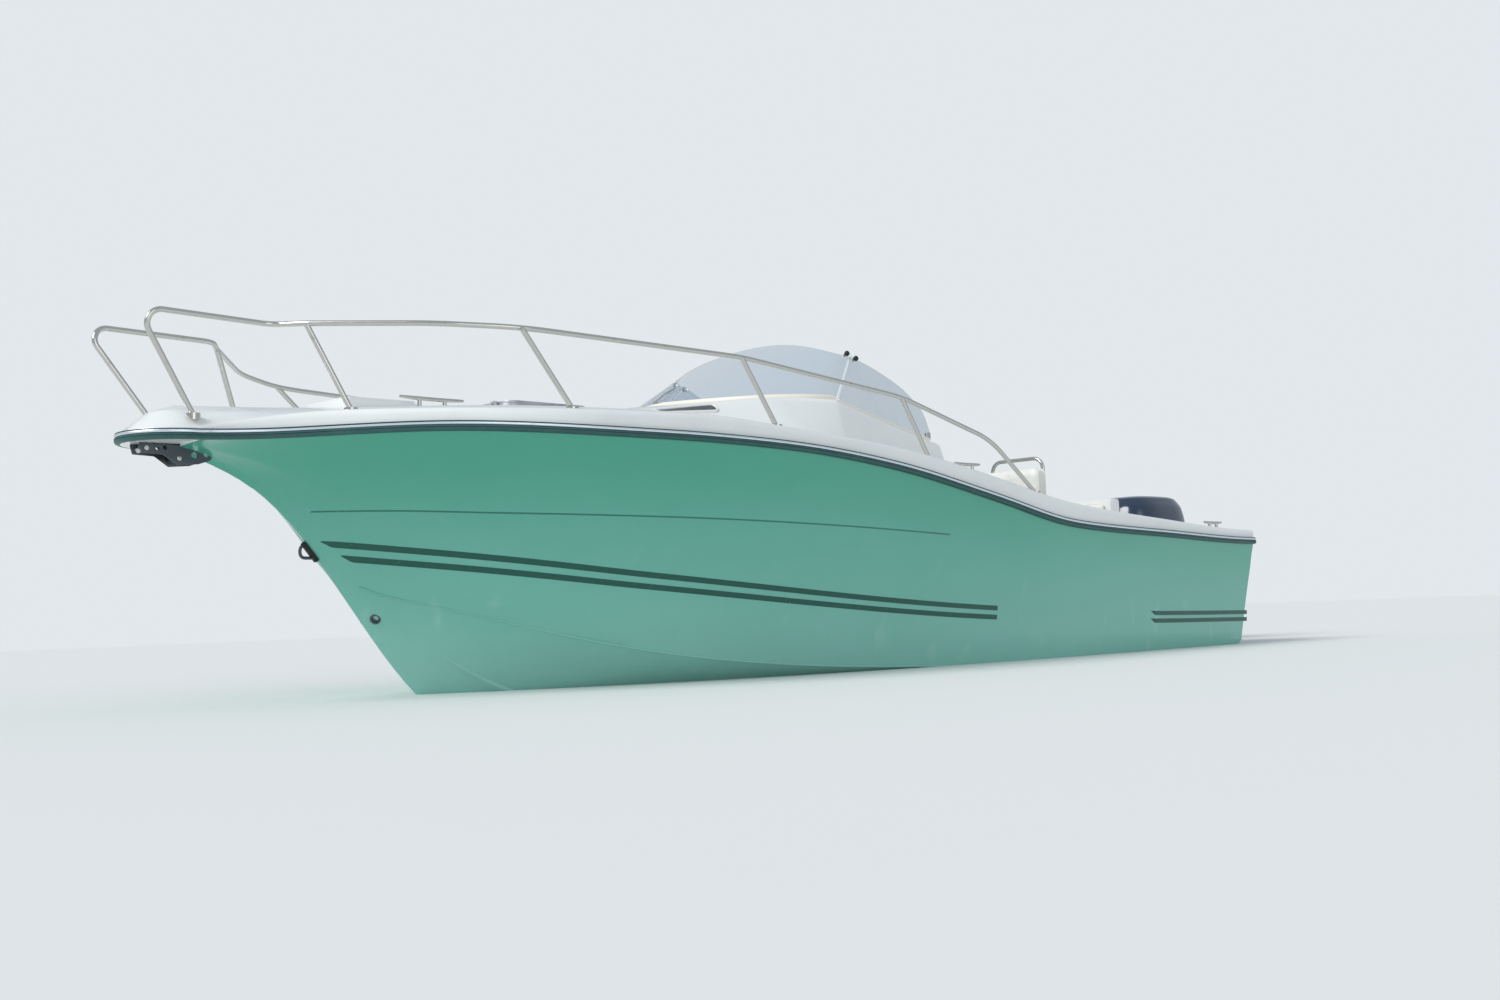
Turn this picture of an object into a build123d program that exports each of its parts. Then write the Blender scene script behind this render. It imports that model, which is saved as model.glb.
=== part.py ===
from build123d import *
from collections import namedtuple
import math
import os

# Speedboat with a cuddy cabin and one outboard engine, in millimetres.
# X runs forward, Y to port and Z up. The origin lies on the centreline at the
# waterline. A place along the boat is its distance s ahead of the transom's top.
TRANSOM_X = -3000.0
TRANSOM_RAKE = 12.0
RUB_DEPTH = 24.0
RUB_HEIGHT = 66.0
RUB_LIP = 9.0
EDGE_ROUND = 30.0
SIDE_DECK = 270.0
DECK_WALL = 40.0

Station = namedtuple(
    "Station",
    "s keel_z chine_y chine_z crease_y crease_z knuckle_y knuckle_z sheer_z edge_y edge_z mid_z",
)
STATIONS = [
    Station(-60, -450, 1160, -30, 1190, 30, 1232, 530, 663, 1270, 785, 800),
    Station(0, -450, 1160, -30, 1190, 30, 1232, 530, 663, 1270, 785, 800),
    Station(1200, -450, 1165, -30, 1195, 50, 1245, 570, 702, 1290, 845, 860),
    Station(2250, -450, 1150, -25, 1180, 80, 1250, 620, 750, 1300, 925, 960),
    Station(3000, -450, 1110, -10, 1145, 110, 1240, 670, 884, 1300, 1053, 1160),
    Station(3900, -450, 1005, 25, 1050, 155, 1205, 715, 1035, 1300, 1185, 1310),
    Station(4600, -445, 890, 80, 945, 215, 1130, 755, 1100, 1285, 1235, 1370),
    Station(5200, -405, 745, 165, 810, 300, 1010, 785, 1134, 1240, 1278, 1395),
    Station(5700, -255, 545, 285, 620, 385, 855, 800, 1155, 1150, 1278, 1395),
    Station(6100, 40, 290, 415, 360, 480, 620, 815, 1168, 1020, 1277, 1388),
    Station(6450, 500, 40, 522, 75, 580, 345, 850, 1178, 800, 1281, 1372),
    Station(6800, 925, 14, 945, 35, 970, 185, 1040, 1170, 470, 1286, 1345),
    Station(7050, 1068, 13, 1078, 32, 1088, 143, 1108, 1160, 290, 1270, 1332),
    Station(7250, 1128, 12, 1136, 30, 1143, 110, 1149, 1155, 250, 1262, 1322),
]
NOSE = STATIONS[-1]

# Cabin trunk sections: side foot, shoulder and centreline heights.
Trunk = namedtuple("Trunk", "s foot_y shoulder_y shoulder_z mid_z")
TRUNK = [
    Trunk(2970, 900, 850, 1285, 1300),
    Trunk(3400, 900, 850, 1378, 1395),
    Trunk(3860, 900, 850, 1488, 1510),
    Trunk(4150, 880, 770, 1486, 1518),
    Trunk(4500, 820, 640, 1460, 1502),
    Trunk(4900, 730, 470, 1412, 1442),
    Trunk(5300, 560, 300, 1380, 1397),
]

# Cockpit, cabin and engine well
SOLE_Z = 150.0
SOLE_THICKNESS = 30.0
BULKHEAD_S = 3300.0
BULKHEAD_THICKNESS = 60.0
COCKPIT_AFT_S = 780.0
COCKPIT_HALF = 1080.0
COAMING_HALF = 980.0
WELL_HALF = 510.0
WELL_FRONT_S = 700.0
WELL_FLOOR_Z = 130.0
TRANSOM_CUT_Z = 220.0
TRANSOM_BOARD = 62.0
BERTH_Z = 420.0
FOOTWELL_Z = 60.0
FOOTWELL_HALF = 420.0
FOOTWELL_FRONT_S = 4150.0
DOOR_HALF = 280.0
DOOR_TOP_Z = 1210.0
Cabin = namedtuple("Cabin", "s berth_y top_y")
CABIN = [
    Cabin(BULKHEAD_S + BULKHEAD_THICKNESS, 1060, 1180),
    Cabin(3900, 1000, 1190),
    Cabin(4600, 920, 1180),
    Cabin(5200, 780, 1110),
    Cabin(5720, 500, 960),
]
LOCKER_AFT_S = 6150.0
LOCKER_LENGTH = 340.0
LOCKER_HALF = 170.0
LOCKER_FLOOR_Z = 900.0
HATCH_S = 5380.0
HATCH_HALF = 225.0

# Stern coaming that carries the bench's backrest
STERN_HALF = 640.0
STERN_TOP_Z = 1030.0
STERN_FOOT_Z = 700.0
STERN_LAP = 60.0

# Spray strake under each side of the bow
STRAKE_SHARE = 0.45
STRAKE_WIDTH = 46.0
STRAKE_DROP = 22.0
STRAKE_FROM_S = 2250.0
STRAKE_TO_S = 6100.0


def along(s):
    """X of a place s ahead of the transom."""
    return TRANSOM_X + s


def mix(low, high, share):
    return low + (high - low) * share


def between(table, s):
    """The row of a section table at s, by straight lines between its rows."""
    rows = sorted(table, key=lambda row: row.s)
    s_in = min(max(s, rows[0].s), rows[-1].s)
    for low, high in zip(rows, rows[1:]):
        if s_in <= high.s:
            share = (s_in - low.s) / (high.s - low.s)
            return type(low)(*[mix(a, b, share) for a, b in zip(low, high)])
    return rows[-1]


def side_y(station):
    """Half breadth of the deck's side face, inside the rub rail."""
    return station.edge_y - RUB_DEPTH


def hull_half(st):
    return [
        (0, st.keel_z),
        (st.chine_y, st.chine_z),
        (st.crease_y, st.crease_z),
        (st.knuckle_y, st.knuckle_z),
        (side_y(st), st.sheer_z),
    ]


def deck_half(st):
    side = side_y(st)
    shoulder = max(side - SIDE_DECK, 0.4 * side)
    return [
        (side, st.sheer_z),
        (side, st.edge_z - EDGE_ROUND),
        (side - EDGE_ROUND, st.edge_z),
        (shoulder, mix(st.edge_z, st.mid_z, 0.4)),
        (0, st.mid_z),
    ]


def trunk_half(tr):
    base = between(STATIONS, tr.s)
    return [
        (tr.foot_y, base.sheer_z + 25),
        (tr.foot_y, height(deck_half(base)[1:], tr.foot_y)),
        (tr.shoulder_y, tr.shoulder_z),
        (0, tr.mid_z),
    ]


def height(half, y):
    """Height at y of a half section's top, listed from the side inwards."""
    for (y_out, z_out), (y_in, z_in) in zip(half, half[1:]):
        if y_in <= abs(y) <= y_out and y_out > y_in:
            return mix(z_in, z_out, (abs(y) - y_in) / (y_out - y_in))
    return half[-1][1]


def deck_z(s, y):
    """Height of the deck's or the trunk's top at a place in plan."""
    top = height(deck_half(between(STATIONS, s))[1:], y)
    if TRUNK[0].s <= s <= TRUNK[-1].s:
        trunk = between(TRUNK, s)
        if abs(y) <= trunk.foot_y:
            top = max(top, height(trunk_half(trunk)[1:], y))
    return top


def both_sides(half):
    """Close a half outline over the centreline, without a point there twice."""
    port = [(y, z) for y, z in half]
    starboard = [(-y, z) for y, z in reversed(half) if y > 0]
    return port + starboard


def across(points, s):
    """Closed outline of (y, z) points in the plane across the boat at s."""
    with BuildSketch(Plane.YZ.offset(along(s))) as outline:
        with BuildLine():
            Polyline(*points, close=True)
        make_face()
    return outline.sketch


def box_between(s_low, s_high, y_low, y_high, z_low, z_high):
    """Block between two places along, across and up, for a builder to add or cut."""
    centre = ((along(s_low) + along(s_high)) / 2, (y_low + y_high) / 2, (z_low + z_high) / 2)
    with BuildPart(Plane(origin=centre)) as block:
        Box(s_high - s_low, y_high - y_low, z_high - z_low)
    return block.part


def rod(start, end, radius):
    """Round bar from one point to another."""
    start, end = Vector(*start), Vector(*end)
    with BuildPart() as bar:
        with BuildSketch(Plane(origin=start, z_dir=end - start)):
            Circle(radius)
        extrude(amount=(end - start).length)
    return bar.part


def transom_s(z):
    """Place of the raked transom's aft face at a height."""
    return (STATIONS[1].sheer_z - z) * math.tan(math.radians(TRANSOM_RAKE))


TRANSOM_PLANE = Plane(
    origin=(along(0), 0, STATIONS[1].sheer_z),
    z_dir=(math.cos(math.radians(TRANSOM_RAKE)), 0, math.sin(math.radians(TRANSOM_RAKE))),
)
ABOVE = 2500.0

os.makedirs("parts", exist_ok=True)


def save(builder, name):
    builder.part.label = name
    export_step(builder.part, f"parts/{name}.step")


# Rod holders let into the side decks, raked aft
HOLDER_BORE = 21.0
HOLDER_WALL = 3.0
HOLDER_LENGTH = 230.0
HOLDER_FLOOR = 6.0
HOLDER_FLANGE = 19.0
HOLDER_LIP = 5.0
HOLDER_RAKE = 15.0
HOLDER_S = 1450.0
HOLDER_Y = 1128.0
HOLDER_DOWN = Vector(math.sin(math.radians(HOLDER_RAKE)), 0, -math.cos(math.radians(HOLDER_RAKE)))


def holder_rod(side, start, end, radius):
    """Round bar along a rod holder's axis, from its top downwards."""
    top = Vector(along(HOLDER_S), side * HOLDER_Y, deck_z(HOLDER_S, HOLDER_Y))
    return rod(top + HOLDER_DOWN * start, top + HOLDER_DOWN * end, radius)


# Hull shell, solid below the sole, open over the cockpit, cabin and engine well
with BuildPart() as hull:
    loft([across(both_sides(hull_half(st)), st.s) for st in STATIONS], ruled=True)
    for side in (1, -1):
        strake = []
        for st in STATIONS:
            if STRAKE_FROM_S <= st.s <= STRAKE_TO_S:
                y_mid = STRAKE_SHARE * st.chine_y
                slope = (st.chine_z - st.keel_z) / st.chine_y
                y_in, y_out = y_mid - STRAKE_WIDTH / 2, y_mid + STRAKE_WIDTH / 2
                drop = STRAKE_DROP if st.s < STRAKE_TO_S else STRAKE_DROP / 4
                points = [
                    (side * y_in, st.keel_z + slope * y_in + 4),
                    (side * y_out, st.keel_z + slope * y_out - drop),
                    (side * y_out, st.keel_z + slope * y_out + 12),
                ]
                strake.append(across(points, st.s))
        loft(strake, ruled=True)
    split(bisect_by=TRANSOM_PLANE, keep=Keep.TOP)
    add(
        box_between(
            COCKPIT_AFT_S, BULKHEAD_S, -COCKPIT_HALF, COCKPIT_HALF, SOLE_Z - SOLE_THICKNESS, ABOVE
        ),
        mode=Mode.SUBTRACT,
    )
    cabin_sections = []
    for row in CABIN:
        top = between(STATIONS, row.s).sheer_z + 40
        half = [(row.berth_y, BERTH_Z), (row.top_y, top)]
        cabin_sections.append(across(both_sides(half), row.s))
    loft(cabin_sections, ruled=True, mode=Mode.SUBTRACT)
    add(
        box_between(
            CABIN[0].s, FOOTWELL_FRONT_S, -FOOTWELL_HALF, FOOTWELL_HALF, FOOTWELL_Z, BERTH_Z + 1
        ),
        mode=Mode.SUBTRACT,
    )
    door_way = box_between(
        BULKHEAD_S - 1, CABIN[0].s + 1, -DOOR_HALF, DOOR_HALF, SOLE_Z, DOOR_TOP_Z
    )
    add(door_way, mode=Mode.SUBTRACT)
    well = box_between(
        transom_s(TRANSOM_CUT_Z) + TRANSOM_BOARD,
        WELL_FRONT_S,
        -WELL_HALF,
        WELL_HALF,
        WELL_FLOOR_Z,
        ABOVE,
    )
    transom_cut = box_between(
        -500, WELL_FRONT_S - 1, -WELL_HALF, WELL_HALF, TRANSOM_CUT_Z, ABOVE
    )
    add(well, mode=Mode.SUBTRACT)
    add(transom_cut, mode=Mode.SUBTRACT)
    locker = box_between(
        LOCKER_AFT_S,
        LOCKER_AFT_S + LOCKER_LENGTH,
        -LOCKER_HALF,
        LOCKER_HALF,
        LOCKER_FLOOR_Z,
        ABOVE,
    )
    add(locker, mode=Mode.SUBTRACT)
    for side in (1, -1):
        add(holder_rod(side, -60, HOLDER_LENGTH, HOLDER_BORE + HOLDER_WALL), mode=Mode.SUBTRACT)

# Deck moulding: side decks, foredeck, cabin trunk, pulpit and stern coaming
with BuildPart() as deck:
    loft([across(both_sides(deck_half(st)), st.s) for st in STATIONS], ruled=True)
    with BuildSketch(Plane.YZ.offset(along(NOSE.s))):
        with BuildLine():
            Polyline(*(deck_half(NOSE) + [(0, NOSE.sheer_z)]), close=True)
        make_face()
    revolve(axis=Axis((along(NOSE.s), 0, 0), (0, 0, 1)), revolution_arc=-180)
    loft([across(both_sides(trunk_half(tr)), tr.s) for tr in TRUNK], ruled=True)
    with BuildSketch(Plane.XY.offset(STERN_FOOT_Z)):
        with Locations((along(WELL_FRONT_S / 2 + COCKPIT_AFT_S / 2 + STERN_LAP / 2), 0)):
            RectangleRounded(COCKPIT_AFT_S - WELL_FRONT_S + STERN_LAP, 2 * STERN_HALF, 38)
    extrude(amount=STERN_TOP_Z - STERN_FOOT_Z)
    split(bisect_by=TRANSOM_PLANE, keep=Keep.TOP)
    # Cockpit opening, wide aft and narrower between the trunk's side walls
    with BuildSketch(Plane.XY.offset(0)):
        with Locations((along(COCKPIT_AFT_S / 2 + 30 + BULKHEAD_S / 2 - 180), 0)):
            RectangleRounded(BULKHEAD_S - COCKPIT_AFT_S - 60 - 360, 2 * COAMING_HALF, 110)
    extrude(amount=ABOVE, mode=Mode.SUBTRACT)
    add(
        box_between(TRUNK[0].s - 120, BULKHEAD_S, -800, 800, 0, ABOVE),
        mode=Mode.SUBTRACT,
    )
    # Cabin headroom below the deck and the trunk
    head = []
    for row in CABIN:
        st = between(STATIONS, row.s)
        tr = between(TRUNK, row.s)
        inner = [row.top_y, tr.foot_y - DECK_WALL, tr.shoulder_y - DECK_WALL]
        top = [(y, deck_z(row.s, y) - DECK_WALL) for y in inner]
        top.append((0, deck_z(row.s, 0) - DECK_WALL))
        head.append(across(both_sides([(row.top_y, st.sheer_z - 40)] + top), row.s))
    loft(head, ruled=True, mode=Mode.SUBTRACT)
    add(door_way, mode=Mode.SUBTRACT)
    add(well, mode=Mode.SUBTRACT)
    add(transom_cut, mode=Mode.SUBTRACT)
    add(locker, mode=Mode.SUBTRACT)
    for side in (1, -1):
        add(holder_rod(side, -60, HOLDER_LENGTH, HOLDER_BORE + HOLDER_WALL), mode=Mode.SUBTRACT)
    add(
        box_between(
            HATCH_S - HATCH_HALF, HATCH_S + HATCH_HALF, -HATCH_HALF, HATCH_HALF, 1000, ABOVE
        ),
        mode=Mode.SUBTRACT,
    )

# The hull's regions: under the cockpit, under the cabin and ahead of it
FOREDECK_S = 5750.0
TRUNK_HALF = 900.0
FAR = 1500.0
BOTTOM = 0.0
KEEL = -1000.0
for name, low, high in (
    ("hull_aft", -FAR, BULKHEAD_S),
    ("hull_cabin", BULKHEAD_S, FOREDECK_S),
    ("hull_bow", FOREDECK_S, NOSE.s + FAR),
):
    with BuildPart() as region:
        add(hull.part)
        add(box_between(low, high, -FAR, FAR, KEEL, ABOVE), mode=Mode.INTERSECT)
    save(region, name)

# The deck moulding's regions, each a part of its own
stern_region = box_between(
    WELL_FRONT_S - STERN_LAP, COCKPIT_AFT_S + STERN_LAP, -STERN_HALF, STERN_HALF, BOTTOM, ABOVE
)
with BuildPart() as foredeck:
    add(deck.part)
    add(box_between(FOREDECK_S, NOSE.s + FAR, -FAR, FAR, BOTTOM, ABOVE), mode=Mode.INTERSECT)
with BuildPart() as cabin_top:
    add(deck.part)
    add(box_between(BULKHEAD_S, FOREDECK_S, -TRUNK_HALF, TRUNK_HALF, BOTTOM, ABOVE), mode=Mode.INTERSECT)
with BuildPart() as side_deck_port:
    add(deck.part)
    add(box_between(-FAR, FOREDECK_S, 0, FAR, BOTTOM, ABOVE), mode=Mode.INTERSECT)
    add(box_between(BULKHEAD_S, FOREDECK_S, -TRUNK_HALF, TRUNK_HALF, BOTTOM, ABOVE), mode=Mode.SUBTRACT)
    add(stern_region, mode=Mode.SUBTRACT)
with BuildPart() as side_deck_starboard:
    mirror(side_deck_port.part, about=Plane.XZ)
with BuildPart() as stern_coaming:
    add(deck.part)
    add(stern_region, mode=Mode.INTERSECT)
save(foredeck, "foredeck")
save(cabin_top, "cabin_top")
save(side_deck_port, "side_deck_port")
save(side_deck_starboard, "side_deck_starboard")
save(stern_coaming, "stern_coaming")


def trimmed_post(s, y, radius, rise, depth=DECK_WALL / 2):
    """Round pad standing on the deck, reaching below it so that it can be trimmed."""
    z = deck_z(s, y)
    return rod((along(s), y, z - depth), (along(s), y, z + rise), radius)


# Rub rail around the sheer, with its nose around the pulpit
def rail_section(side, st):
    inner = side * side_y(st)
    outer = side * st.edge_y
    low, high = st.sheer_z, st.sheer_z + RUB_HEIGHT
    mid = (low + high) / 2
    bulge = side * (st.edge_y - RUB_LIP)
    return [
        (inner, low), (bulge, low), (outer, mid - RUB_LIP),
        (outer, mid + RUB_LIP), (bulge, high), (inner, high),
    ]


with BuildPart() as rub_rail:
    for side in (1, -1):
        loft([across(rail_section(side, st), st.s) for st in STATIONS], ruled=True)
    with BuildSketch(Plane.YZ.offset(along(NOSE.s))):
        with BuildLine():
            Polyline(*rail_section(1, NOSE), close=True)
        make_face()
    revolve(axis=Axis((along(NOSE.s), 0, 0), (0, 0, 1)), revolution_arc=-180)
    split(bisect_by=TRANSOM_PLANE, keep=Keep.TOP)
save(rub_rail, "rub_rail")

# Self-draining sole that lies on the hull's inner bottom
with BuildPart() as cockpit_sole:
    add(
        box_between(
            COCKPIT_AFT_S, BULKHEAD_S, -COCKPIT_HALF, COCKPIT_HALF, SOLE_Z - SOLE_THICKNESS, SOLE_Z
        )
    )
save(cockpit_sole, "cockpit_sole")

# Bow rail of one side: a hoop over the pulpit, a top tube and raked stanchions
RAIL_RADIUS = 12.5
FOOT_RADIUS = 30.0
FOOT_RISE = 9.0
RailPost = namedtuple("RailPost", "foot_s foot_y top_s top_y top_z")
RAIL_POSTS = [
    RailPost(6680, 499, 6840, 408, 1670),
    RailPost(5844, 1005, 6165, 1062, 1620),
    RailPost(4690, 1180, 4929, 1190, 1577),
    RailPost(3519, 1205, 3746, 1215, 1460),
]
HOOP_FOOT = (7258, 188)
HOOP_TOP = (7542, 268, 1695)
HOOP_KINK = (6930, 268, 1677)
RAIL_FLARE = (6490, 850, 1639)
RAIL_END_BEND = (2960, 1215, 1268)
RAIL_END_FOOT = (2533, 1205)


def foot_point(s, y):
    return (along(s), y, deck_z(s, y))


with BuildPart() as bow_rail_port:
    with BuildLine() as rail_path:
        FilletPolyline(
            foot_point(*HOOP_FOOT),
            (along(HOOP_TOP[0]), HOOP_TOP[1], HOOP_TOP[2]),
            (along(HOOP_KINK[0]), HOOP_KINK[1], HOOP_KINK[2]),
            (along(RAIL_POSTS[0].top_s), RAIL_POSTS[0].top_y, RAIL_POSTS[0].top_z),
            (along(RAIL_FLARE[0]), RAIL_FLARE[1], RAIL_FLARE[2]),
            *[(along(post.top_s), post.top_y, post.top_z) for post in RAIL_POSTS[1:]],
            (along(RAIL_END_BEND[0]), RAIL_END_BEND[1], RAIL_END_BEND[2]),
            foot_point(*RAIL_END_FOOT),
            radius=[60, 90, 400, 700, 600, 1500, 1500, 700],
        )
    with BuildSketch(Plane(origin=rail_path.line @ 0, z_dir=rail_path.line % 0)):
        Circle(RAIL_RADIUS)
    sweep(path=rail_path.line)
    for post in RAIL_POSTS:
        head = (along(post.top_s), post.top_y, post.top_z)
        add(rod(foot_point(post.foot_s, post.foot_y), head, RAIL_RADIUS))
        add(trimmed_post(post.foot_s, post.foot_y, FOOT_RADIUS, FOOT_RISE))
    for foot in (HOOP_FOOT, RAIL_END_FOOT):
        add(trimmed_post(*foot, FOOT_RADIUS, FOOT_RISE))
    add(deck.part, mode=Mode.SUBTRACT)
with BuildPart() as bow_rail_starboard:
    mirror(bow_rail_port.part, about=Plane.XZ)
save(bow_rail_port, "bow_rail_port")
save(bow_rail_starboard, "bow_rail_starboard")

# Frameless wraparound windscreen and its side panes
GLASS = 9.0
GLASS_BASE_Z = 1455.0
GLASS_TOP_Z = 1920.0
CORNER_BASE = (3830.0, 815.0, 1480.0)
CORNER_TOP = (3567.0, 700.0, 1771.0)
CENTRE_BASE_S = 4420.0
CENTRE_TOP_S = 3610.0
CROWN_Z = 1910.0
PANE_AFT_TOP = (3105.0, 752.0, 1568.0)
PANE_AFT_FOOT = (3030.0, 822.0, 1337.0)


def corner_at(z):
    share = (z - CORNER_BASE[2]) / (CORNER_TOP[2] - CORNER_BASE[2])
    return (mix(CORNER_BASE[0], CORNER_TOP[0], share), mix(CORNER_BASE[1], CORNER_TOP[1], share))


def centre_at(z):
    return mix(CENTRE_BASE_S, CENTRE_TOP_S, (z - CORNER_BASE[2]) / (GLASS_TOP_Z - CORNER_BASE[2]))


def screen_band(z, outwards, inwards):
    """Elliptical band in plan along the windscreen at a height."""
    s, y = corner_at(z)
    depth = centre_at(z) - s
    with BuildSketch(Plane.XY.offset(z)) as band:
        with BuildLine():
            EllipticalCenterArc((along(s), 0), depth + outwards, y + outwards, start_angle=-90, arc_size=180)
            Line((along(s), y + outwards), (along(s), y - inwards))
            EllipticalCenterArc((along(s), 0), depth - inwards, y - inwards, start_angle=-90, arc_size=180)
            Line((along(s), -y - outwards), (along(s), -y + inwards))
        make_face()
    return band.sketch


# Outline that the front pane keeps: its crown passes the corners and drops there
CROWN_PAST = 40.0
CROWN_DROP = 18.0
KEEP_HALF = 1000.0
KEEP_TOP_Z = 1700.0
KEEP_LOW_Z = 1200.0
with BuildPart() as windscreen_front:
    loft([screen_band(GLASS_BASE_Z, 0, GLASS), screen_band(GLASS_TOP_Z, 0, GLASS)], ruled=True)
    with BuildSketch(Plane.YZ.offset(along(3000))):
        with BuildLine():
            edge_y = CORNER_TOP[1] + CROWN_PAST
            edge_z = CORNER_TOP[2] - CROWN_DROP
            ThreePointArc((-edge_y, edge_z), (0, CROWN_Z), (edge_y, edge_z))
            Polyline(
                (edge_y, edge_z), (KEEP_HALF, KEEP_TOP_Z), (KEEP_HALF, KEEP_LOW_Z),
                (-KEEP_HALF, KEEP_LOW_Z), (-KEEP_HALF, KEEP_TOP_Z), (-edge_y, edge_z),
            )
        make_face()
    extrude(amount=2000, mode=Mode.INTERSECT)
    add(deck.part, mode=Mode.SUBTRACT)
save(windscreen_front, "windscreen_front")


def side_pane(side):
    lift = 24.0
    low_front = Vector(along(CORNER_BASE[0]) - lift, side * CORNER_BASE[1], CORNER_BASE[2] - 32)
    top_front = Vector(along(CORNER_TOP[0]) - lift, side * CORNER_TOP[1], CORNER_TOP[2] - 6)
    top_aft = Vector(along(PANE_AFT_TOP[0]), side * PANE_AFT_TOP[1], PANE_AFT_TOP[2])
    low_aft = Vector(along(PANE_AFT_FOOT[0]), side * PANE_AFT_FOOT[1], PANE_AFT_FOOT[2] - 48)
    normal = (top_front - low_front).cross(top_aft - low_front)
    if normal.Y * side < 0:
        normal = normal * -1
    plane = Plane(origin=low_front, x_dir=top_front - low_front, z_dir=normal)
    corners = [plane.to_local_coords(point) for point in (low_front, top_front, top_aft, low_aft)]
    with BuildPart() as pane:
        with BuildSketch(plane):
            with BuildLine():
                Polyline(*[(corner.X, corner.Y) for corner in corners], close=True)
            make_face()
        extrude(amount=-GLASS)
        add(deck.part, mode=Mode.SUBTRACT)
    return pane


windscreen_side_port = side_pane(1)
windscreen_side_starboard = side_pane(-1)
save(windscreen_side_port, "windscreen_side_port")
save(windscreen_side_starboard, "windscreen_side_starboard")


# Corner strips between the windscreen and the side panes
STRIP_RADIUS = 11.0
with BuildPart() as windscreen_strips:
    for side in (1, -1):
        low = (along(CORNER_BASE[0]) - 12, side * CORNER_BASE[1], CORNER_BASE[2] - 25)
        high = (along(CORNER_TOP[0]) - 12, side * CORNER_TOP[1], CORNER_TOP[2] + 12)
        add(rod(low, high, STRIP_RADIUS))
    for solid in (windscreen_front, windscreen_side_port, windscreen_side_starboard, deck):
        add(solid.part, mode=Mode.SUBTRACT)
save(windscreen_strips, "windscreen_strips")

# Helm and port consoles under the windscreen
CONSOLE_AFT_S = 2980.0
CONSOLE_IN_Y = 345.0
CONSOLE_OUT_Y = 798.0
CONSOLE_TOP_Z = 1180.0
CONSOLE_FACE_DROP = 190.0
CONSOLE_FACE_DEPTH = 110.0


def console(side, top_z):
    with BuildPart() as body:
        with BuildSketch(Plane.XZ.offset(-side * CONSOLE_IN_Y)):
            with BuildLine():
                Polyline(
                    (along(CONSOLE_AFT_S), SOLE_Z),
                    (along(BULKHEAD_S), SOLE_Z),
                    (along(BULKHEAD_S), top_z),
                    (along(CONSOLE_AFT_S + CONSOLE_FACE_DEPTH), top_z),
                    (along(CONSOLE_AFT_S), top_z - CONSOLE_FACE_DROP),
                    close=True,
                )
            make_face()
        extrude(amount=-side * (CONSOLE_OUT_Y - CONSOLE_IN_Y))
    return body


helm_console = console(-1, CONSOLE_TOP_Z)
port_console = console(1, CONSOLE_TOP_Z)
save(helm_console, "helm_console")
save(port_console, "port_console")

# Steering wheel on the console's slanted face
FACE_ANGLE = math.atan2(CONSOLE_FACE_DEPTH, CONSOLE_FACE_DROP)
WHEEL_Y = -560.0
WHEEL_RADIUS = 175.0
WHEEL_RIM = 13.0
WHEEL_STAND_OFF = 105.0
HUB_RADIUS = 34.0
SHAFT_RADIUS = 15.0
face_mid = Vector(
    along(CONSOLE_AFT_S + CONSOLE_FACE_DEPTH / 2), WHEEL_Y, CONSOLE_TOP_Z - CONSOLE_FACE_DROP / 2
)
WHEEL_AXIS = Vector(-math.cos(FACE_ANGLE), 0, math.sin(FACE_ANGLE))
wheel_centre = face_mid + WHEEL_AXIS * WHEEL_STAND_OFF
wheel_plane = Plane(origin=wheel_centre, z_dir=WHEEL_AXIS)
with BuildPart() as steering_wheel:
    rim_plane = Plane(origin=wheel_centre, x_dir=(0, 1, 0), z_dir=Vector(0, 1, 0).cross(WHEEL_AXIS) * -1)
    with BuildSketch(rim_plane):
        with Locations((WHEEL_RADIUS, 0)):
            Circle(WHEEL_RIM)
    revolve(axis=Axis(wheel_centre, WHEEL_AXIS))
    with BuildSketch(wheel_plane.offset(-30)):
        Circle(HUB_RADIUS)
    extrude(amount=42)
    for turn in (90, 210, 330):
        arm = Vector(1, 0, 0).rotate(Axis((0, 0, 0), (0, 0, 1)), turn)
        end = wheel_plane.from_local_coords((arm.X * WHEEL_RADIUS, arm.Y * WHEEL_RADIUS, 0))
        add(rod(wheel_plane.from_local_coords((0, 0, -6)), end, 9))
with BuildPart() as helm_shaft:
    add(rod(face_mid, wheel_plane.from_local_coords((0, 0, -30.4)), SHAFT_RADIUS))
    with BuildSketch(Plane(origin=face_mid, z_dir=WHEEL_AXIS)):
        Circle(45)
    extrude(amount=26)
save(steering_wheel, "steering_wheel")
save(helm_shaft, "helm_shaft")

# Throttle and shift box beside the wheel
with BuildPart() as throttle:
    with BuildSketch(Plane.XZ.offset(CONSOLE_IN_Y + 12)):
        with Locations((along(CONSOLE_AFT_S + 190), CONSOLE_TOP_Z + 45)):
            RectangleRounded(150, 90, 18)
    extrude(amount=62)
    add(
        rod(
            (along(CONSOLE_AFT_S + 190), -CONSOLE_IN_Y - 40, CONSOLE_TOP_Z + 60),
            (along(CONSOLE_AFT_S + 170), -CONSOLE_IN_Y - 40, CONSOLE_TOP_Z + 190),
            11,
        )
    )
    add(
        rod(
            (along(CONSOLE_AFT_S + 170), -CONSOLE_IN_Y - 75, CONSOLE_TOP_Z + 190),
            (along(CONSOLE_AFT_S + 170), -CONSOLE_IN_Y - 5, CONSOLE_TOP_Z + 190),
            17,
        )
    )
save(throttle, "throttle_control")

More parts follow.
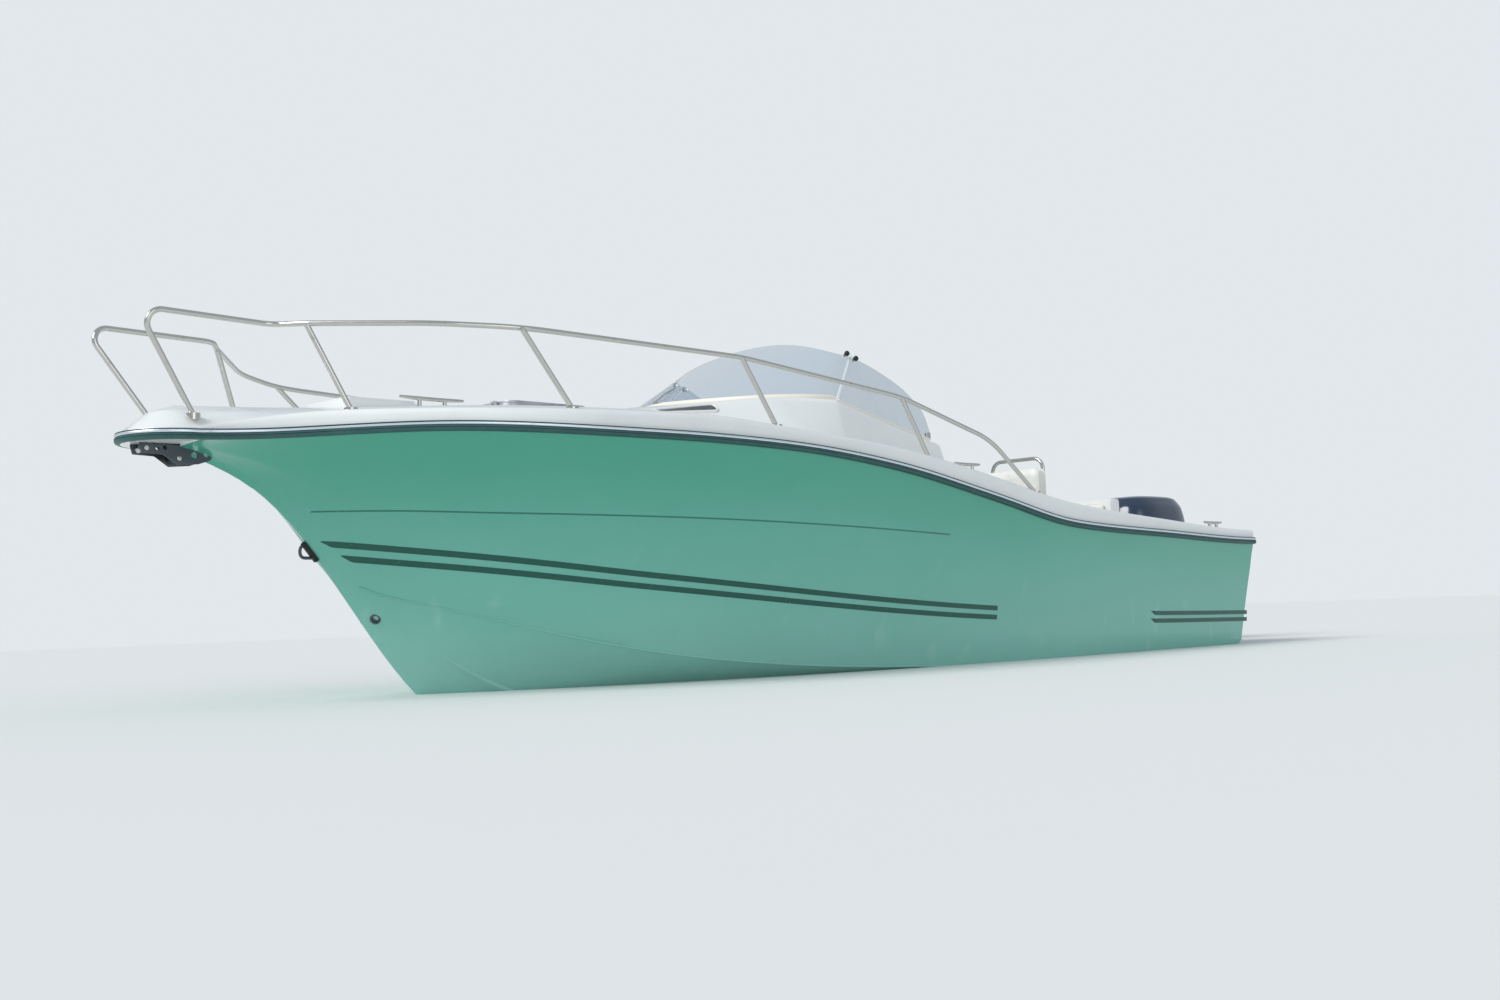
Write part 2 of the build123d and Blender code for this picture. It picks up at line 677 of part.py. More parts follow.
# Helm and navigator seats on moulded bases, with a bent tube handle over the back
SEAT_S = 1900.0
SEAT_Y = 480.0
SEAT_LENGTH = 440.0
SEAT_WIDTH = 520.0
BASE_TOP_Z = 620.0
CUSHION = 130.0
BACK_THICKNESS = 120.0
BACK_TOP_Z = 1210.0
HANDLE_RISE = 62.0


def seat_blocks(side):
    low, high = SEAT_S - SEAT_LENGTH / 2, SEAT_S + SEAT_LENGTH / 2
    near, far = side * (SEAT_Y - SEAT_WIDTH / 2), side * (SEAT_Y + SEAT_WIDTH / 2)
    return low, high, min(near, far), max(near, far)


with BuildPart() as seat_bases:
    for side in (1, -1):
        low, high, near, far = seat_blocks(side)
        add(box_between(low + 20, high - 20, near + 20, far - 20, SOLE_Z, BASE_TOP_Z))
        add(box_between(low - 70, low + 20, near + 20, far - 20, SOLE_Z, BASE_TOP_Z + 60))
save(seat_bases, "seat_bases")


def seat(side):
    low, high, near, far = seat_blocks(side)
    with BuildPart() as pad:
        add(box_between(low + 21, high, near, far, BASE_TOP_Z + 0.3, BASE_TOP_Z + CUSHION))
        add(box_between(low + 21, low + 21 + BACK_THICKNESS, near, far, BASE_TOP_Z + 0.3, BACK_TOP_Z))
        fillet(pad.edges().filter_by(Axis.Y).group_by(Axis.Z)[-1], 40)
    return pad


helm_seat = seat(-1)
navigator_seat = seat(1)
save(helm_seat, "helm_seat")
save(navigator_seat, "navigator_seat")
with BuildPart() as seat_handles:
    for side in (1, -1):
        low, high, near, far = seat_blocks(side)
        x = along(low - 5)
        with BuildLine() as loop:
            FilletPolyline(
                (x, near + 60, BASE_TOP_Z + 60),
                (x, near + 60, BACK_TOP_Z + HANDLE_RISE),
                (x, far - 60, BACK_TOP_Z + HANDLE_RISE),
                (x, far - 60, BASE_TOP_Z + 60),
                radius=70,
            )
        with BuildSketch(Plane(origin=loop.line @ 0, z_dir=(0, 0, 1))):
            Circle(RAIL_RADIUS)
        sweep(path=loop.line)
save(seat_handles, "seat_handles")

# Stern bench across the cockpit
BENCH_DEPTH = 470.0
BENCH_HALF = 900.0
BENCH_TOP_Z = 540.0
BENCH_CUSHION = 90.0
BENCH_NOSING = 30.0
BENCH_CUSHION_AFT = 95.0
BENCH_EDGE = 25.0
BACKREST_AFT = 60.3
BACKREST_FRONT = 92.0
BACKREST_INSET = 30.0
BACKREST_LIFT = 20.0
BACKREST_DROP = 25.0
CUSHION_GAP = 0.3
with BuildPart() as bench_base:
    front = COCKPIT_AFT_S + BENCH_DEPTH - BENCH_NOSING
    add(box_between(COCKPIT_AFT_S, front, -BENCH_HALF, BENCH_HALF, SOLE_Z, BENCH_TOP_Z))
save(bench_base, "bench_base")
with BuildPart() as bench_cushion:
    add(
        box_between(
            COCKPIT_AFT_S + BENCH_CUSHION_AFT, COCKPIT_AFT_S + BENCH_DEPTH, -BENCH_HALF, BENCH_HALF,
            BENCH_TOP_Z + CUSHION_GAP, BENCH_TOP_Z + BENCH_CUSHION,
        )
    )
    fillet(bench_cushion.edges().filter_by(Axis.Y), BENCH_EDGE)
save(bench_cushion, "bench_cushion")
with BuildPart() as bench_backrest:
    add(
        box_between(
            COCKPIT_AFT_S + BACKREST_AFT, COCKPIT_AFT_S + BACKREST_FRONT,
            -STERN_HALF + BACKREST_INSET, STERN_HALF - BACKREST_INSET,
            BENCH_TOP_Z + BACKREST_LIFT, STERN_TOP_Z - BACKREST_DROP,
        )
    )
save(bench_backrest, "bench_backrest")

# Outboard engine. The tilt axis lies above the cut-down transom and the engine
# steers about an upright axis behind it.
TILT_S = 30.0
TILT_Z = 300.0
STEER_S = -170.0
PIN_RADIUS = 15.0
RUNNING = 0.06
CLAMP_HALF = 150.0
CLAMP_PLATE = 24.0
SWIVEL_RADIUS = 48.0
SWIVEL_LOW_Z = -60.0
SWIVEL_TOP_Z = 360.0
YOKE = 42.0
GAP = 8.0
STEER_TUBE = 24.0
BORE_PAST = 20.0


def side_outline(points, y_mid, width):
    """Plate of a width about y_mid with an outline of (s, z) points."""
    with BuildPart() as plate:
        with BuildSketch(Plane.XZ.offset(-(y_mid + width / 2))):
            with BuildLine():
                Polyline(*[(along(s), z) for s, z in points], close=True)
            make_face()
        extrude(amount=width)
    return plate.part


with BuildPart() as clamp_bracket:
    for side in (1, -1):
        add(
            side_outline(
                [
                    (transom_s(TRANSOM_CUT_Z) + TRANSOM_BOARD + 22, TRANSOM_CUT_Z),
                    (transom_s(TRANSOM_CUT_Z) + TRANSOM_BOARD + 22, TRANSOM_CUT_Z + 30),
                    (TILT_S + 30, TILT_Z + 32),
                    (TILT_S - 34, TILT_Z + 26),
                    (TILT_S - 40, TILT_Z - 60),
                    (transom_s(-150) - 46, -150),
                    (transom_s(-150), -150),
                    (transom_s(TRANSOM_CUT_Z), TRANSOM_CUT_Z),
                ],
                side * (CLAMP_HALF - CLAMP_PLATE / 2),
                CLAMP_PLATE,
            )
        )
    add(rod((along(TILT_S), -CLAMP_HALF, TILT_Z), (along(TILT_S), CLAMP_HALF, TILT_Z), PIN_RADIUS))
save(clamp_bracket, "clamp_bracket")

SWIVEL_HALF = CLAMP_HALF - CLAMP_PLATE - 6
with BuildPart() as swivel_bracket:
    add(
        side_outline(
            [
                (TILT_S + 28, TILT_Z + 26),
                (TILT_S - 60, TILT_Z + 50),
                (STEER_S, SWIVEL_TOP_Z),
                (STEER_S, SWIVEL_LOW_Z),
                (STEER_S + 40, SWIVEL_LOW_Z),
                (TILT_S - 46, TILT_Z - 120),
                (TILT_S + 28, TILT_Z - 26),
            ],
            0,
            2 * SWIVEL_HALF - 60,
        )
    )
    add(rod((along(TILT_S), -SWIVEL_HALF, TILT_Z), (along(TILT_S), SWIVEL_HALF, TILT_Z), 27))
    add(rod((along(STEER_S), 0, SWIVEL_LOW_Z), (along(STEER_S), 0, SWIVEL_TOP_Z), SWIVEL_RADIUS))
    add(
        rod((along(TILT_S), -400, TILT_Z), (along(TILT_S), 400, TILT_Z), PIN_RADIUS + RUNNING),
        mode=Mode.SUBTRACT,
    )
    low, high = (along(STEER_S), 0, SWIVEL_LOW_Z - BORE_PAST), (along(STEER_S), 0, SWIVEL_TOP_Z + BORE_PAST)
    add(rod(low, high, STEER_TUBE + RUNNING), mode=Mode.SUBTRACT)
save(swivel_bracket, "swivel_bracket")

# Cowl, engine block under it and the leg with its gearcase
COWL_FRONT_S = -185.0
COWL_AFT_S = -975.0
COWL_LOW_Z = 430.0
COWL_TOP_Z = 1124.0
Cowl = namedtuple("Cowl", "z front aft half")
COWL = [
    Cowl(COWL_LOW_Z, -215, -820, 205),
    Cowl(600, -188, -935, 262),
    Cowl(880, COWL_FRONT_S, COWL_AFT_S, 270),
    Cowl(1030, -215, -955, 245),
    Cowl(COWL_TOP_Z, -330, -840, 165),
]
BLOCK_WALL = 26.0


def cowl_section(row, inset=0.0, corner=110.0):
    with BuildSketch(Plane.XY.offset(row.z)) as outline:
        with Locations((along((row.front + row.aft) / 2), 0)):
            RectangleRounded(row.front - row.aft - 2 * inset, 2 * (row.half - inset), corner)
    return outline.sketch


with BuildPart() as engine_cowl:
    loft([cowl_section(row) for row in COWL], ruled=True)
    hollow = [row._replace(z=row.z - (0.1 if row.z > COWL_LOW_Z else 1)) for row in COWL[:-1]]
    loft(
        [cowl_section(row, BLOCK_WALL, 80) for row in hollow],
        ruled=True,
        mode=Mode.SUBTRACT,
    )
save(engine_cowl, "engine_cowl")
with BuildPart() as engine_block:
    add(box_between(-760, -290, -150, 150, COWL_LOW_Z, 960))
save(engine_block, "engine_block")

PLATE_Z = -415.0
SHAFT_Z = -620.0
TORPEDO_RADIUS = 58.0
TORPEDO_FRONT_S = -120.0
PROP_HUB_S = -640.0
SKEG_Z = -785.0
Leg = namedtuple("Leg", "z front aft half")
LEG = [
    Leg(COWL_LOW_Z - 0.3, -235, -760, 170),
    Leg(300, -235, -610, 120),
    Leg(60, -232, -520, 80),
    Leg(PLATE_Z + 30, -232, -500, 46),
    Leg(SHAFT_Z, -215, -520, 34),
]


def leg_section(row):
    with BuildSketch(Plane.XY.offset(row.z)) as outline:
        with Locations((along((row.front + row.aft) / 2), 0)):
            RectangleRounded(row.front - row.aft, 2 * row.half, 0.9 * row.half)
    return outline.sketch


PROP_SHAFT = 14.0
NECK_FRONT_S = STEER_S - 40
NECK_AFT_S = -420.0
NECK_WIDTH = 180.0
NECK_RADIUS = 70.0
with BuildPart() as engine_leg:
    loft([leg_section(row) for row in LEG], ruled=True)
    neck_low, neck_top = SWIVEL_TOP_Z + GAP, COWL_LOW_Z - CUSHION_GAP
    neck = [
        (NECK_FRONT_S, neck_low), (NECK_AFT_S, neck_low),
        (NECK_AFT_S, neck_top), (NECK_FRONT_S, neck_top),
    ]
    add(side_outline(neck, 0, NECK_WIDTH))
    add(rod((along(STEER_S), 0, neck_low), (along(STEER_S), 0, neck_top), NECK_RADIUS))
    add(rod((along(STEER_S), 0, SWIVEL_LOW_Z - GAP - YOKE), (along(STEER_S), 0, SWIVEL_LOW_Z - GAP), 56))
    add(box_between(-400, STEER_S, -50, 50, SWIVEL_LOW_Z - GAP - YOKE, SWIVEL_LOW_Z - GAP))
    low, high = SWIVEL_LOW_Z - GAP - 1, SWIVEL_TOP_Z + GAP + 1
    add(rod((along(STEER_S), 0, low), (along(STEER_S), 0, high), STEER_TUBE))
    with BuildSketch(Plane.XY.offset(PLATE_Z - 8)):
        with Locations((along(-455), 0)):
            RectangleRounded(490, 260, 90)
    extrude(amount=14)
    add(rod((along(TORPEDO_FRONT_S - 60), 0, SHAFT_Z), (along(PROP_HUB_S + 6), 0, SHAFT_Z), TORPEDO_RADIUS))
    with BuildSketch(Plane.YZ.offset(along(TORPEDO_FRONT_S - 60))):
        with Locations((0, SHAFT_Z)):
            Circle(TORPEDO_RADIUS)
    extrude(amount=70, taper=30)
    add(
        side_outline(
            [
                (-200, SHAFT_Z), (-560, SHAFT_Z), (-520, SHAFT_Z - 80),
                (-480, SKEG_Z), (-400, SKEG_Z), (-230, SHAFT_Z - 70),
            ],
            0,
            16,
        )
    )
    add(rod((along(PROP_HUB_S + 7), 0, SHAFT_Z), (along(PROP_HUB_S - 175), 0, SHAFT_Z), PROP_SHAFT))
save(engine_leg, "engine_leg")

# Propeller with three blades on the shaft behind the gearcase
PROP_RADIUS = 185.0
HUB_LENGTH = 150.0
HUB_OUTER = 52.0
HUB_BORE_AHEAD = 60.0
BLADES = 3
BladeCut = namedtuple("BladeCut", "radius chord pitch thickness")
BLADE_CUTS = [BladeCut(40, 120, 34, 13), BladeCut(115, 175, 54, 9), BladeCut(PROP_RADIUS, 90, 64, 5)]


def blade_section(cut):
    place = Plane(
        origin=(along(PROP_HUB_S - HUB_LENGTH / 2), 0, SHAFT_Z + cut.radius), x_dir=(1, 0, 0), z_dir=(0, 0, 1)
    ).rotated((0, 0, cut.pitch))
    with BuildSketch(place) as outline:
        RectangleRounded(cut.chord, cut.thickness, 0.45 * cut.thickness)
    return outline.sketch


with BuildPart() as blade:
    loft([blade_section(cut) for cut in BLADE_CUTS], ruled=True)
with BuildPart() as propeller:
    add(rod((along(PROP_HUB_S), 0, SHAFT_Z), (along(PROP_HUB_S - HUB_LENGTH), 0, SHAFT_Z), HUB_OUTER))
    for number in range(BLADES):
        add(blade.part.rotate(Axis((0, 0, SHAFT_Z), (1, 0, 0)), 360 / BLADES * number))
    ahead, behind = PROP_HUB_S + HUB_BORE_AHEAD, PROP_HUB_S - HUB_LENGTH - BORE_PAST
    bore = rod((along(ahead), 0, SHAFT_Z), (along(behind), 0, SHAFT_Z), PROP_SHAFT + RUNNING)
    add(bore, mode=Mode.SUBTRACT)
save(propeller, "propeller")

# Foredeck hatch: a frame let into the deck and a lid hinged at its front edge
FRAME_WIDTH = 34.0
HATCH_SEAT_Z = 1420.0
HATCH_LIP_Z = 1355.0
HATCH_HINGE_Y = 150.0
LID_THICKNESS = 14.0
SEAT_GAP = 0.4
HINGE_RADIUS = 9.0
HINGE_OUT = 12.0
HINGE_RISE = 10.0
KNUCKLE_HALF = 22.0
KNUCKLE = 10.0
ARM_HALF = 10.0
EYE_HALF = 6.0
BORE_PAST_EYE = 30.0
HATCH_PIN = 4.0
HATCH_CORNER = 60.0
HATCH_LIP = 10.0
HATCH_LIP_CORNER = 12.0
LID_INSET = 4.0
HATCH_HINGE_S = HATCH_S + HATCH_HALF + FRAME_WIDTH + HINGE_OUT
HATCH_HINGE_Z = HATCH_SEAT_Z + HINGE_RISE
frame_size = 2 * (HATCH_HALF + FRAME_WIDTH)
lip_size = 2 * HATCH_HALF - 2 * HATCH_LIP
lid_size = frame_size - 2 * LID_INSET


def hinge_pin(s, y, z, half, radius):
    """Pin or bore athwart the boat, as long on each side of a place."""
    return rod((along(s), y - half, z), (along(s), y + half, z), radius)


with BuildPart() as hatch_frame:
    with BuildSketch(Plane.XY.offset(HATCH_LIP_Z)):
        with Locations((along(HATCH_S), 0)):
            RectangleRounded(frame_size, frame_size, HATCH_CORNER)
            RectangleRounded(lip_size, lip_size, HATCH_LIP_CORNER, mode=Mode.SUBTRACT)
    extrude(amount=HATCH_SEAT_Z - HATCH_LIP_Z)
    for y in (-HATCH_HINGE_Y, HATCH_HINGE_Y):
        add(
            box_between(
                HATCH_S + HATCH_HALF + 20, HATCH_HINGE_S + EYE_HALF, y - KNUCKLE_HALF, y + KNUCKLE_HALF,
                HATCH_LIP_Z + 10, HATCH_SEAT_Z - 4,
            )
        )
        add(hinge_pin(HATCH_HINGE_S, y, HATCH_HINGE_Z, KNUCKLE_HALF, HATCH_PIN))
        for low in (y - KNUCKLE_HALF, y + KNUCKLE_HALF - KNUCKLE):
            add(
                box_between(
                    HATCH_HINGE_S - EYE_HALF, HATCH_HINGE_S + EYE_HALF, low, low + KNUCKLE,
                    HATCH_LIP_Z + 20, HATCH_HINGE_Z + 5,
                )
            )
    add(deck.part, mode=Mode.SUBTRACT)
with BuildPart() as foredeck_hatch:
    with BuildSketch(Plane.XY.offset(HATCH_SEAT_Z + SEAT_GAP)):
        with Locations((along(HATCH_S), 0)):
            RectangleRounded(lid_size, lid_size, HATCH_CORNER - LID_INSET)
    extrude(amount=LID_THICKNESS)
    for y in (-HATCH_HINGE_Y, HATCH_HINGE_Y):
        arm_low, arm_top = HATCH_HINGE_Z - 4, HATCH_HINGE_Z + 6
        add(box_between(HATCH_S + HATCH_HALF, HATCH_HINGE_S, y - ARM_HALF, y + ARM_HALF, arm_low, arm_top))
        add(hinge_pin(HATCH_HINGE_S, y, HATCH_HINGE_Z, ARM_HALF, HINGE_RADIUS))
        bore = hinge_pin(HATCH_HINGE_S, y, HATCH_HINGE_Z, BORE_PAST_EYE, HATCH_PIN + RUNNING)
        add(bore, mode=Mode.SUBTRACT)
save(hatch_frame, "hatch_frame")
save(foredeck_hatch, "foredeck_hatch")

# Anchor locker lid, lying on the foredeck and hinged at its aft edge
LOCKER_LAP = 18.0
LOCKER_LID = 10.0
LOCKER_SEAT_Z = 1389.0
LOCKER_FRAME_Z = 1335.0
LOCKER_HINGE_OUT = 8.0
LOCKER_HINGE_RISE = 6.0
LOCKER_HINGE_Y = 110.0
LOCKER_KNUCKLE_HALF = 20.0
LOCKER_ARM_HALF = 8.0
LOCKER_PIN = 3.5
LOCKER_EDGE = 2.0
LOCKER_CORNER = 20.0
LOCKER_HINGE_S = LOCKER_AFT_S - LOCKER_LAP - LOCKER_HINGE_OUT
LOCKER_HINGE_Z = LOCKER_SEAT_Z + LOCKER_HINGE_RISE
locker_long = LOCKER_LENGTH + 2 * LOCKER_LAP
locker_wide = 2 * (LOCKER_HALF + LOCKER_LAP)
with BuildPart() as locker_frame:
    with BuildSketch(Plane.XY.offset(LOCKER_FRAME_Z)):
        with Locations((along(LOCKER_AFT_S + LOCKER_LENGTH / 2), 0)):
            Rectangle(locker_long, locker_wide)
            Rectangle(LOCKER_LENGTH - 2 * LOCKER_EDGE, 2 * (LOCKER_HALF - LOCKER_EDGE), mode=Mode.SUBTRACT)
    extrude(amount=LOCKER_SEAT_Z - LOCKER_FRAME_Z)
    for y in (-LOCKER_HINGE_Y, LOCKER_HINGE_Y):
        near, far = y - LOCKER_KNUCKLE_HALF, y + LOCKER_KNUCKLE_HALF
        add(box_between(LOCKER_HINGE_S - 7, LOCKER_AFT_S, near, far, LOCKER_FRAME_Z + 10, LOCKER_SEAT_Z - 6))
        for low in (near, far - KNUCKLE):
            add(
                box_between(
                    LOCKER_HINGE_S - EYE_HALF, LOCKER_HINGE_S + EYE_HALF, low, low + KNUCKLE,
                    LOCKER_FRAME_Z + 20, LOCKER_HINGE_Z + 5,
                )
            )
        add(hinge_pin(LOCKER_HINGE_S, y, LOCKER_HINGE_Z, LOCKER_KNUCKLE_HALF, LOCKER_PIN))
    add(deck.part, mode=Mode.SUBTRACT)
with BuildPart() as locker_lid:
    with BuildSketch(Plane.XY.offset(LOCKER_SEAT_Z + SEAT_GAP)):
        with Locations((along(LOCKER_AFT_S + LOCKER_LENGTH / 2), 0)):
            RectangleRounded(locker_long - 2 * LOCKER_EDGE, locker_wide - 2 * LOCKER_EDGE, LOCKER_CORNER)
    extrude(amount=LOCKER_LID)
    for y in (-LOCKER_HINGE_Y, LOCKER_HINGE_Y):
        near, far = y - LOCKER_ARM_HALF, y + LOCKER_ARM_HALF
        add(box_between(LOCKER_HINGE_S, LOCKER_AFT_S, near, far, LOCKER_HINGE_Z - 4, LOCKER_HINGE_Z + 5))
        add(hinge_pin(LOCKER_HINGE_S, y, LOCKER_HINGE_Z, LOCKER_ARM_HALF, LOCKER_HINGE_OUT))
        bore = hinge_pin(LOCKER_HINGE_S, y, LOCKER_HINGE_Z, BORE_PAST_EYE, LOCKER_PIN + RUNNING)
        add(bore, mode=Mode.SUBTRACT)
save(locker_frame, "locker_frame")
save(locker_lid, "locker_lid")

# Cabin door on the aft face of the bulkhead, hinged on its port edge
DOOR_THICKNESS = 22.0
DOOR_GAP = 8.0
DOOR_LAP = 20.0
DOOR_HINGE_S = BULKHEAD_S - DOOR_GAP - DOOR_THICKNESS - 8
DOOR_HINGE_Y = DOOR_HALF + DOOR_LAP + 10
DOOR_PIN = 5.0
DOOR_HINGES = (420.0, 980.0)
DOOR_KNUCKLE = 10.0
DOOR_EYE = 9.0


def door_pin(low, high, radius):
    """Upright pin, knuckle or bore on the door's hinge line."""
    return rod((along(DOOR_HINGE_S), DOOR_HINGE_Y, low), (along(DOOR_HINGE_S), DOOR_HINGE_Y, high), radius)


with BuildPart() as door_hinges:
    for z in DOOR_HINGES:
        add(box_between(DOOR_HINGE_S - 2, BULKHEAD_S, DOOR_HINGE_Y - 4, DOOR_HINGE_Y + 24, z - 45, z - 17))
        add(door_pin(z - 45, z - 15, DOOR_KNUCKLE))
        add(door_pin(z - 45, z + 30, DOOR_PIN))
with BuildPart() as cabin_door:
    add(
        box_between(
            BULKHEAD_S - DOOR_GAP - DOOR_THICKNESS,
            BULKHEAD_S - DOOR_GAP,
            -DOOR_HALF - DOOR_LAP,
            DOOR_HALF + DOOR_LAP - 6,
            SOLE_Z + 12,
            DOOR_TOP_Z + 12,
        )
    )
    for z in DOOR_HINGES:
        aft_face = BULKHEAD_S - DOOR_GAP - DOOR_THICKNESS
        add(box_between(DOOR_HINGE_S, aft_face, DOOR_HINGE_Y - 50, DOOR_HINGE_Y, z - 12, z + 32))
        add(door_pin(z - 12, z + 32, DOOR_EYE))
        add(door_pin(z - 60, z + 60, DOOR_PIN + RUNNING), mode=Mode.SUBTRACT)
save(door_hinges, "door_hinges")
save(cabin_door, "cabin_door")

# Boarding ladder on the transom: a fixed upper part and a folding lower part
LADDER_Y = -860.0
LADDER_HALF = 150.0
LADDER_TOP_Z = 600.0
LADDER_PIN_Z = 160.0
LADDER_STAND_OFF = 52.0
LADDER_FOLD_STAND_OFF = 96.0
LADDER_TUBE = 11.0
LADDER_STEP = 9.5
LADDER_FOOT = 24.0
LADDER_PIN = 5.0
LADDER_EYE = 13.0
LADDER_NEST = 18.0


def transom_point(z, y, off):
    """Point a distance aft of the raked transom's face."""
    return Vector(along(transom_s(z)) - off / math.cos(math.radians(TRANSOM_RAKE)), y, z)


with BuildPart() as ladder_fixed:
    for side in (1, -1):
        y = LADDER_Y + side * LADDER_HALF
        head, foot = (transom_point(z, y, LADDER_STAND_OFF) for z in (LADDER_TOP_Z, LADDER_PIN_Z))
        add(rod(head, foot, LADDER_TUBE))
        for z in (LADDER_TOP_Z - 12, LADDER_PIN_Z + 40):
            add(rod(transom_point(z, y, -20), transom_point(z, y, LADDER_STAND_OFF), LADDER_STEP))
            add(rod(transom_point(z, y, -20), transom_point(z, y, 9), LADDER_FOOT))
        pin = transom_point(LADDER_PIN_Z, y, LADDER_FOLD_STAND_OFF)
        near = transom_point(LADDER_PIN_Z, y, LADDER_STAND_OFF)
        aft, front = pin.X - TRANSOM_X - 14, near.X - TRANSOM_X
        add(box_between(aft, front, y - 4, y + 4, LADDER_PIN_Z - 14, LADDER_PIN_Z + 14))
        add(rod((pin.X, y - side * 26, pin.Z), (pin.X, y, pin.Z), LADDER_PIN))
    for z in (300, 500):
        add(
            rod(
                transom_point(z, LADDER_Y - LADDER_HALF, LADDER_STAND_OFF),
                transom_point(z, LADDER_Y + LADDER_HALF, LADDER_STAND_OFF),
                LADDER_STEP,
            )
        )
    add(hull.part, mode=Mode.SUBTRACT)
with BuildPart() as ladder_fold:
    for side in (1, -1):
        y = LADDER_Y + side * (LADDER_HALF - LADDER_NEST)
        add(
            rod(
                transom_point(LADDER_PIN_Z, y, LADDER_FOLD_STAND_OFF),
                transom_point(LADDER_TOP_Z - 30, y, LADDER_FOLD_STAND_OFF),
                LADDER_TUBE,
            )
        )
        ends = (transom_point(LADDER_PIN_Z, end, LADDER_FOLD_STAND_OFF) for end in (y - 10, y + 10))
        add(rod(*ends, LADDER_EYE))
    for z in (330, LADDER_TOP_Z - 40):
        add(
            rod(
                transom_point(z, LADDER_Y - LADDER_HALF + LADDER_NEST, LADDER_FOLD_STAND_OFF),
                transom_point(z, LADDER_Y + LADDER_HALF - LADDER_NEST, LADDER_FOLD_STAND_OFF),
                LADDER_STEP,
            )
        )
    pin = transom_point(LADDER_PIN_Z, LADDER_Y, LADDER_FOLD_STAND_OFF)
    bore = rod((pin.X, LADDER_Y - 200, pin.Z), (pin.X, LADDER_Y + 200, pin.Z), LADDER_PIN + RUNNING)
    add(bore, mode=Mode.SUBTRACT)
save(ladder_fixed, "ladder_fixed")
save(ladder_fold, "ladder_fold")

# Anchor roller bracket under the pulpit, with two rollers on pins
CHEEK_HALF = 46.0
PIN_HEAD = 6.0
CHEEK = 6.0
ROLLER_PIN = 6.0
BASE_PLATE = (7215.0, 7375.0)
BASE_PLATE_THICKNESS = 6.0
Roller = namedtuple("Roller", "name s z radius")
ROLLERS = [
    Roller("anchor_roller_aft", 7256, 1092, 19),
    Roller("anchor_roller_front", 7402, 1131, 16),
]
PULPIT_LOW_Z = NOSE.sheer_z
CHEEK_OUTLINE = [
    (7060, PULPIT_LOW_Z),
    (7112, 1088),
    (7166, 1070),
    (7262, 1062),
    (7326, 1106),
    (7424, 1110),
    (7436, PULPIT_LOW_Z),
]
with BuildPart() as roller_bracket:
    for side in (1, -1):
        add(
            side_outline(
                CHEEK_OUTLINE,
                side * (CHEEK_HALF - CHEEK / 2),
                CHEEK,
            )
        )
    add(box_between(*BASE_PLATE, -CHEEK_HALF, CHEEK_HALF, PULPIT_LOW_Z - BASE_PLATE_THICKNESS, PULPIT_LOW_Z))
    for roller in ROLLERS:
        add(hinge_pin(roller.s, 0, roller.z, CHEEK_HALF + PIN_HEAD, ROLLER_PIN))
    add(hull.part, mode=Mode.SUBTRACT)
save(roller_bracket, "roller_bracket")
for roller in ROLLERS:
    with BuildPart() as anchor_roller:
        with BuildSketch(Plane.XZ.offset(-(CHEEK_HALF - CHEEK - 2))):
            with Locations((along(roller.s), roller.z)):
                Circle(roller.radius)
                Circle(ROLLER_PIN + RUNNING, mode=Mode.SUBTRACT)
        extrude(amount=2 * (CHEEK_HALF - CHEEK - 2))
    save(anchor_roller, roller.name)

# Horn cleats: one on the foredeck and a pair amidships and at the stern
CLEAT_LEG = 10.0
CLEAT_HORN = 9.0
CLEAT_ROOT = 18.0
CLEAT_FOOT = 22.0
Cleat = namedtuple("Cleat", "s y length rise")
CLEATS = [
    Cleat(5915, 0, 370, 54),
    Cleat(3080, 1130, 230, 40),
    Cleat(3080, -1130, 230, 40),
    Cleat(330, 1130, 230, 40),
    Cleat(330, -1130, 230, 40),
]
with BuildPart() as cleats:
    for cleat in CLEATS:
        top = deck_z(cleat.s, cleat.y) + cleat.rise
        for part in (-1, 1):
            leg_s = cleat.s + part * cleat.length * 0.2
            low = top - cleat.rise - CLEAT_ROOT
            add(rod((along(leg_s), cleat.y, low), (along(leg_s), cleat.y, top), CLEAT_LEG))
            add(trimmed_post(leg_s, cleat.y, CLEAT_FOOT, 5))
        aft, front = cleat.s - cleat.length / 2, cleat.s + cleat.length / 2
        add(rod((along(aft), cleat.y, top), (along(front), cleat.y, top), CLEAT_HORN))
    add(deck.part, mode=Mode.SUBTRACT)
save(cleats, "cleats")

with BuildPart() as rod_holders:
    for side in (1, -1):
        add(holder_rod(side, -HOLDER_LIP, HOLDER_LENGTH, HOLDER_BORE + HOLDER_WALL))
        add(holder_rod(side, -HOLDER_LIP, 14, HOLDER_BORE + HOLDER_FLANGE))
    add(deck.part, mode=Mode.SUBTRACT)
    for side in (1, -1):
        add(holder_rod(side, -60, HOLDER_LENGTH - HOLDER_FLOOR, HOLDER_BORE), mode=Mode.SUBTRACT)
save(rod_holders, "rod_holders")

# Bow eye in the stem for towing and the trailer's winch
EYE_Z = 690.0
EYE_RADIUS = 8.0
EYE_SPREAD = 34.0
EYE_REACH = 62.0


def stem_s(z):
    """Place of the stem's edge at a height."""
    rows = [st for st in STATIONS if st.keel_z >= STATIONS[8].keel_z]
    for low, high in zip(rows, rows[1:]):
        if low.keel_z <= z <= high.keel_z:
            return mix(low.s, high.s, (z - low.keel_z) / (high.keel_z - low.keel_z))
    return rows[-1].s


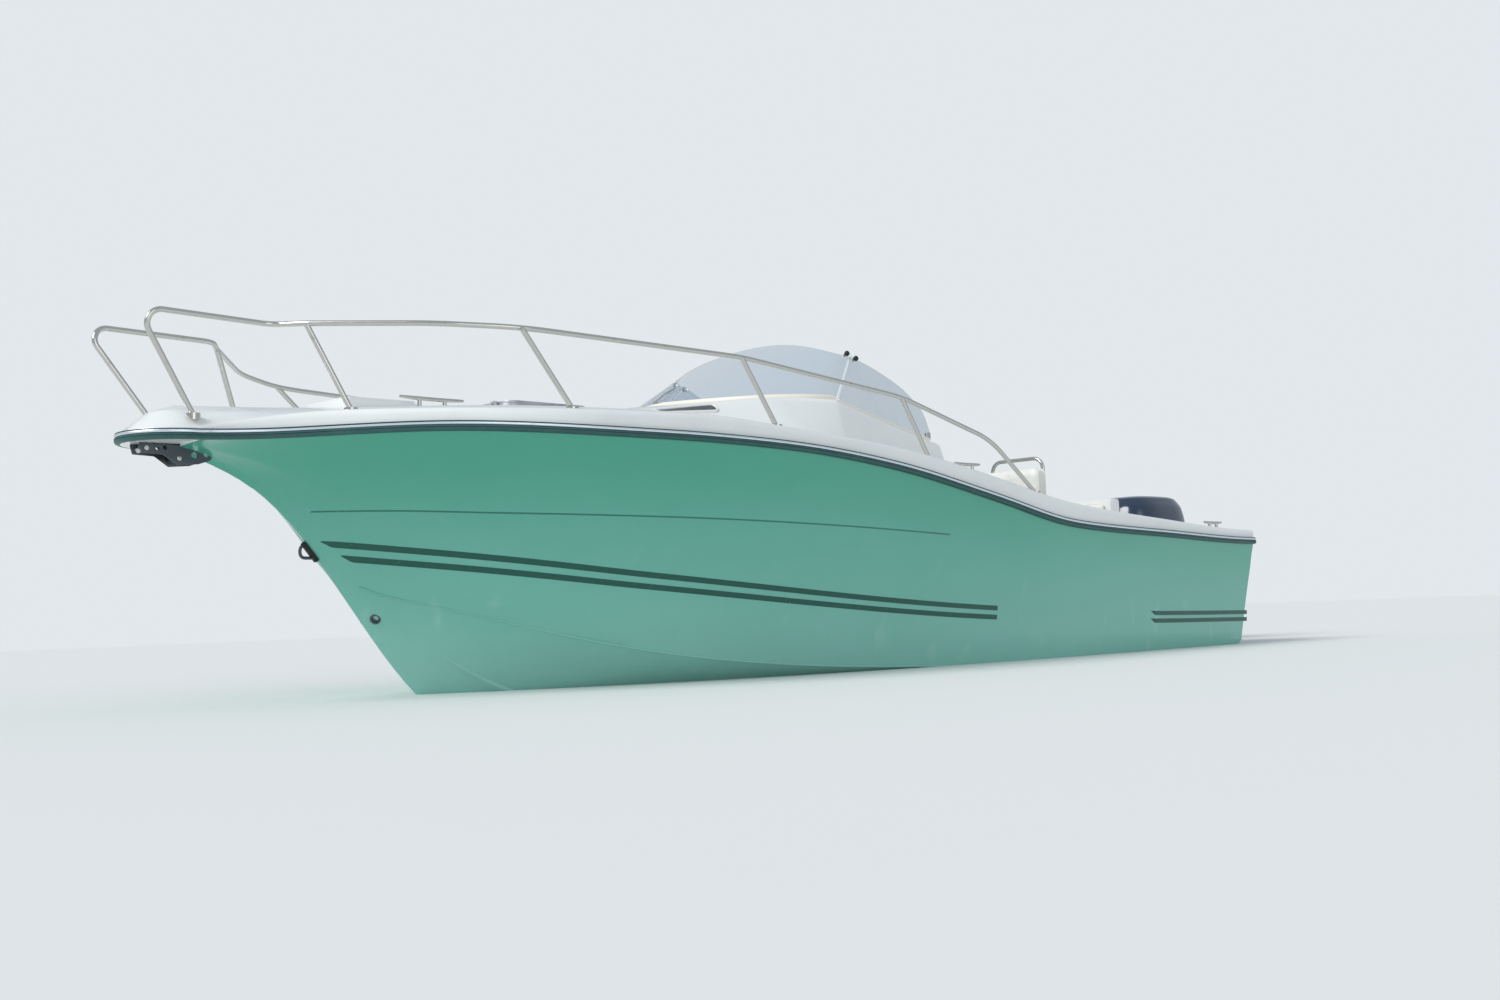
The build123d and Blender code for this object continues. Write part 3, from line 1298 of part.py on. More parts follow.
with BuildPart() as bow_eye:
    with BuildLine() as bend:
        FilletPolyline(
            (along(stem_s(EYE_Z) - 30), 0, EYE_Z - EYE_SPREAD),
            (along(stem_s(EYE_Z) + EYE_REACH), 0, EYE_Z - EYE_SPREAD),
            (along(stem_s(EYE_Z) + EYE_REACH), 0, EYE_Z + EYE_SPREAD),
            (along(stem_s(EYE_Z) - 10), 0, EYE_Z + EYE_SPREAD),
            radius=EYE_SPREAD - 2,
        )
    with BuildSketch(Plane(origin=bend.line @ 0, z_dir=(1, 0, 0))):
        Circle(EYE_RADIUS)
    sweep(path=bend.line)
    add(rod((along(stem_s(EYE_Z) - 40), 0, EYE_Z), (along(stem_s(EYE_Z) + 14), 0, EYE_Z), 12))
    add(box_between(stem_s(EYE_Z) - 60, stem_s(EYE_Z) + 16, -13, 13, EYE_Z - 56, EYE_Z + 56))
    add(hull.part, mode=Mode.SUBTRACT)
save(bow_eye, "bow_eye")

# Long oval portlights in the trunk's front shoulders
PORT_S = 4675.0
PORT_Y = 545.0
PORT_LENGTH = 400.0
PORT_WIDTH = 96.0
PORT_RIM = 16.0
PORT_PROUD = 9.0


def port_plane(side):
    """Plane tangent to the trunk's shoulder, its x along the boat."""
    origin = Vector(along(PORT_S), side * PORT_Y, deck_z(PORT_S, PORT_Y))
    forward = Vector(along(PORT_S + 150), side * PORT_Y, deck_z(PORT_S + 150, PORT_Y)) - origin
    sideways = Vector(along(PORT_S), side * (PORT_Y - 60), deck_z(PORT_S, PORT_Y - 60)) - origin
    normal = forward.cross(sideways)
    if normal.Z < 0:
        normal = normal * -1
    return Plane(origin=origin, x_dir=forward, z_dir=normal)


with BuildPart() as portlight_rims:
    for side in (1, -1):
        plane = port_plane(side)
        with BuildSketch(plane.offset(-DECK_WALL / 2)):
            SlotOverall(PORT_LENGTH, PORT_WIDTH)
            SlotOverall(PORT_LENGTH - 2 * PORT_RIM, PORT_WIDTH - 2 * PORT_RIM, mode=Mode.SUBTRACT)
        extrude(amount=DECK_WALL / 2 + PORT_PROUD)
    add(deck.part, mode=Mode.SUBTRACT)
with BuildPart() as portlight_panes:
    for side in (1, -1):
        with BuildSketch(port_plane(side).offset(-DECK_WALL / 2)):
            SlotOverall(PORT_LENGTH - 2 * PORT_RIM, PORT_WIDTH - 2 * PORT_RIM)
        extrude(amount=DECK_WALL / 2 + PORT_PROUD / 2)
    add(deck.part, mode=Mode.SUBTRACT)
save(portlight_rims, "portlight_rims")
save(portlight_panes, "portlight_panes")

# Scupper flaps over the cockpit drains, on the transom
FLAP_Y = 760.0
FLAP_Z = 250.0
with BuildPart() as scupper_flaps:
    for side in (1, -1):
        add(rod(transom_point(FLAP_Z, side * FLAP_Y, 0), transom_point(FLAP_Z, side * FLAP_Y, 12), 44))
        add(rod(transom_point(FLAP_Z, side * FLAP_Y, 11), transom_point(FLAP_Z, side * FLAP_Y, 20), 30))
    add(hull.part, mode=Mode.SUBTRACT)
save(scupper_flaps, "scupper_flaps")

# Cushions of the vee berth in the cabin
BERTH_INSET = 40.0
BERTH_CUSHION = 90.0
with BuildPart() as berth_cushion:
    with BuildSketch(Plane.XY.offset(BERTH_Z + 0.3)):
        with BuildLine():
            rows = [row for row in CABIN if row.s > CABIN[0].s]
            outer = [(along(row.s - BERTH_INSET), row.berth_y - BERTH_INSET) for row in rows]
            Polyline(*(outer + [(x, -y) for x, y in reversed(outer)]), close=True)
        make_face()
    extrude(amount=BERTH_CUSHION)
    add(
        box_between(CABIN[0].s, FOOTWELL_FRONT_S + 5, -FOOTWELL_HALF - 5, FOOTWELL_HALF + 5, 0, 900),
        mode=Mode.SUBTRACT,
    )
save(berth_cushion, "berth_cushion")
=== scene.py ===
import logging
import math
from dataclasses import dataclass, field
from enum import Enum
from typing import Any, Callable, Dict, List, NamedTuple, Optional, Sequence, Tuple

import bmesh
import bpy
from mathutils import Matrix, Vector


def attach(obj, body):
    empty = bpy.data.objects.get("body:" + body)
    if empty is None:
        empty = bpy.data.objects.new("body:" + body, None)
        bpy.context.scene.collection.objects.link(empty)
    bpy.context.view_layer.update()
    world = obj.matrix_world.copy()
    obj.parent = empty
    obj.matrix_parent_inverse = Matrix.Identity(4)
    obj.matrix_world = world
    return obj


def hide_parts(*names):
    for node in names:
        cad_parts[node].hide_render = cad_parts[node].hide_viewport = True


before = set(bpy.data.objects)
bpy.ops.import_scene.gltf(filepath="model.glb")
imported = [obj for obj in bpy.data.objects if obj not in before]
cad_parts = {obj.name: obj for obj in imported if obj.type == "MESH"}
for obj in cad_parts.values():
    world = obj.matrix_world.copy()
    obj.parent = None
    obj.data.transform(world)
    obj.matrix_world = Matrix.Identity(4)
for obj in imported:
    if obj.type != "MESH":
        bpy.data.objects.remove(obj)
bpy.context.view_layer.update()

LOG = logging.getLogger("speedboat")
TINY = 1e-5
NEARLY_HALF = 0.49
FLAT_ANGLE = 1.0
SHARP_ANGLE = 40.0
PANE_CREASE = 50.0
ALL_SMOOTH = 180.0
Colour = Tuple[float, float, float]
Pair = Tuple[float, float]
Triple = Tuple[float, float, float]
Quad = Tuple[float, float, float, float]
AHEAD, PORT, UP = Vector((1, 0, 0)), Vector((0, 1, 0)), Vector((0, 0, 1))


class Body(Enum):
    """Moving bodies of the boat."""

    BOAT = "boat"
    SWIVEL = "swivel"
    ENGINE = "engine"
    PROPELLER = "propeller"
    WHEEL = "wheel"
    HATCH = "hatch_lid"
    LOCKER = "locker_cover"
    DOOR = "door"
    LADDER = "ladder_lower"
    ROLLER_AFT = "roller_aft"
    ROLLER_FRONT = "roller_front"


class Side(Enum):
    """The two sides, as the sign of Y."""

    PORT = 1
    STARBOARD = -1


def mix(low: float, high: float, share: float) -> float:
    """Value a share of the way from low to high."""
    return low + (high - low) * share


def spot(*point: float) -> Any:
    """Dataclass field that is a point of its own in each object."""
    return field(default_factory=lambda: Vector(point))


def srgb(red: int, green: int, blue: int) -> Colour:
    """Linear colour of an 8-bit display colour."""
    return tuple(((c / 255 + 0.055) / 1.055) ** 2.4 if c > 10 else c / 255 / 12.92 for c in (red, green, blue))


def math_method(operation: str, swapped: bool = False) -> Callable[..., "Wire"]:
    """Method of Wire that adds a Math node, with its values swapped where the wire comes second."""

    def method(wire: "Wire", *other: Any) -> "Wire":
        """Add the node and return what it gives."""
        values = (*other, wire) if swapped else (wire, *other)
        return wire.recipe.node("ShaderNodeMath", {"operation": operation}, dict(enumerate(values)))

    return method


class Wire:
    """A socket of a shader tree, with arithmetic that adds Math nodes."""

    def __init__(self, recipe: "Recipe", socket: bpy.types.NodeSocket) -> None:
        """Wrap a socket of a recipe's tree."""
        self.recipe = recipe
        self.socket = socket

    __add__ = math_method("ADD")
    __sub__ = math_method("SUBTRACT")
    __rsub__ = math_method("SUBTRACT", swapped=True)
    __mul__ = math_method("MULTIPLY")
    wave = math_method("SINE")
    size = math_method("ABSOLUTE")

    def ramp(self, low: float, high: float) -> "Wire":
        """Smooth step from 0 at low to 1 at high."""
        settings = {"interpolation_type": "SMOOTHSTEP"}
        return self.recipe.node("ShaderNodeMapRange", settings, {0: self, 1: low, 2: high}, "Result")


class Recipe:
    """A material under construction, with one Principled shader."""

    def __init__(self, name: str) -> None:
        """Start an empty material of a name."""
        self.material = bpy.data.materials.new(name)
        self.material.use_nodes = True
        self.tree = self.material.node_tree
        self.tree.nodes.clear()
        self.end = self.tree.nodes.new("ShaderNodeOutputMaterial")
        self.shader = self.tree.nodes.new("ShaderNodeBsdfPrincipled")
        self.tree.links.new(self.shader.outputs["BSDF"], self.end.inputs["Surface"])

    def set(self, node: bpy.types.Node, sockets: Dict[Any, Any]) -> None:
        """Set or link the sockets of a node.

        Args:
            node: The node.
            sockets: Values or wires by the socket's name or number.
        """
        for key, value in sockets.items():
            if isinstance(value, Wire):
                self.tree.links.new(value.socket, node.inputs[key])
            else:
                node.inputs[key].default_value = value

    def node(
        self,
        kind: str,
        settings: Optional[Dict[str, Any]] = None,
        sockets: Optional[Dict[Any, Any]] = None,
        out: Any = 0,
    ) -> Wire:
        """Add a node.

        Args:
            kind: The node's type.
            settings: Its properties, set first, with a ramp's stops under "stops".
            sockets: Values or wires of its sockets.
            out: The output that is returned, by name or number.

        Returns:
            The wire from that output.
        """
        node = self.tree.nodes.new(kind)
        for key, value in (settings or {}).items():
            if key == "stops":
                while len(node.color_ramp.elements) < len(value):
                    node.color_ramp.elements.new(1.0)
                for element, (place, colour) in zip(node.color_ramp.elements, value):
                    element.position, element.color = place, (*colour, 1.0)
            else:
                setattr(node, key, value)
        self.set(node, sockets or {})
        return Wire(self, node.outputs[out])

    def place(self) -> Wire:
        """Position on the object, in the boat's own frame at rest."""
        return self.node("ShaderNodeTexCoord", out="Object")

    def axes(self) -> Tuple[Wire, Wire, Wire]:
        """X, Y and Z of the position, as three values."""
        split = self.node("ShaderNodeSeparateXYZ", sockets={0: self.place()})
        return tuple(Wire(self, split.socket.node.outputs[axis]) for axis in "XYZ")

    def stretched(self, scale: Sequence[float]) -> Wire:
        """Position scaled along the three axes."""
        return self.node("ShaderNodeVectorMath", {"operation": "MULTIPLY"}, {0: self.place(), 1: scale})

    def noise(self, scale: float, detail: float = 3.0, stretch: Sequence[float] = (1, 1, 1)) -> Wire:
        """Fractal noise around 0.5, with scale waves a metre and detail octaves."""
        sockets = {"Vector": self.stretched(stretch), "Scale": scale, "Detail": detail, "Roughness": 0.55}
        return self.node("ShaderNodeTexNoise", sockets=sockets)

    def cells(self, scale: float, feature: str = "F1", stretch: Sequence[float] = (1, 1, 1)) -> Wire:
        """Distance to the nearest point of a cell pattern."""
        sockets = {"Vector": self.stretched(stretch), "Scale": scale}
        return self.node("ShaderNodeTexVoronoi", {"feature": feature}, sockets, "Distance")

    def blend(self, share: Any, low: Any, high: Any) -> Wire:
        """Mix two colours, each a tuple or a wire, by a share from 0 to 1."""
        low, high = (value if isinstance(value, Wire) else (*value, 1.0) for value in (low, high))
        return self.node("ShaderNodeMix", {"data_type": "RGBA"}, {0: share, 6: low, 7: high}, 2)

    def bump(self, height: Wire, depth: float, strength: float = 1.0) -> Wire:
        """Normal from a height of 0 to 1 over a depth in metres."""
        return self.node("ShaderNodeBump", sockets={"Height": height, "Distance": depth, "Strength": strength})

    def finish(self, **sockets: Any) -> bpy.types.Material:
        """Set the shader's sockets by their names, with spaces as underscores, and return the material."""
        self.set(self.shader, {key.replace("_", " "): value for key, value in sockets.items()})
        return self.material


class Finish:
    """A finish of the boat: its record slot and its material, made once."""

    slot = ""
    made: Dict[Any, bpy.types.Material] = {}

    def recipe(self, recipe: Recipe) -> bpy.types.Material:
        """Fill the recipe with this finish."""
        raise NotImplementedError

    def material(self) -> bpy.types.Material:
        """The material of this finish, made at the first call."""
        if self not in Finish.made:
            Finish.made[self] = self.recipe(Recipe(type(self).__name__.lower() + "_" + self.slot))
        return Finish.made[self]


@dataclass(frozen=True)
class HullGelcoat(Finish):
    """White gelcoat painted sea-green as a painted reflection of the water, with painted shade deeper under the
    sheer and painted light paler at the waterline.
    """

    slot: str = "hull_gelcoat"
    # pale: painted light reflected up from the water at the waterline
    pale: Colour = srgb(142, 200, 188)
    # body: sea-green painted reflection of the water on the white gelcoat
    body: Colour = srgb(112, 184, 168)
    # deep: painted shadow colour under the rub rail and the flare, also the colour of the faint streaks
    deep: Colour = srgb(66, 164, 138)
    roughness: float = 0.22

    def recipe(self, recipe: Recipe) -> bpy.types.Material:
        """Fill the recipe."""
        x, _, z = recipe.axes()
        haze = recipe.noise(1.3, 4.0, (1, 1, 1.6)) - 0.5
        height = z - x * 0.055 + haze * 0.22
        # Darker green towards the sheer: painted shadow under the rub rail and the flare.
        upper = recipe.blend(height.ramp(0.30, 1.02), self.body, self.deep)
        # Paler towards the waterline: painted light reflected from the water.
        lower = height.ramp(-0.15, 0.42)
        base = recipe.blend(lower, self.pale, upper)
        # Glints low on the hull: painted caustic light patches.
        glints = recipe.noise(5.0, 2.0, (1.0, 1.0, 0.55)).ramp(0.60, 0.78) * (1 - height.ramp(0.0, 0.7))
        caustic_lit = recipe.blend(glints * 0.28, base, srgb(196, 226, 214))
        streaks = recipe.noise(9.0, 3.0, (1.0, 1.0, 0.08)).ramp(0.52, 0.75)
        final = recipe.blend(streaks * 0.05, caustic_lit, self.deep)
        wear = recipe.noise(60.0, 2.0) * 0.06 + (self.roughness - 0.03)
        ripple = recipe.noise(240.0, 1.0)
        return recipe.finish(
            Base_Color=final, Roughness=wear, Coat_Weight=0.35, Coat_Roughness=0.08,
            Normal=recipe.bump(ripple, 0.00012),
        )


@dataclass(frozen=True)
class DeckGelcoat(Finish):
    """White gelcoat with faint sun and salt marks."""

    slot: str = "deck_gelcoat"
    body: Colour = srgb(240, 242, 240)
    shade: Colour = srgb(222, 226, 224)

    def recipe(self, recipe: Recipe) -> bpy.types.Material:
        """Fill the recipe."""
        marks = recipe.noise(3.5, 5.0).ramp(0.45, 0.75)
        colour = recipe.blend(marks * 0.35, self.body, self.shade)
        speck = recipe.noise(130.0, 2.0).ramp(0.70, 0.78)
        colour = recipe.blend(speck * 0.10, colour, srgb(196, 196, 186))
        ripple = recipe.noise(220.0, 1.0)
        return recipe.finish(
            Base_Color=colour, Roughness=recipe.noise(40.0, 2.0) * 0.1 + 0.2, Coat_Weight=0.4,
            Coat_Roughness=0.1, Normal=recipe.bump(ripple, 0.00012),
        )


@dataclass(frozen=True)
class NonSkid(Finish):
    """Moulded non-skid pattern of small diamonds, a little greyer than the gelcoat."""

    slot: str = "sole_gelcoat"
    pitch: float = 0.009

    def recipe(self, recipe: Recipe) -> bpy.types.Material:
        """Fill the recipe."""
        x, y, _ = recipe.axes()
        turn = 2 * math.pi / self.pitch
        along = ((x + y) * turn).wave().size()
        over = ((x - y) * turn).wave().size()
        stud = (along * over).ramp(0.15, 0.55)
        grime = recipe.noise(5.0, 5.0).ramp(0.4, 0.8)
        colour = recipe.blend(stud, srgb(198, 202, 200), srgb(232, 234, 232))
        colour = recipe.blend(grime * 0.3, colour, srgb(202, 200, 190))
        return recipe.finish(
            Base_Color=colour, Roughness=grime * 0.15 + 0.5, Normal=recipe.bump(stud, 0.0009, 0.7)
        )


@dataclass(frozen=True)
class Rubber(Finish):
    """Fine-grained rubber with a dusty bloom."""

    slot: str = "rub_rail_rubber"
    body: Colour = srgb(48, 88, 88)
    bloom: Colour = srgb(88, 118, 116)

    def recipe(self, recipe: Recipe) -> bpy.types.Material:
        """Fill the recipe."""
        dust = recipe.noise(14.0, 5.0).ramp(0.45, 0.85)
        grain = recipe.noise(900.0, 2.0)
        return recipe.finish(
            Base_Color=recipe.blend(dust * 0.35, self.body, self.bloom), Roughness=dust * 0.2 + 0.42,
            Specular_IOR_Level=0.4, Normal=recipe.bump(grain, 0.0002),
        )


@dataclass(frozen=True)
class Steel(Finish):
    """Polished stainless steel with fine drawing marks and tea stains."""

    slot: str = "stainless_tube"
    body: Colour = srgb(206, 204, 198)
    stain: Colour = srgb(150, 136, 112)
    roughness: float = 0.16

    def recipe(self, recipe: Recipe) -> bpy.types.Material:
        """Fill the recipe."""
        tea = recipe.noise(22.0, 5.0).ramp(0.58, 0.80)
        lines = recipe.noise(700.0, 2.0, (0.15, 1.0, 1.0))
        rough = lines * 0.12 + tea * 0.14 + (self.roughness - 0.06)
        return recipe.finish(
            Base_Color=recipe.blend(tea * 0.5, self.body, self.stain), Metallic=1.0, Roughness=rough,
            Normal=recipe.bump(lines, 0.00006),
        )


@dataclass(frozen=True)
class Acrylic(Finish):
    """Clear or smoked acrylic sheet with fine polishing haze."""

    slot: str = "tinted_acrylic"
    tint: Colour = srgb(128, 158, 182)
    cover: float = 0.28

    def recipe(self, recipe: Recipe) -> bpy.types.Material:
        """Fill the recipe."""
        haze = recipe.noise(6.0, 4.0).ramp(0.45, 0.8)
        rubbed = recipe.noise(300.0, 2.0, (0.1, 1.0, 1.0)).ramp(0.5, 0.9)
        return recipe.finish(
            Base_Color=recipe.blend(haze * 0.2, self.tint, srgb(214, 226, 232)),
            Roughness=rubbed * 0.04 + 0.03, Alpha=haze * 0.05 + self.cover, Specular_IOR_Level=0.65,
            Coat_Weight=0.6, Coat_Roughness=0.02,
        )


@dataclass(frozen=True)
class Vinyl(Finish):
    """Marine upholstery vinyl with leather grain."""

    slot: str = "white_vinyl"
    body: Colour = srgb(236, 235, 228)
    worn: Colour = srgb(212, 206, 190)

    def recipe(self, recipe: Recipe) -> bpy.types.Material:
        """Fill the recipe."""
        grain = recipe.cells(420.0)
        crease = recipe.noise(28.0, 4.0)
        wear = recipe.noise(7.0, 4.0).ramp(0.5, 0.8)
        return recipe.finish(
            Base_Color=recipe.blend(wear * 0.5, self.body, self.worn), Roughness=wear * 0.12 + 0.42,
            Sheen_Weight=0.15, Normal=recipe.bump(grain * 0.5 + crease, 0.0006, 0.6),
        )


@dataclass(frozen=True)
class Weave(Finish):
    """Woven fabric of crossing threads."""

    slot: str = "berth_fabric"
    body: Colour = srgb(200, 192, 172)
    shade: Colour = srgb(150, 142, 122)
    pitch: float = 0.0028

    def recipe(self, recipe: Recipe) -> bpy.types.Material:
        """Fill the recipe."""
        x, y, z = recipe.axes()
        turn = 2 * math.pi / self.pitch
        warp = (x * turn).wave()
        weft = ((y + z) * turn).wave()
        thread = (warp * weft) * 0.5 + 0.5
        fuzz = recipe.noise(60.0, 4.0)
        return recipe.finish(
            Base_Color=recipe.blend(thread * 0.5 + fuzz * 0.3, self.shade, self.body), Roughness=0.85,
            Sheen_Weight=0.3, Normal=recipe.bump(thread, 0.0004, 0.7),
        )


@dataclass(frozen=True)
class Moulding(Finish):
    """Grained moulded plastic."""

    slot: str = "black_trim"
    body: Colour = srgb(24, 25, 27)
    scuff: Colour = srgb(74, 76, 78)
    roughness: float = 0.5

    def recipe(self, recipe: Recipe) -> bpy.types.Material:
        """Fill the recipe."""
        scuffs = recipe.noise(36.0, 5.0).ramp(0.62, 0.82)
        grain = recipe.cells(800.0)
        return recipe.finish(
            Base_Color=recipe.blend(scuffs * 0.4, self.body, self.scuff),
            Roughness=scuffs * 0.2 + (self.roughness - 0.05), Normal=recipe.bump(grain, 0.00022, 0.6),
        )


@dataclass(frozen=True)
class Enamel(Finish):
    """Sprayed enamel on metal with metallic flake and chipped edges."""

    slot: str = "engine_paint"
    body: Colour = srgb(30, 38, 50)
    flake: Colour = srgb(62, 76, 94)
    roughness: float = 0.3

    def recipe(self, recipe: Recipe) -> bpy.types.Material:
        """Fill the recipe."""
        flakes = recipe.cells(1400.0).ramp(0.0, 0.5)
        salt = recipe.noise(11.0, 5.0).ramp(0.6, 0.85)
        colour = recipe.blend(flakes * 0.35, self.flake, self.body)
        return recipe.finish(
            Base_Color=recipe.blend(salt * 0.2, colour, srgb(140, 146, 150)),
            Roughness=salt * 0.2 + self.roughness, Coat_Weight=0.8, Coat_Roughness=0.06,
            Normal=recipe.bump(recipe.noise(260.0, 1.0), 0.0001),
        )


@dataclass(frozen=True)
class CastMetal(Finish):
    """Sand-cast aluminium alloy."""

    slot: str = "cast_block"
    body: Colour = srgb(150, 152, 154)

    def recipe(self, recipe: Recipe) -> bpy.types.Material:
        """Fill the recipe."""
        grit = recipe.noise(420.0, 3.0)
        stain = recipe.noise(9.0, 4.0).ramp(0.45, 0.8)
        return recipe.finish(
            Base_Color=recipe.blend(stain * 0.5, self.body, srgb(96, 96, 94)), Metallic=0.9,
            Roughness=grit * 0.2 + 0.4, Normal=recipe.bump(grit, 0.0005),
        )


DECK_WHITE = DeckGelcoat()
# Hull gelcoat: white, painted sea-green as a painted reflection of the water, with painted shade and painted
# light
HULL_GREEN = HullGelcoat()
STAINLESS = Steel()
CHROME = Steel(slot="chrome_rim", body=srgb(222, 224, 226), roughness=0.1)
PROP_STEEL = Steel(slot="propeller_steel", body=srgb(190, 190, 188), roughness=0.2)
PALE_STRIP = Moulding(slot="tinted_acrylic", body=srgb(214, 224, 228), scuff=srgb(188, 198, 204), roughness=0.3)
BRIGHT_TRIM = Steel(body=srgb(228, 236, 242), stain=srgb(176, 186, 190), roughness=0.34)
SCREEN = Acrylic()
HATCH_SMOKE = Acrylic(slot="hatch_acrylic", tint=srgb(36, 46, 54), cover=0.72)
DOOR_SMOKE = Acrylic(slot="door_acrylic", tint=srgb(34, 38, 42), cover=0.84)
ANODISED = CastMetal(slot="hatch_aluminium", body=srgb(196, 198, 200))
BLOCK_CAST = CastMetal()
BLACK_TRIM = Moulding()
GRIP = Moulding(slot="wheel_grip", body=srgb(20, 20, 22), roughness=0.6)
WHITE_TRIM = Moulding(slot="deck_gelcoat", body=srgb(232, 232, 228), scuff=srgb(204, 202, 194), roughness=0.35)
CREAM_TRIM = Moulding(slot="deck_gelcoat", body=srgb(238, 234, 222), scuff=srgb(214, 208, 192), roughness=0.45)
STRIPE = Moulding(slot="rub_rail_rubber", body=srgb(16, 84, 72), scuff=srgb(34, 104, 90), roughness=0.3)
RAIL_RUBBER = Rubber()
CHEEK_STEEL = Steel(body=srgb(92, 98, 104), stain=srgb(60, 62, 62), roughness=0.42)
GAUGE_WHITE = Moulding(slot="black_trim", body=srgb(226, 228, 226), scuff=srgb(206, 208, 206), roughness=0.35)
# Dark green strip along the knuckle: painted shade of the crease
KNUCKLE_SHADE = Moulding(slot="hull_gelcoat", body=srgb(44, 118, 100), scuff=srgb(60, 134, 116), roughness=0.35)
BLACK_RUBBER = Rubber(slot="black_rubber", body=srgb(20, 20, 21), bloom=srgb(70, 70, 70))
SOLE = NonSkid()
SEAT_VINYL = Vinyl()
BERTH_WEAVE = Weave()
ENGINE_PAINT = Enamel()
COWL_PAINT = Enamel(slot="cowl_paint", body=srgb(6, 26, 50), flake=srgb(20, 46, 74), roughness=0.22)
COWL_GREY = Enamel(slot="cowl_paint", body=srgb(120, 128, 138), flake=srgb(164, 170, 178), roughness=0.24)


class Curve:
    """A curve through table values that never overshoots them."""

    def __init__(self, places: Sequence[float], values: Sequence[float]) -> None:
        """Work out the slopes at the places, which rise."""
        self.places, self.values = list(places), list(values)
        steps = [b - a for a, b in zip(places, places[1:])]
        rates = [(b - a) / step for a, b, step in zip(values, values[1:], steps)]
        self.slopes = [rates[0]]
        for (low, high), (before, after) in zip(zip(rates, rates[1:]), zip(steps, steps[1:])):
            if low * high <= 0:
                self.slopes.append(0.0)
            else:
                near, far = 2 * after + before, after + 2 * before
                self.slopes.append((near + far) / (near / low + far / high))
        self.slopes.append(rates[-1])

    def __call__(self, place: float) -> float:
        """Value at a place, held at the ends."""
        place = min(max(place, self.places[0]), self.places[-1])
        index = max(i for i, start in enumerate(self.places[:-1]) if start <= place)
        step = self.places[index + 1] - self.places[index]
        t = (place - self.places[index]) / step
        start, end = self.values[index], self.values[index + 1]
        rise, fall = self.slopes[index] * step, self.slopes[index + 1] * step
        cube, square = t * t * t, t * t
        return (
            (2 * cube - 3 * square + 1) * start + (cube - 2 * square + t) * rise
            + (3 * square - 2 * cube) * end + (cube - square) * fall
        )


def rounded(points: Sequence[Sequence[float]], radii: Sequence[float], steps: int = 4) -> List[Vector]:
    """Open line with its inner corners rounded, always with the same number of points.

    Args:
        points: Corners, in two or three dimensions.
        radii: Radius of each inner corner.
        steps: Parts of each arc.

    Returns:
        The line with its arcs.
    """
    corners = [Vector(point) for point in points]
    line = [corners[0]]
    for before, corner, after, radius in zip(corners, corners[1:], corners[2:], radii):
        back, ahead = before - corner, after - corner
        room = min(back.length, ahead.length) * NEARLY_HALF
        back.normalize()
        ahead.normalize()
        half = max(back.angle(ahead, math.pi) / 2, 1e-4)
        reach = min(radius / math.tan(half), room) if half < math.pi / 2 - 1e-4 else 0.0
        start, end = corner + back * reach, corner + ahead * reach
        for step in range(steps + 1):
            t = step / steps
            line.append(start * (1 - t) ** 2 + corner * 2 * t * (1 - t) + end * t * t)
    line.append(corners[-1])
    return line


def directions(path: Sequence[Vector], closed: bool) -> List[Vector]:
    """Direction of a path at each of its points."""
    last = len(path) - 1
    runs = []
    for i, point in enumerate(path):
        ahead = path[(i + 1) % len(path)] if closed or i < last else point
        behind = path[i - 1] if closed or i > 0 else point
        runs.append((ahead - behind).normalized())
    return runs


def arc(centre: Vector, start: Vector, normal: Vector, degrees: float, steps: int) -> List[Vector]:
    """Points of an arc from a start point, turned about a normal through a centre."""
    arm = start - centre
    turns = [math.radians(degrees * i / steps) for i in range(steps + 1)]
    return [centre + Matrix.Rotation(turn, 3, normal) @ arm for turn in turns]


def circle(radius: float, sides: int, squash: float = 1.0) -> List[Pair]:
    """Round or oval profile around the origin."""
    turns = [2 * math.pi * i / sides for i in range(sides)]
    return [(radius * math.cos(turn), radius * squash * math.sin(turn)) for turn in turns]


def super_oval(half_x: float, half_y: float, power: float, sides: int) -> List[Pair]:
    """Rounded-rectangle profile given by a super-ellipse."""
    def stretched(value: float, half: float) -> float:
        """One offset of the super-ellipse from that of a circle."""
        return half * math.copysign(abs(value) ** (2 / power), value)

    return [(stretched(u, half_x), stretched(v, half_y)) for u, v in circle(1.0, sides)]


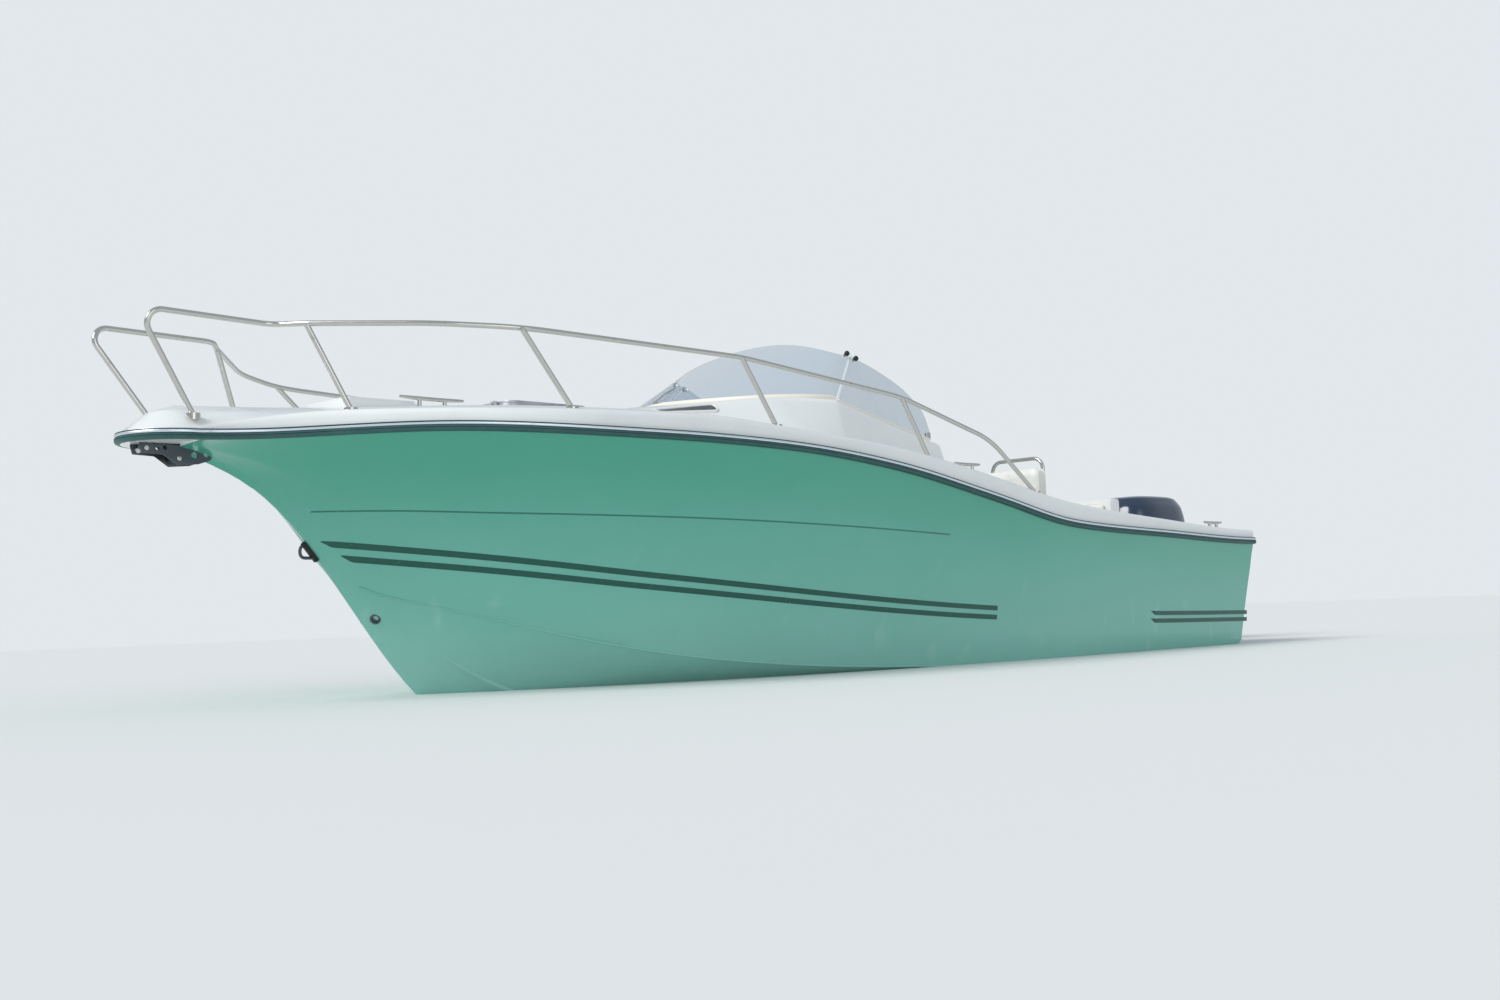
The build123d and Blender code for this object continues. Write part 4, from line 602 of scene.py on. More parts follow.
class Form:
    """A mesh under construction, in metres in the boat's own frame."""

    def __init__(self) -> None:
        """Start an empty form."""
        self.bm = bmesh.new()

    def skin(
        self, rows: Sequence[Sequence[Vector]], loop: bool = False, ring: bool = False, caps: bool = False,
        slot: Callable[[int, int], int] = lambda row, column: 0,
    ) -> "Form":
        """Add a skin over rows of points.

        Args:
            rows: Rows with the same number of points.
            loop: Whether each row closes on itself.
            ring: Whether the last row joins the first.
            caps: Whether the first and last rows are closed by a face.
            slot: Material number of a face, by its row and column.

        Returns:
            The form.
        """
        verts = [[self.bm.verts.new(point) for point in row] for row in rows]
        pairs = list(zip(verts, verts[1:])) + ([(verts[-1], verts[0])] if ring else [])
        for row, (low, high) in enumerate(pairs):
            for column in range(len(low) if loop else len(low) - 1):
                after = (column + 1) % len(low)
                face = self.bm.faces.new([low[column], low[after], high[after], high[column]])
                face.material_index = slot(row, column)
        if caps:
            self.bm.faces.new(list(reversed(verts[0])))
            self.bm.faces.new(verts[-1])
        return self

    def solid(self, rows: Sequence[Sequence[Vector]]) -> "Form":
        """Add a closed solid through rows of points that each go once round it."""
        return self.skin(rows, loop=True, caps=True)

    def sweep(self, path: Sequence[Vector], profile: Sequence[Pair], up: Vector = UP) -> "Form":
        """Sweep a closed profile along an open path.

        Args:
            path: Points of the path.
            profile: Sideways and upward offsets of the profile's points.
            up: Direction that the profile's second offset leans towards.

        Returns:
            The form.
        """
        rows = []
        for point, run in zip(path, directions(path, closed=False)):
            side = run.cross(up)
            if side.length < TINY:
                side = run.cross(AHEAD)
            side.normalize()
            over = side.cross(run)
            rows.append([point + side * u + over * v for u, v in profile])
        return self.solid(rows)

    def tube(
        self, path: Sequence[Vector], radius: float, sides: int = 14, closed: bool = False,
        sizes: Optional[Sequence[float]] = None,
    ) -> "Form":
        """Add a round tube that keeps its twist along a path."""
        runs = directions(path, closed)
        side = runs[0].orthogonal().normalized()
        rows = []
        for i, (point, run) in enumerate(zip(path, runs)):
            if i:
                side = (runs[i - 1].rotation_difference(run)) @ side
            over = run.cross(side).normalized()
            size = sizes[i] if sizes else 1.0
            rows.append([point + side * (u * size) + over * (v * size) for u, v in circle(radius, sides)])
        return self.skin(rows, loop=True, ring=closed, caps=not closed)

    def lathe(self, base: Vector, axis: Vector, profile: Sequence[Pair], sides: int = 28) -> "Form":
        """Turn a profile about an axis.

        Args:
            base: Point on the axis.
            axis: The axis.
            profile: Distances along the axis and radii.
            sides: Sides of the turned form.

        Returns:
            The form.
        """
        axis = axis.normalized()
        side = axis.orthogonal().normalized()
        over = axis.cross(side)
        rows = []
        for reach, radius in profile:
            centre = base + axis * reach
            rows.append([centre + side * u + over * v for u, v in circle(max(radius, TINY), sides)])
        return self.solid(rows)

    def block(
        self, low: Sequence[float], high: Sequence[float], edge: float = 0.004, segments: int = 3
    ) -> "Form":
        """Add a block with rounded edges between two corners."""
        size = [b - a for a, b in zip(low, high)]
        centre = [(a + b) / 2 for a, b in zip(low, high)]
        made = bmesh.ops.create_cube(self.bm, size=1.0)["verts"]
        for vert in made:
            vert.co = Vector(c + v * s for c, v, s in zip(centre, vert.co, size))
        edges = list(dict.fromkeys(edge for vert in made for edge in vert.link_edges))
        return self.rounded_at(edges, min(edge, min(size) * NEARLY_HALF), segments)

    def rounded_at(self, edges: Sequence[bmesh.types.BMEdge], radius: float, segments: int) -> "Form":
        """Round edges of the form."""
        bmesh.ops.bevel(self.bm, geom=edges, offset=radius, segments=segments, affect="EDGES", profile=0.5)
        return self

    def slab(self, outline: Sequence[Vector], depth: Vector, edge: float = 0.0, segments: int = 2) -> "Form":
        """Add a plate: a flat outline pushed along a depth, with rounded rims.

        Args:
            outline: Closed flat outline.
            depth: Push.
            edge: Radius of the rims.
            segments: Parts of the rounding.

        Returns:
            The form.
        """
        low = [self.bm.verts.new(point) for point in outline]
        high = [self.bm.verts.new(point + depth) for point in outline]
        faces = [self.bm.faces.new(list(reversed(low))), self.bm.faces.new(high)]
        for i in range(len(low)):
            n = (i + 1) % len(low)
            self.bm.faces.new([low[i], low[n], high[n], high[i]])
        if edge:
            rims = list(dict.fromkeys(edge for face in faces for edge in face.edges))
            self.rounded_at(rims, edge, segments)
        return self

    def everything(self) -> List[Any]:
        """All vertices, edges and faces."""
        return self.bm.verts[:] + self.bm.edges[:] + self.bm.faces[:]

    def moved(self, change: Matrix) -> "Form":
        """Transform everything that the form holds so far."""
        self.bm.transform(change)
        return self

    def mirrored(self) -> "Form":
        """Add the form's own mirror image across the centreline."""
        copy = bmesh.ops.duplicate(self.bm, geom=self.everything())["geom"]
        for vert in (item for item in copy if isinstance(item, bmesh.types.BMVert)):
            vert.co.y = -vert.co.y
        bmesh.ops.reverse_faces(self.bm, faces=[item for item in copy if isinstance(item, bmesh.types.BMFace)])
        return self

    def loose(self, name: str = "cutter") -> bpy.types.Object:
        """End the form as an object that isn't declared yet."""
        bmesh.ops.recalc_face_normals(self.bm, faces=self.bm.faces[:])
        mesh = bpy.data.meshes.new(name)
        self.bm.to_mesh(mesh)
        self.bm.free()
        item = bpy.data.objects.new(name, mesh)
        bpy.context.scene.collection.objects.link(item)
        return item

    def piece(
        self, name: str, body: Body, *finishes: Finish, replaces: Sequence[str] = (), crease: float = 35.0
    ) -> bpy.types.Object:
        """End the form as a piece of the boat.

        Args:
            name: The piece's name.
            body: The body that it moves with.
            finishes: Its finishes, in the order of the faces' material numbers.
            replaces: CAD nodes that it stands for.
            crease: Angle in degrees above which an edge stays sharp.

        Returns:
            The object.
        """
        return declare(self.loose(name), body, *finishes, replaces=replaces, crease=crease)


def dress(item: bpy.types.Object, finishes: Sequence[Finish], crease: float) -> None:
    """Give an object its finishes and smooth shading, sharp above an angle in degrees."""
    item.data.materials.clear()
    for finish in finishes:
        item.data.materials.append(finish.material())
    item.data.shade_smooth()
    item.data.set_sharp_from_angle(angle=math.radians(crease))


def declare(
    item: bpy.types.Object, body: Body, *finishes: Finish, replaces: Sequence[str] = (), crease: float = 35.0
) -> bpy.types.Object:
    """Dress an object, parent it to its body's empty and hide the CAD nodes that it replaces.

    Args:
        item: The object.
        body: The body that it moves with.
        finishes: Its finishes.
        replaces: CAD nodes that it stands for.
        crease: Angle in degrees above which an edge stays sharp.

    Returns:
        The object.
    """
    dress(item, finishes, crease)
    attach(item, body.value)
    if replaces:
        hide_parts(*replaces)
    LOG.info("%s: %d faces on %s", item.name, len(item.data.polygons), body.value)
    return item


def applied(item: bpy.types.Object) -> bpy.types.Object:
    """Replace an object's mesh by what its modifiers make of it."""
    graph = bpy.context.evaluated_depsgraph_get()
    mesh = bpy.data.meshes.new_from_object(item.evaluated_get(graph))
    item.modifiers.clear()
    item.data = mesh
    return item


def carve(item: bpy.types.Object, cutters: Sequence[bpy.types.Object], operation: str = "DIFFERENCE") -> None:
    """Cut, join or intersect an object with others, which are used up."""
    for cutter in cutters:
        change = item.modifiers.new("carve", "BOOLEAN")
        change.operation, change.object, change.solver = operation, cutter, "EXACT"
        applied(item)
        bpy.data.objects.remove(cutter)


def softened(node: str, body: Body, finish: Finish, edge: float) -> bpy.types.Object:
    """Piece that stands for a CAD node, with the same faces and its sharp edges rounded.

    Args:
        node: The node.
        body: Its body.
        finish: Its finish.
        edge: Radius of the edges.

    Returns:
        The object.
    """
    form = Form()
    form.bm.from_mesh(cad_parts[node].data)
    bmesh.ops.remove_doubles(form.bm, verts=form.bm.verts[:], dist=TINY)
    flat = math.radians(FLAT_ANGLE)
    bmesh.ops.dissolve_limit(form.bm, angle_limit=flat, verts=form.bm.verts[:], edges=form.bm.edges[:])
    item = form.loose(node + "_soft")
    bevel = item.modifiers.new("round", "BEVEL")
    bevel.width, bevel.segments, bevel.limit_method = edge, 3, "ANGLE"
    bevel.angle_limit = math.radians(SHARP_ANGLE)
    bevel.harden_normals = False
    return declare(applied(item), body, finish, replaces=(node,))


TRANSOM_X = -3.0
TRANSOM_RAKE = math.radians(12)


def along(s: float) -> float:
    """X of a place s ahead of the transom's top."""
    return TRANSOM_X + s


def at(s: float, y: float, z: float) -> Vector:
    """Point given by its distance ahead of the transom's top."""
    return Vector((along(s), y, z))


class Station(NamedTuple):
    """Breadths and heights of the hull and deck at a place along the boat."""

    s: float
    keel_z: float
    chine_y: float
    chine_z: float
    crease_y: float
    crease_z: float
    knuckle_y: float
    knuckle_z: float
    sheer_z: float
    edge_y: float
    edge_z: float
    mid_z: float


STATIONS = [
    Station(-0.06, -0.45, 1.16, -0.03, 1.19, 0.03, 1.232, 0.53, 0.684, 1.27, 0.785, 0.8),
    Station(0.0, -0.45, 1.16, -0.03, 1.19, 0.03, 1.232, 0.53, 0.684, 1.27, 0.785, 0.8),
    Station(1.2, -0.45, 1.165, -0.03, 1.195, 0.05, 1.245, 0.57, 0.723, 1.29, 0.845, 0.86),
    Station(2.25, -0.45, 1.15, -0.025, 1.18, 0.08, 1.25, 0.62, 0.771, 1.3, 0.925, 0.96),
    Station(3.0, -0.45, 1.11, -0.01, 1.145, 0.11, 1.24, 0.67, 0.905, 1.3, 1.053, 1.16),
    Station(3.9, -0.45, 1.005, 0.025, 1.05, 0.155, 1.205, 0.715, 1.056, 1.3, 1.185, 1.31),
    Station(4.6, -0.445, 0.89, 0.08, 0.945, 0.215, 1.13, 0.755, 1.121, 1.285, 1.235, 1.37),
    Station(5.2, -0.405, 0.745, 0.165, 0.81, 0.3, 1.01, 0.785, 1.144, 1.24, 1.278, 1.395),
    Station(5.7, -0.255, 0.545, 0.285, 0.62, 0.385, 0.855, 0.8, 1.155, 1.15, 1.278, 1.395),
    Station(6.1, 0.04, 0.29, 0.415, 0.36, 0.48, 0.62, 0.815, 1.168, 1.02, 1.277, 1.388),
    Station(6.45, 0.5, 0.04, 0.522, 0.075, 0.58, 0.345, 0.85, 1.178, 0.8, 1.281, 1.372),
    Station(6.8, 0.925, 0.014, 0.945, 0.035, 0.97, 0.185, 1.04, 1.17, 0.47, 1.286, 1.348),
    Station(7.05, 1.068, 0.013, 1.078, 0.032, 1.088, 0.143, 1.108, 1.16, 0.29, 1.27, 1.338),
    Station(7.25, 1.128, 0.012, 1.136, 0.03, 1.143, 0.11, 1.149, 1.155, 0.25, 1.262, 1.33),
]
SIDE_HOLLOW = 0.016
FULL_FLARE = 0.2
RUB_DEPTH = 0.024
RUB_HEIGHT = 0.046
NOSE_S = 7.25
NOSE_LEAN_S = 6.7
NOSE_SLOPE = 0.11
NOSE_CROWN = 0.036
SHOULDER_IN = 0.27
SHOULDER_SHARE = 0.4
CROWN_SHARE = 0.4


class Lines:
    """The boat's fair lines: every column of the stations as a smooth curve."""

    def __init__(self, rows: Sequence[Any], spacing: float = 0.05, passes: int = 10) -> None:
        """Fair the columns of a section table.

        Args:
            rows: The sections, from aft to forward.
            spacing: Distance between the faired places.
            passes: Times that neighbours are averaged.
        """
        self.kind = type(rows[0])
        places = [row.s for row in rows]
        count = max(int(round((places[-1] - places[0]) / spacing)), 2)
        self.grid = [mix(places[0], places[-1], i / count) for i in range(count + 1)]
        self.columns = []
        for name in self.kind._fields[1:]:
            curve = Curve(places, [getattr(row, name) for row in rows])
            values = [curve(place) for place in self.grid]
            for _ in range(passes):
                inner = [(a + 2 * b + c) / 4 for a, b, c in zip(values, values[1:], values[2:])]
                values = [values[0], *inner, values[-1]]
            self.columns.append(values)

    def at(self, s: float) -> Any:
        """The section at a place."""
        step = self.grid[1] - self.grid[0]
        place = min(max((s - self.grid[0]) / step, 0.0), len(self.grid) - 1.000001)
        index = int(place)
        share = place - index
        return self.kind(s, *[mix(column[index], column[index + 1], share) for column in self.columns])


HULL_LINES = Lines(STATIONS)


def side_y(station: Station) -> float:
    """Half breadth of the side face inside the rub rail."""
    return station.edge_y - RUB_DEPTH


def hull_side(station: Station) -> List[Pair]:
    """Half section of the hull from the keel to the sheer, as (y, z)."""
    keel, chine = (0.0, station.keel_z), (station.chine_y, station.chine_z)
    crease, knuckle = (station.crease_y, station.crease_z), (station.knuckle_y, station.knuckle_z)
    sheer = (side_y(station), station.sheer_z)
    hollow = SIDE_HOLLOW * min(1.0, max(0.0, (knuckle[0] - crease[0]) / FULL_FLARE))
    points = [keel]
    spans = (
        (keel, chine, 8, 0.0), (chine, crease, 2, 0.0),
        (crease, knuckle, 8, hollow), (knuckle, sheer, 6, hollow / 2),
    )
    for low, high, parts, bend in spans:
        for i in range(1, parts + 1):
            share = i / parts
            inward = bend * math.sin(math.pi * share)
            points.append((mix(low[0], high[0], share) - inward, mix(low[1], high[1], share)))
    return points


def hull_y(s: float, z: float) -> float:
    """Half breadth of the hull's side at a place and height."""
    points = hull_side(HULL_LINES.at(s))
    for (y_low, z_low), (y_high, z_high) in zip(points, points[1:]):
        if z_low <= z <= z_high:
            return mix(y_low, y_high, (z - z_low) / max(z_high - z_low, 1e-9))
    return points[-1][0]


def deck_side(station: Station) -> List[Pair]:
    """Half section of the deck from the sheer to the centreline."""
    side = side_y(station)
    shoulder = max(side - SHOULDER_IN, SHOULDER_SHARE * side)
    crown = mix(station.edge_z, station.mid_z, CROWN_SHARE)
    lean = min(max((station.s - NOSE_LEAN_S) / (NOSE_S - NOSE_LEAN_S), 0.0), 1.0) ** 2
    brow = mix(station.edge_z, station.sheer_z + RUB_HEIGHT + 0.006, lean)
    turn = (mix(shoulder, side - NOSE_SLOPE, lean), mix(crown, station.mid_z - NOSE_CROWN, lean))
    corners = [(side, station.sheer_z), (side, brow), turn, (0.0, station.mid_z)]
    line = rounded(corners, [mix(0.034, 0.012, lean), mix(0.6, 0.1, lean)], 6)
    return [(point.x, point.y) for point in line]


class Trunk(NamedTuple):
    """Section of the raised cabin trunk."""

    s: float
    foot_y: float
    shoulder_y: float
    shoulder_z: float
    mid_z: float


TRUNK = [
    Trunk(2.97, 0.9, 0.85, 1.285, 1.3),
    Trunk(3.4, 0.9, 0.85, 1.378, 1.395),
    Trunk(3.86, 0.9, 0.85, 1.488, 1.51),
    Trunk(4.15, 0.88, 0.77, 1.486, 1.518),
    Trunk(4.5, 0.82, 0.64, 1.46, 1.502),
    Trunk(4.9, 0.73, 0.47, 1.412, 1.442),
    Trunk(5.3, 0.56, 0.3, 1.38, 1.397),
    Trunk(5.55, 0.4, 0.16, 1.35, 1.37),
]
TRUNK_CORNER = 3.86
TRUNK_SUNK = 0.02
TRUNK_AFT = Lines(TRUNK[:3], passes=4)
TRUNK_FORE = Lines(TRUNK[2:], passes=4)


def trunk_at(s: float) -> Trunk:
    """The trunk's section at a place, with a hard corner under the windscreen."""
    return (TRUNK_AFT if s < TRUNK_CORNER else TRUNK_FORE).at(s)


def trunk_side(trunk: Trunk) -> List[Pair]:
    """Half section of the trunk from inside the deck to the centreline."""
    base = HULL_LINES.at(trunk.s)
    foot = mix(trunk.foot_y, trunk.shoulder_y, -0.35)
    low, high = base.sheer_z + TRUNK_SUNK, height_in(deck_side(base), foot) - TRUNK_SUNK
    corners = [(foot, low), (foot, high), (trunk.shoulder_y, trunk.shoulder_z), (0.0, trunk.mid_z)]
    return [(point.x, point.y) for point in rounded(corners, [0.001, 0.045], 5)]


def height_in(half: Sequence[Pair], y: float) -> float:
    """Height of a half section's top at a breadth."""
    best = half[-1][1]
    for (y_out, z_out), (y_in, z_in) in zip(half, half[1:]):
        if y_in <= abs(y) <= y_out and y_out > y_in:
            best = mix(z_in, z_out, (abs(y) - y_in) / (y_out - y_in))
    return best


def deck_z(s: float, y: float) -> float:
    """Height of the deck or the trunk at a place in plan."""
    top = height_in(deck_side(HULL_LINES.at(s)), y)
    if TRUNK[0].s <= s <= TRUNK[-1].s:
        trunk = trunk_at(s)
        if abs(y) <= trunk.foot_y:
            top = max(top, height_in(trunk_side(trunk), y))
    return top


def transom_s(z: float) -> float:
    """Place of the raked transom's face at a height."""
    return (STATIONS[1].sheer_z - z) * math.tan(TRANSOM_RAKE)


def places(low: float, high: float, spacing: float) -> List[float]:
    """Evenly spaced places from low to high."""
    count = max(int(math.ceil((high - low) / spacing)), 1)
    return [mix(low, high, i / count) for i in range(count + 1)]


def both(half: Sequence[Pair], s: float) -> List[Vector]:
    """Closed outline across the boat from a half outline that ends or starts on the centreline."""
    port = [at(s, y, z) for y, z in half]
    starboard = [at(s, -y, z) for y, z in reversed(half) if y > 1e-9]
    return port + starboard


def box_form(aft: float, fore: float, half: float, low: float, high: float) -> bpy.types.Object:
    """Block used only to cut others, from aft to fore, half a breadth to each side and from low to high."""
    corners = [(aft, -half), (fore, -half), (fore, half), (aft, half)]
    return Form().solid([[at(s, y, z) for s, y in corners] for z in (low, high)]).loose()


def transom_trim(form: Form) -> Form:
    """Cut a form along the raked transom's plane and close it there."""
    result = bmesh.ops.bisect_plane(
        form.bm, geom=form.everything(),
        plane_co=at(0, 0, STATIONS[1].sheer_z),
        plane_no=(math.cos(TRANSOM_RAKE), 0, math.sin(TRANSOM_RAKE)), clear_inner=True,
    )
    edges = [item for item in result["geom_cut"] if isinstance(item, bmesh.types.BMEdge)]
    bmesh.ops.edgeloop_fill(form.bm, edges=edges)
    return form


SOLE_Z = 0.15
COCKPIT_AFT_S = 0.78
COCKPIT_HALF = 1.08
COAMING_HALF = 0.98
BULKHEAD_S = 3.3
BULKHEAD_FRONT_S = 3.36
WELL_HALF = 0.51
WELL_FRONT_S = 0.7
WELL_FLOOR_Z = 0.13
TRANSOM_CUT_Z = 0.22
TRANSOM_BOARD = 0.062
LINER_FOOT_Z = 0.044
BILGE_Z = 0.12
FOOTWELL_Z = 0.06
FOOTWELL_FRONT_S = 4.15
FOOTWELL_HALF = 0.42
ABOVE_Z = 2.5
LOCKER_FLOOR_Z = 0.9
BERTH_Z = 0.42
DOOR_HALF = 0.28
DOOR_TOP_Z = 1.21
HATCH_S = 5.38
HATCH_HALF = 0.225
LOCKER_S = 6.15
LOCKER_LENGTH = 0.34
LOCKER_HALF = 0.17
CABIN = [(3.36, 1.06, 1.18), (3.9, 1.0, 1.19), (4.6, 0.92, 1.18), (5.2, 0.78, 1.11), (5.72, 0.5, 0.96)]


def hollows() -> List[bpy.types.Object]:
    """Cutters that the hull and the deck share: doorway, engine well, transom cut and locker."""
    return [
        box_form(BULKHEAD_S - 0.01, BULKHEAD_FRONT_S + 0.01, DOOR_HALF, SOLE_Z, DOOR_TOP_Z),
        box_form(transom_s(TRANSOM_CUT_Z) + TRANSOM_BOARD, WELL_FRONT_S, WELL_HALF, WELL_FLOOR_Z, ABOVE_Z),
        box_form(-0.5, WELL_FRONT_S - 0.001, WELL_HALF, TRANSOM_CUT_Z, ABOVE_Z),
        box_form(LOCKER_S, LOCKER_S + LOCKER_LENGTH, LOCKER_HALF, LOCKER_FLOOR_Z, ABOVE_Z),
    ]


STRIPE_CURVE = Curve((0.0, 1.327, 2.933, 5.229, 6.568), (0.2125, 0.240, 0.310, 0.527, 0.722))
KNUCKLE_CURVE = Curve(
    (3.4, 4.2, 5.104, 5.611, 6.026, 6.381, 6.7), (0.722, 0.762, 0.799, 0.815, 0.832, 0.854, 0.868)
)
HULL_NODES = ("hull_aft", "hull_cabin", "hull_bow")


@dataclass
class Hull:
    """The hull's fair shell, with its strakes, stripes and skin fittings."""

    spacing: float = 0.06
    strake_from: float = 2.25
    strake_to: float = 6.1
    strake_share: float = 0.45
    strake_width: float = 0.046
    strake_drop: float = 0.022
    strake_rise: float = 0.5
    strake_fall: float = 0.35
    stripe_width: float = 0.027
    stripe_step: Pair = (0.047, 0.057)
    stripe_proud: float = 0.0012
    stripe_ends: Pair = (6.585, 6.50)
    bead: float = 0.0055
    bead_ends: Pair = (-0.02, 6.4)
    knuckle_half: float = 0.0035
    knuckle_proud: float = 0.0008
    knuckle_ends: Pair = (3.4, 6.66)
    root: float = 0.004
    liner_gap: float = 0.012
    fitting: Pair = (6.3, 0.371)

    def build(self) -> None:
        """Make the shell and what is on it."""
        self.shell()
        self.strakes()
        self.creases()
        for number, front in enumerate(self.stripe_ends):
            self.stripe(f"stripe_front_{number + 1}", 2.92, front, number)
            self.stripe(f"stripe_aft_{number + 1}", 0.066, 1.326, number)
        self.skin_fitting()

    def shell(self) -> None:
        """Loft the shell, cut it at the transom and hollow it."""
        form = Form()
        rows = []
        for s in places(-0.06, NOSE_S, self.spacing):
            (_, keel), *half = hull_side(HULL_LINES.at(s))
            y, z = half[-1]
            port = [at(s, *point) for point in half]
            top = [at(s, y * share, z) for share in (0.5, 0.0, -0.5)]
            starboard = [at(s, -y, z) for y, z in reversed(half)]
            rows.append([*port, *top, *starboard, at(s, 0.0, keel)])
        form.solid(rows)
        item = transom_trim(form).loose("hull_shell")
        cabin = [both([(berth, BERTH_Z), (top, HULL_LINES.at(s).sheer_z + 0.04)], s) for s, berth, top in CABIN]
        carve(item, [
            *hollows(),
            box_form(COCKPIT_AFT_S, BULKHEAD_S, COCKPIT_HALF, BILGE_Z, ABOVE_Z),
            Form().solid(cabin).loose(),
            box_form(BULKHEAD_FRONT_S, FOOTWELL_FRONT_S, FOOTWELL_HALF, FOOTWELL_Z, BERTH_Z + 0.001),
        ])
        declare(item, Body.BOAT, HULL_GREEN, DECK_WHITE, replaces=HULL_NODES, crease=22.0)
        self.line_inside(item)

    def line_inside(self, item: bpy.types.Object) -> None:
        """Give the faces of the cockpit, the motor well and the cabin the deck's white."""
        for face in item.data.polygons:
            x, y, z = face.center
            s = x - TRANSOM_X
            within = abs(y) < hull_y(s, z) - self.liner_gap and s > transom_s(z) + self.liner_gap
            face.material_index = 1 if within and z > LINER_FOOT_Z else 0

    def strakes(self) -> None:
        """Spray strake under each side of the bow."""
        rows = []
        for s in places(self.strake_from, self.strake_to, 0.08):
            station = HULL_LINES.at(s)
            ends = min((s - self.strake_from) / self.strake_rise, (self.strake_to - s) / self.strake_fall, 1.0)
            drop = self.strake_drop * max(ends, 0.05)
            slope = (station.chine_z - station.keel_z) / station.chine_y
            inner = self.strake_share * station.chine_y - self.strake_width / 2
            outer = inner + self.strake_width
            rows.append([
                at(s, inner, station.keel_z + slope * inner + 0.004),
                at(s, outer - 0.004, station.keel_z + slope * outer - drop),
                at(s, outer, station.keel_z + slope * outer - drop * 0.8),
                at(s, outer + 0.002, station.keel_z + slope * outer + 0.012),
            ])
        Form().solid(rows).mirrored().piece("spray_strakes", Body.BOAT, HULL_GREEN)

    def creases(self) -> None:
        """Bead along each chine, and a fine dark strip of painted shade along the knuckle above it."""
        stations = [HULL_LINES.at(s) for s in places(*self.bead_ends, 0.08)]
        chine = [at(row.s, row.chine_y + 0.002, row.chine_z + 0.002) for row in stations]
        beads = Form().tube(chine, self.bead, 8)
        rows = []
        for s in places(*self.knuckle_ends, 0.06):
            heights = [KNUCKLE_CURVE(s) + self.knuckle_half * share for share in (-1, 0, 1)]
            root = self.on_side(s, KNUCKLE_CURVE(s), -self.root)
            rows.append([self.on_side(s, z, self.knuckle_proud) for z in heights] + [root])
        beads.mirrored().piece("chine_beads", Body.BOAT, HULL_GREEN)
        # The knuckle strip is painted shade along the crease.
        Form().solid(rows).mirrored().piece("knuckle_painted_shade", Body.BOAT, KNUCKLE_SHADE)

    def stripe(self, name: str, low: float, high: float, number: int) -> None:
        """Stripe along each side, with its front end cut on the slant.

        Args:
            name: The piece's name.
            low: Aft end.
            high: Front end.
            number: 0 for the upper stripe, 1 for the lower.
        """
        rows = []
        for s in places(low, high, 0.05):
            row = []
            step = number * mix(*self.stripe_step, min(s / 6.5, 1.0))
            for share in (0.0, 0.5, 1.0):
                slant = 0.05 * (1 - share) * (s - low) / (high - low)
                z = STRIPE_CURVE(s - slant) - step + self.stripe_width * (share - 0.5)
                row.append(self.on_side(s - slant, z, self.stripe_proud))
            rows.append([*row, self.on_side(s, STRIPE_CURVE(s) - step, -self.root)])
        Form().solid(rows).mirrored().piece(name, Body.BOAT, STRIPE)

    @staticmethod
    def on_side(s: float, z: float, proud: float) -> Vector:
        """Point on the port side, a little proud of it."""
        return at(s, hull_y(s, z) + proud, z)

    def skin_fitting(self) -> None:
        """Turned skin fitting low on each side of the bow."""
        base = self.on_side(*self.fitting, 0.0)
        normal = Vector((0.55, 0.80, -0.25)).normalized()
        profile = [(0.0, 0.026), (0.012, 0.026), (0.016, 0.023), (0.017, 0.016), (0.010, 0.013), (0.009, 0.001)]
        form = Form().lathe(base - normal * 0.01, normal, profile)
        form.mirrored().piece("skin_fittings", Body.BOAT, CHEEK_STEEL)


DECK_NODES = ("foredeck", "cabin_top", "side_deck_port", "side_deck_starboard", "stern_coaming")


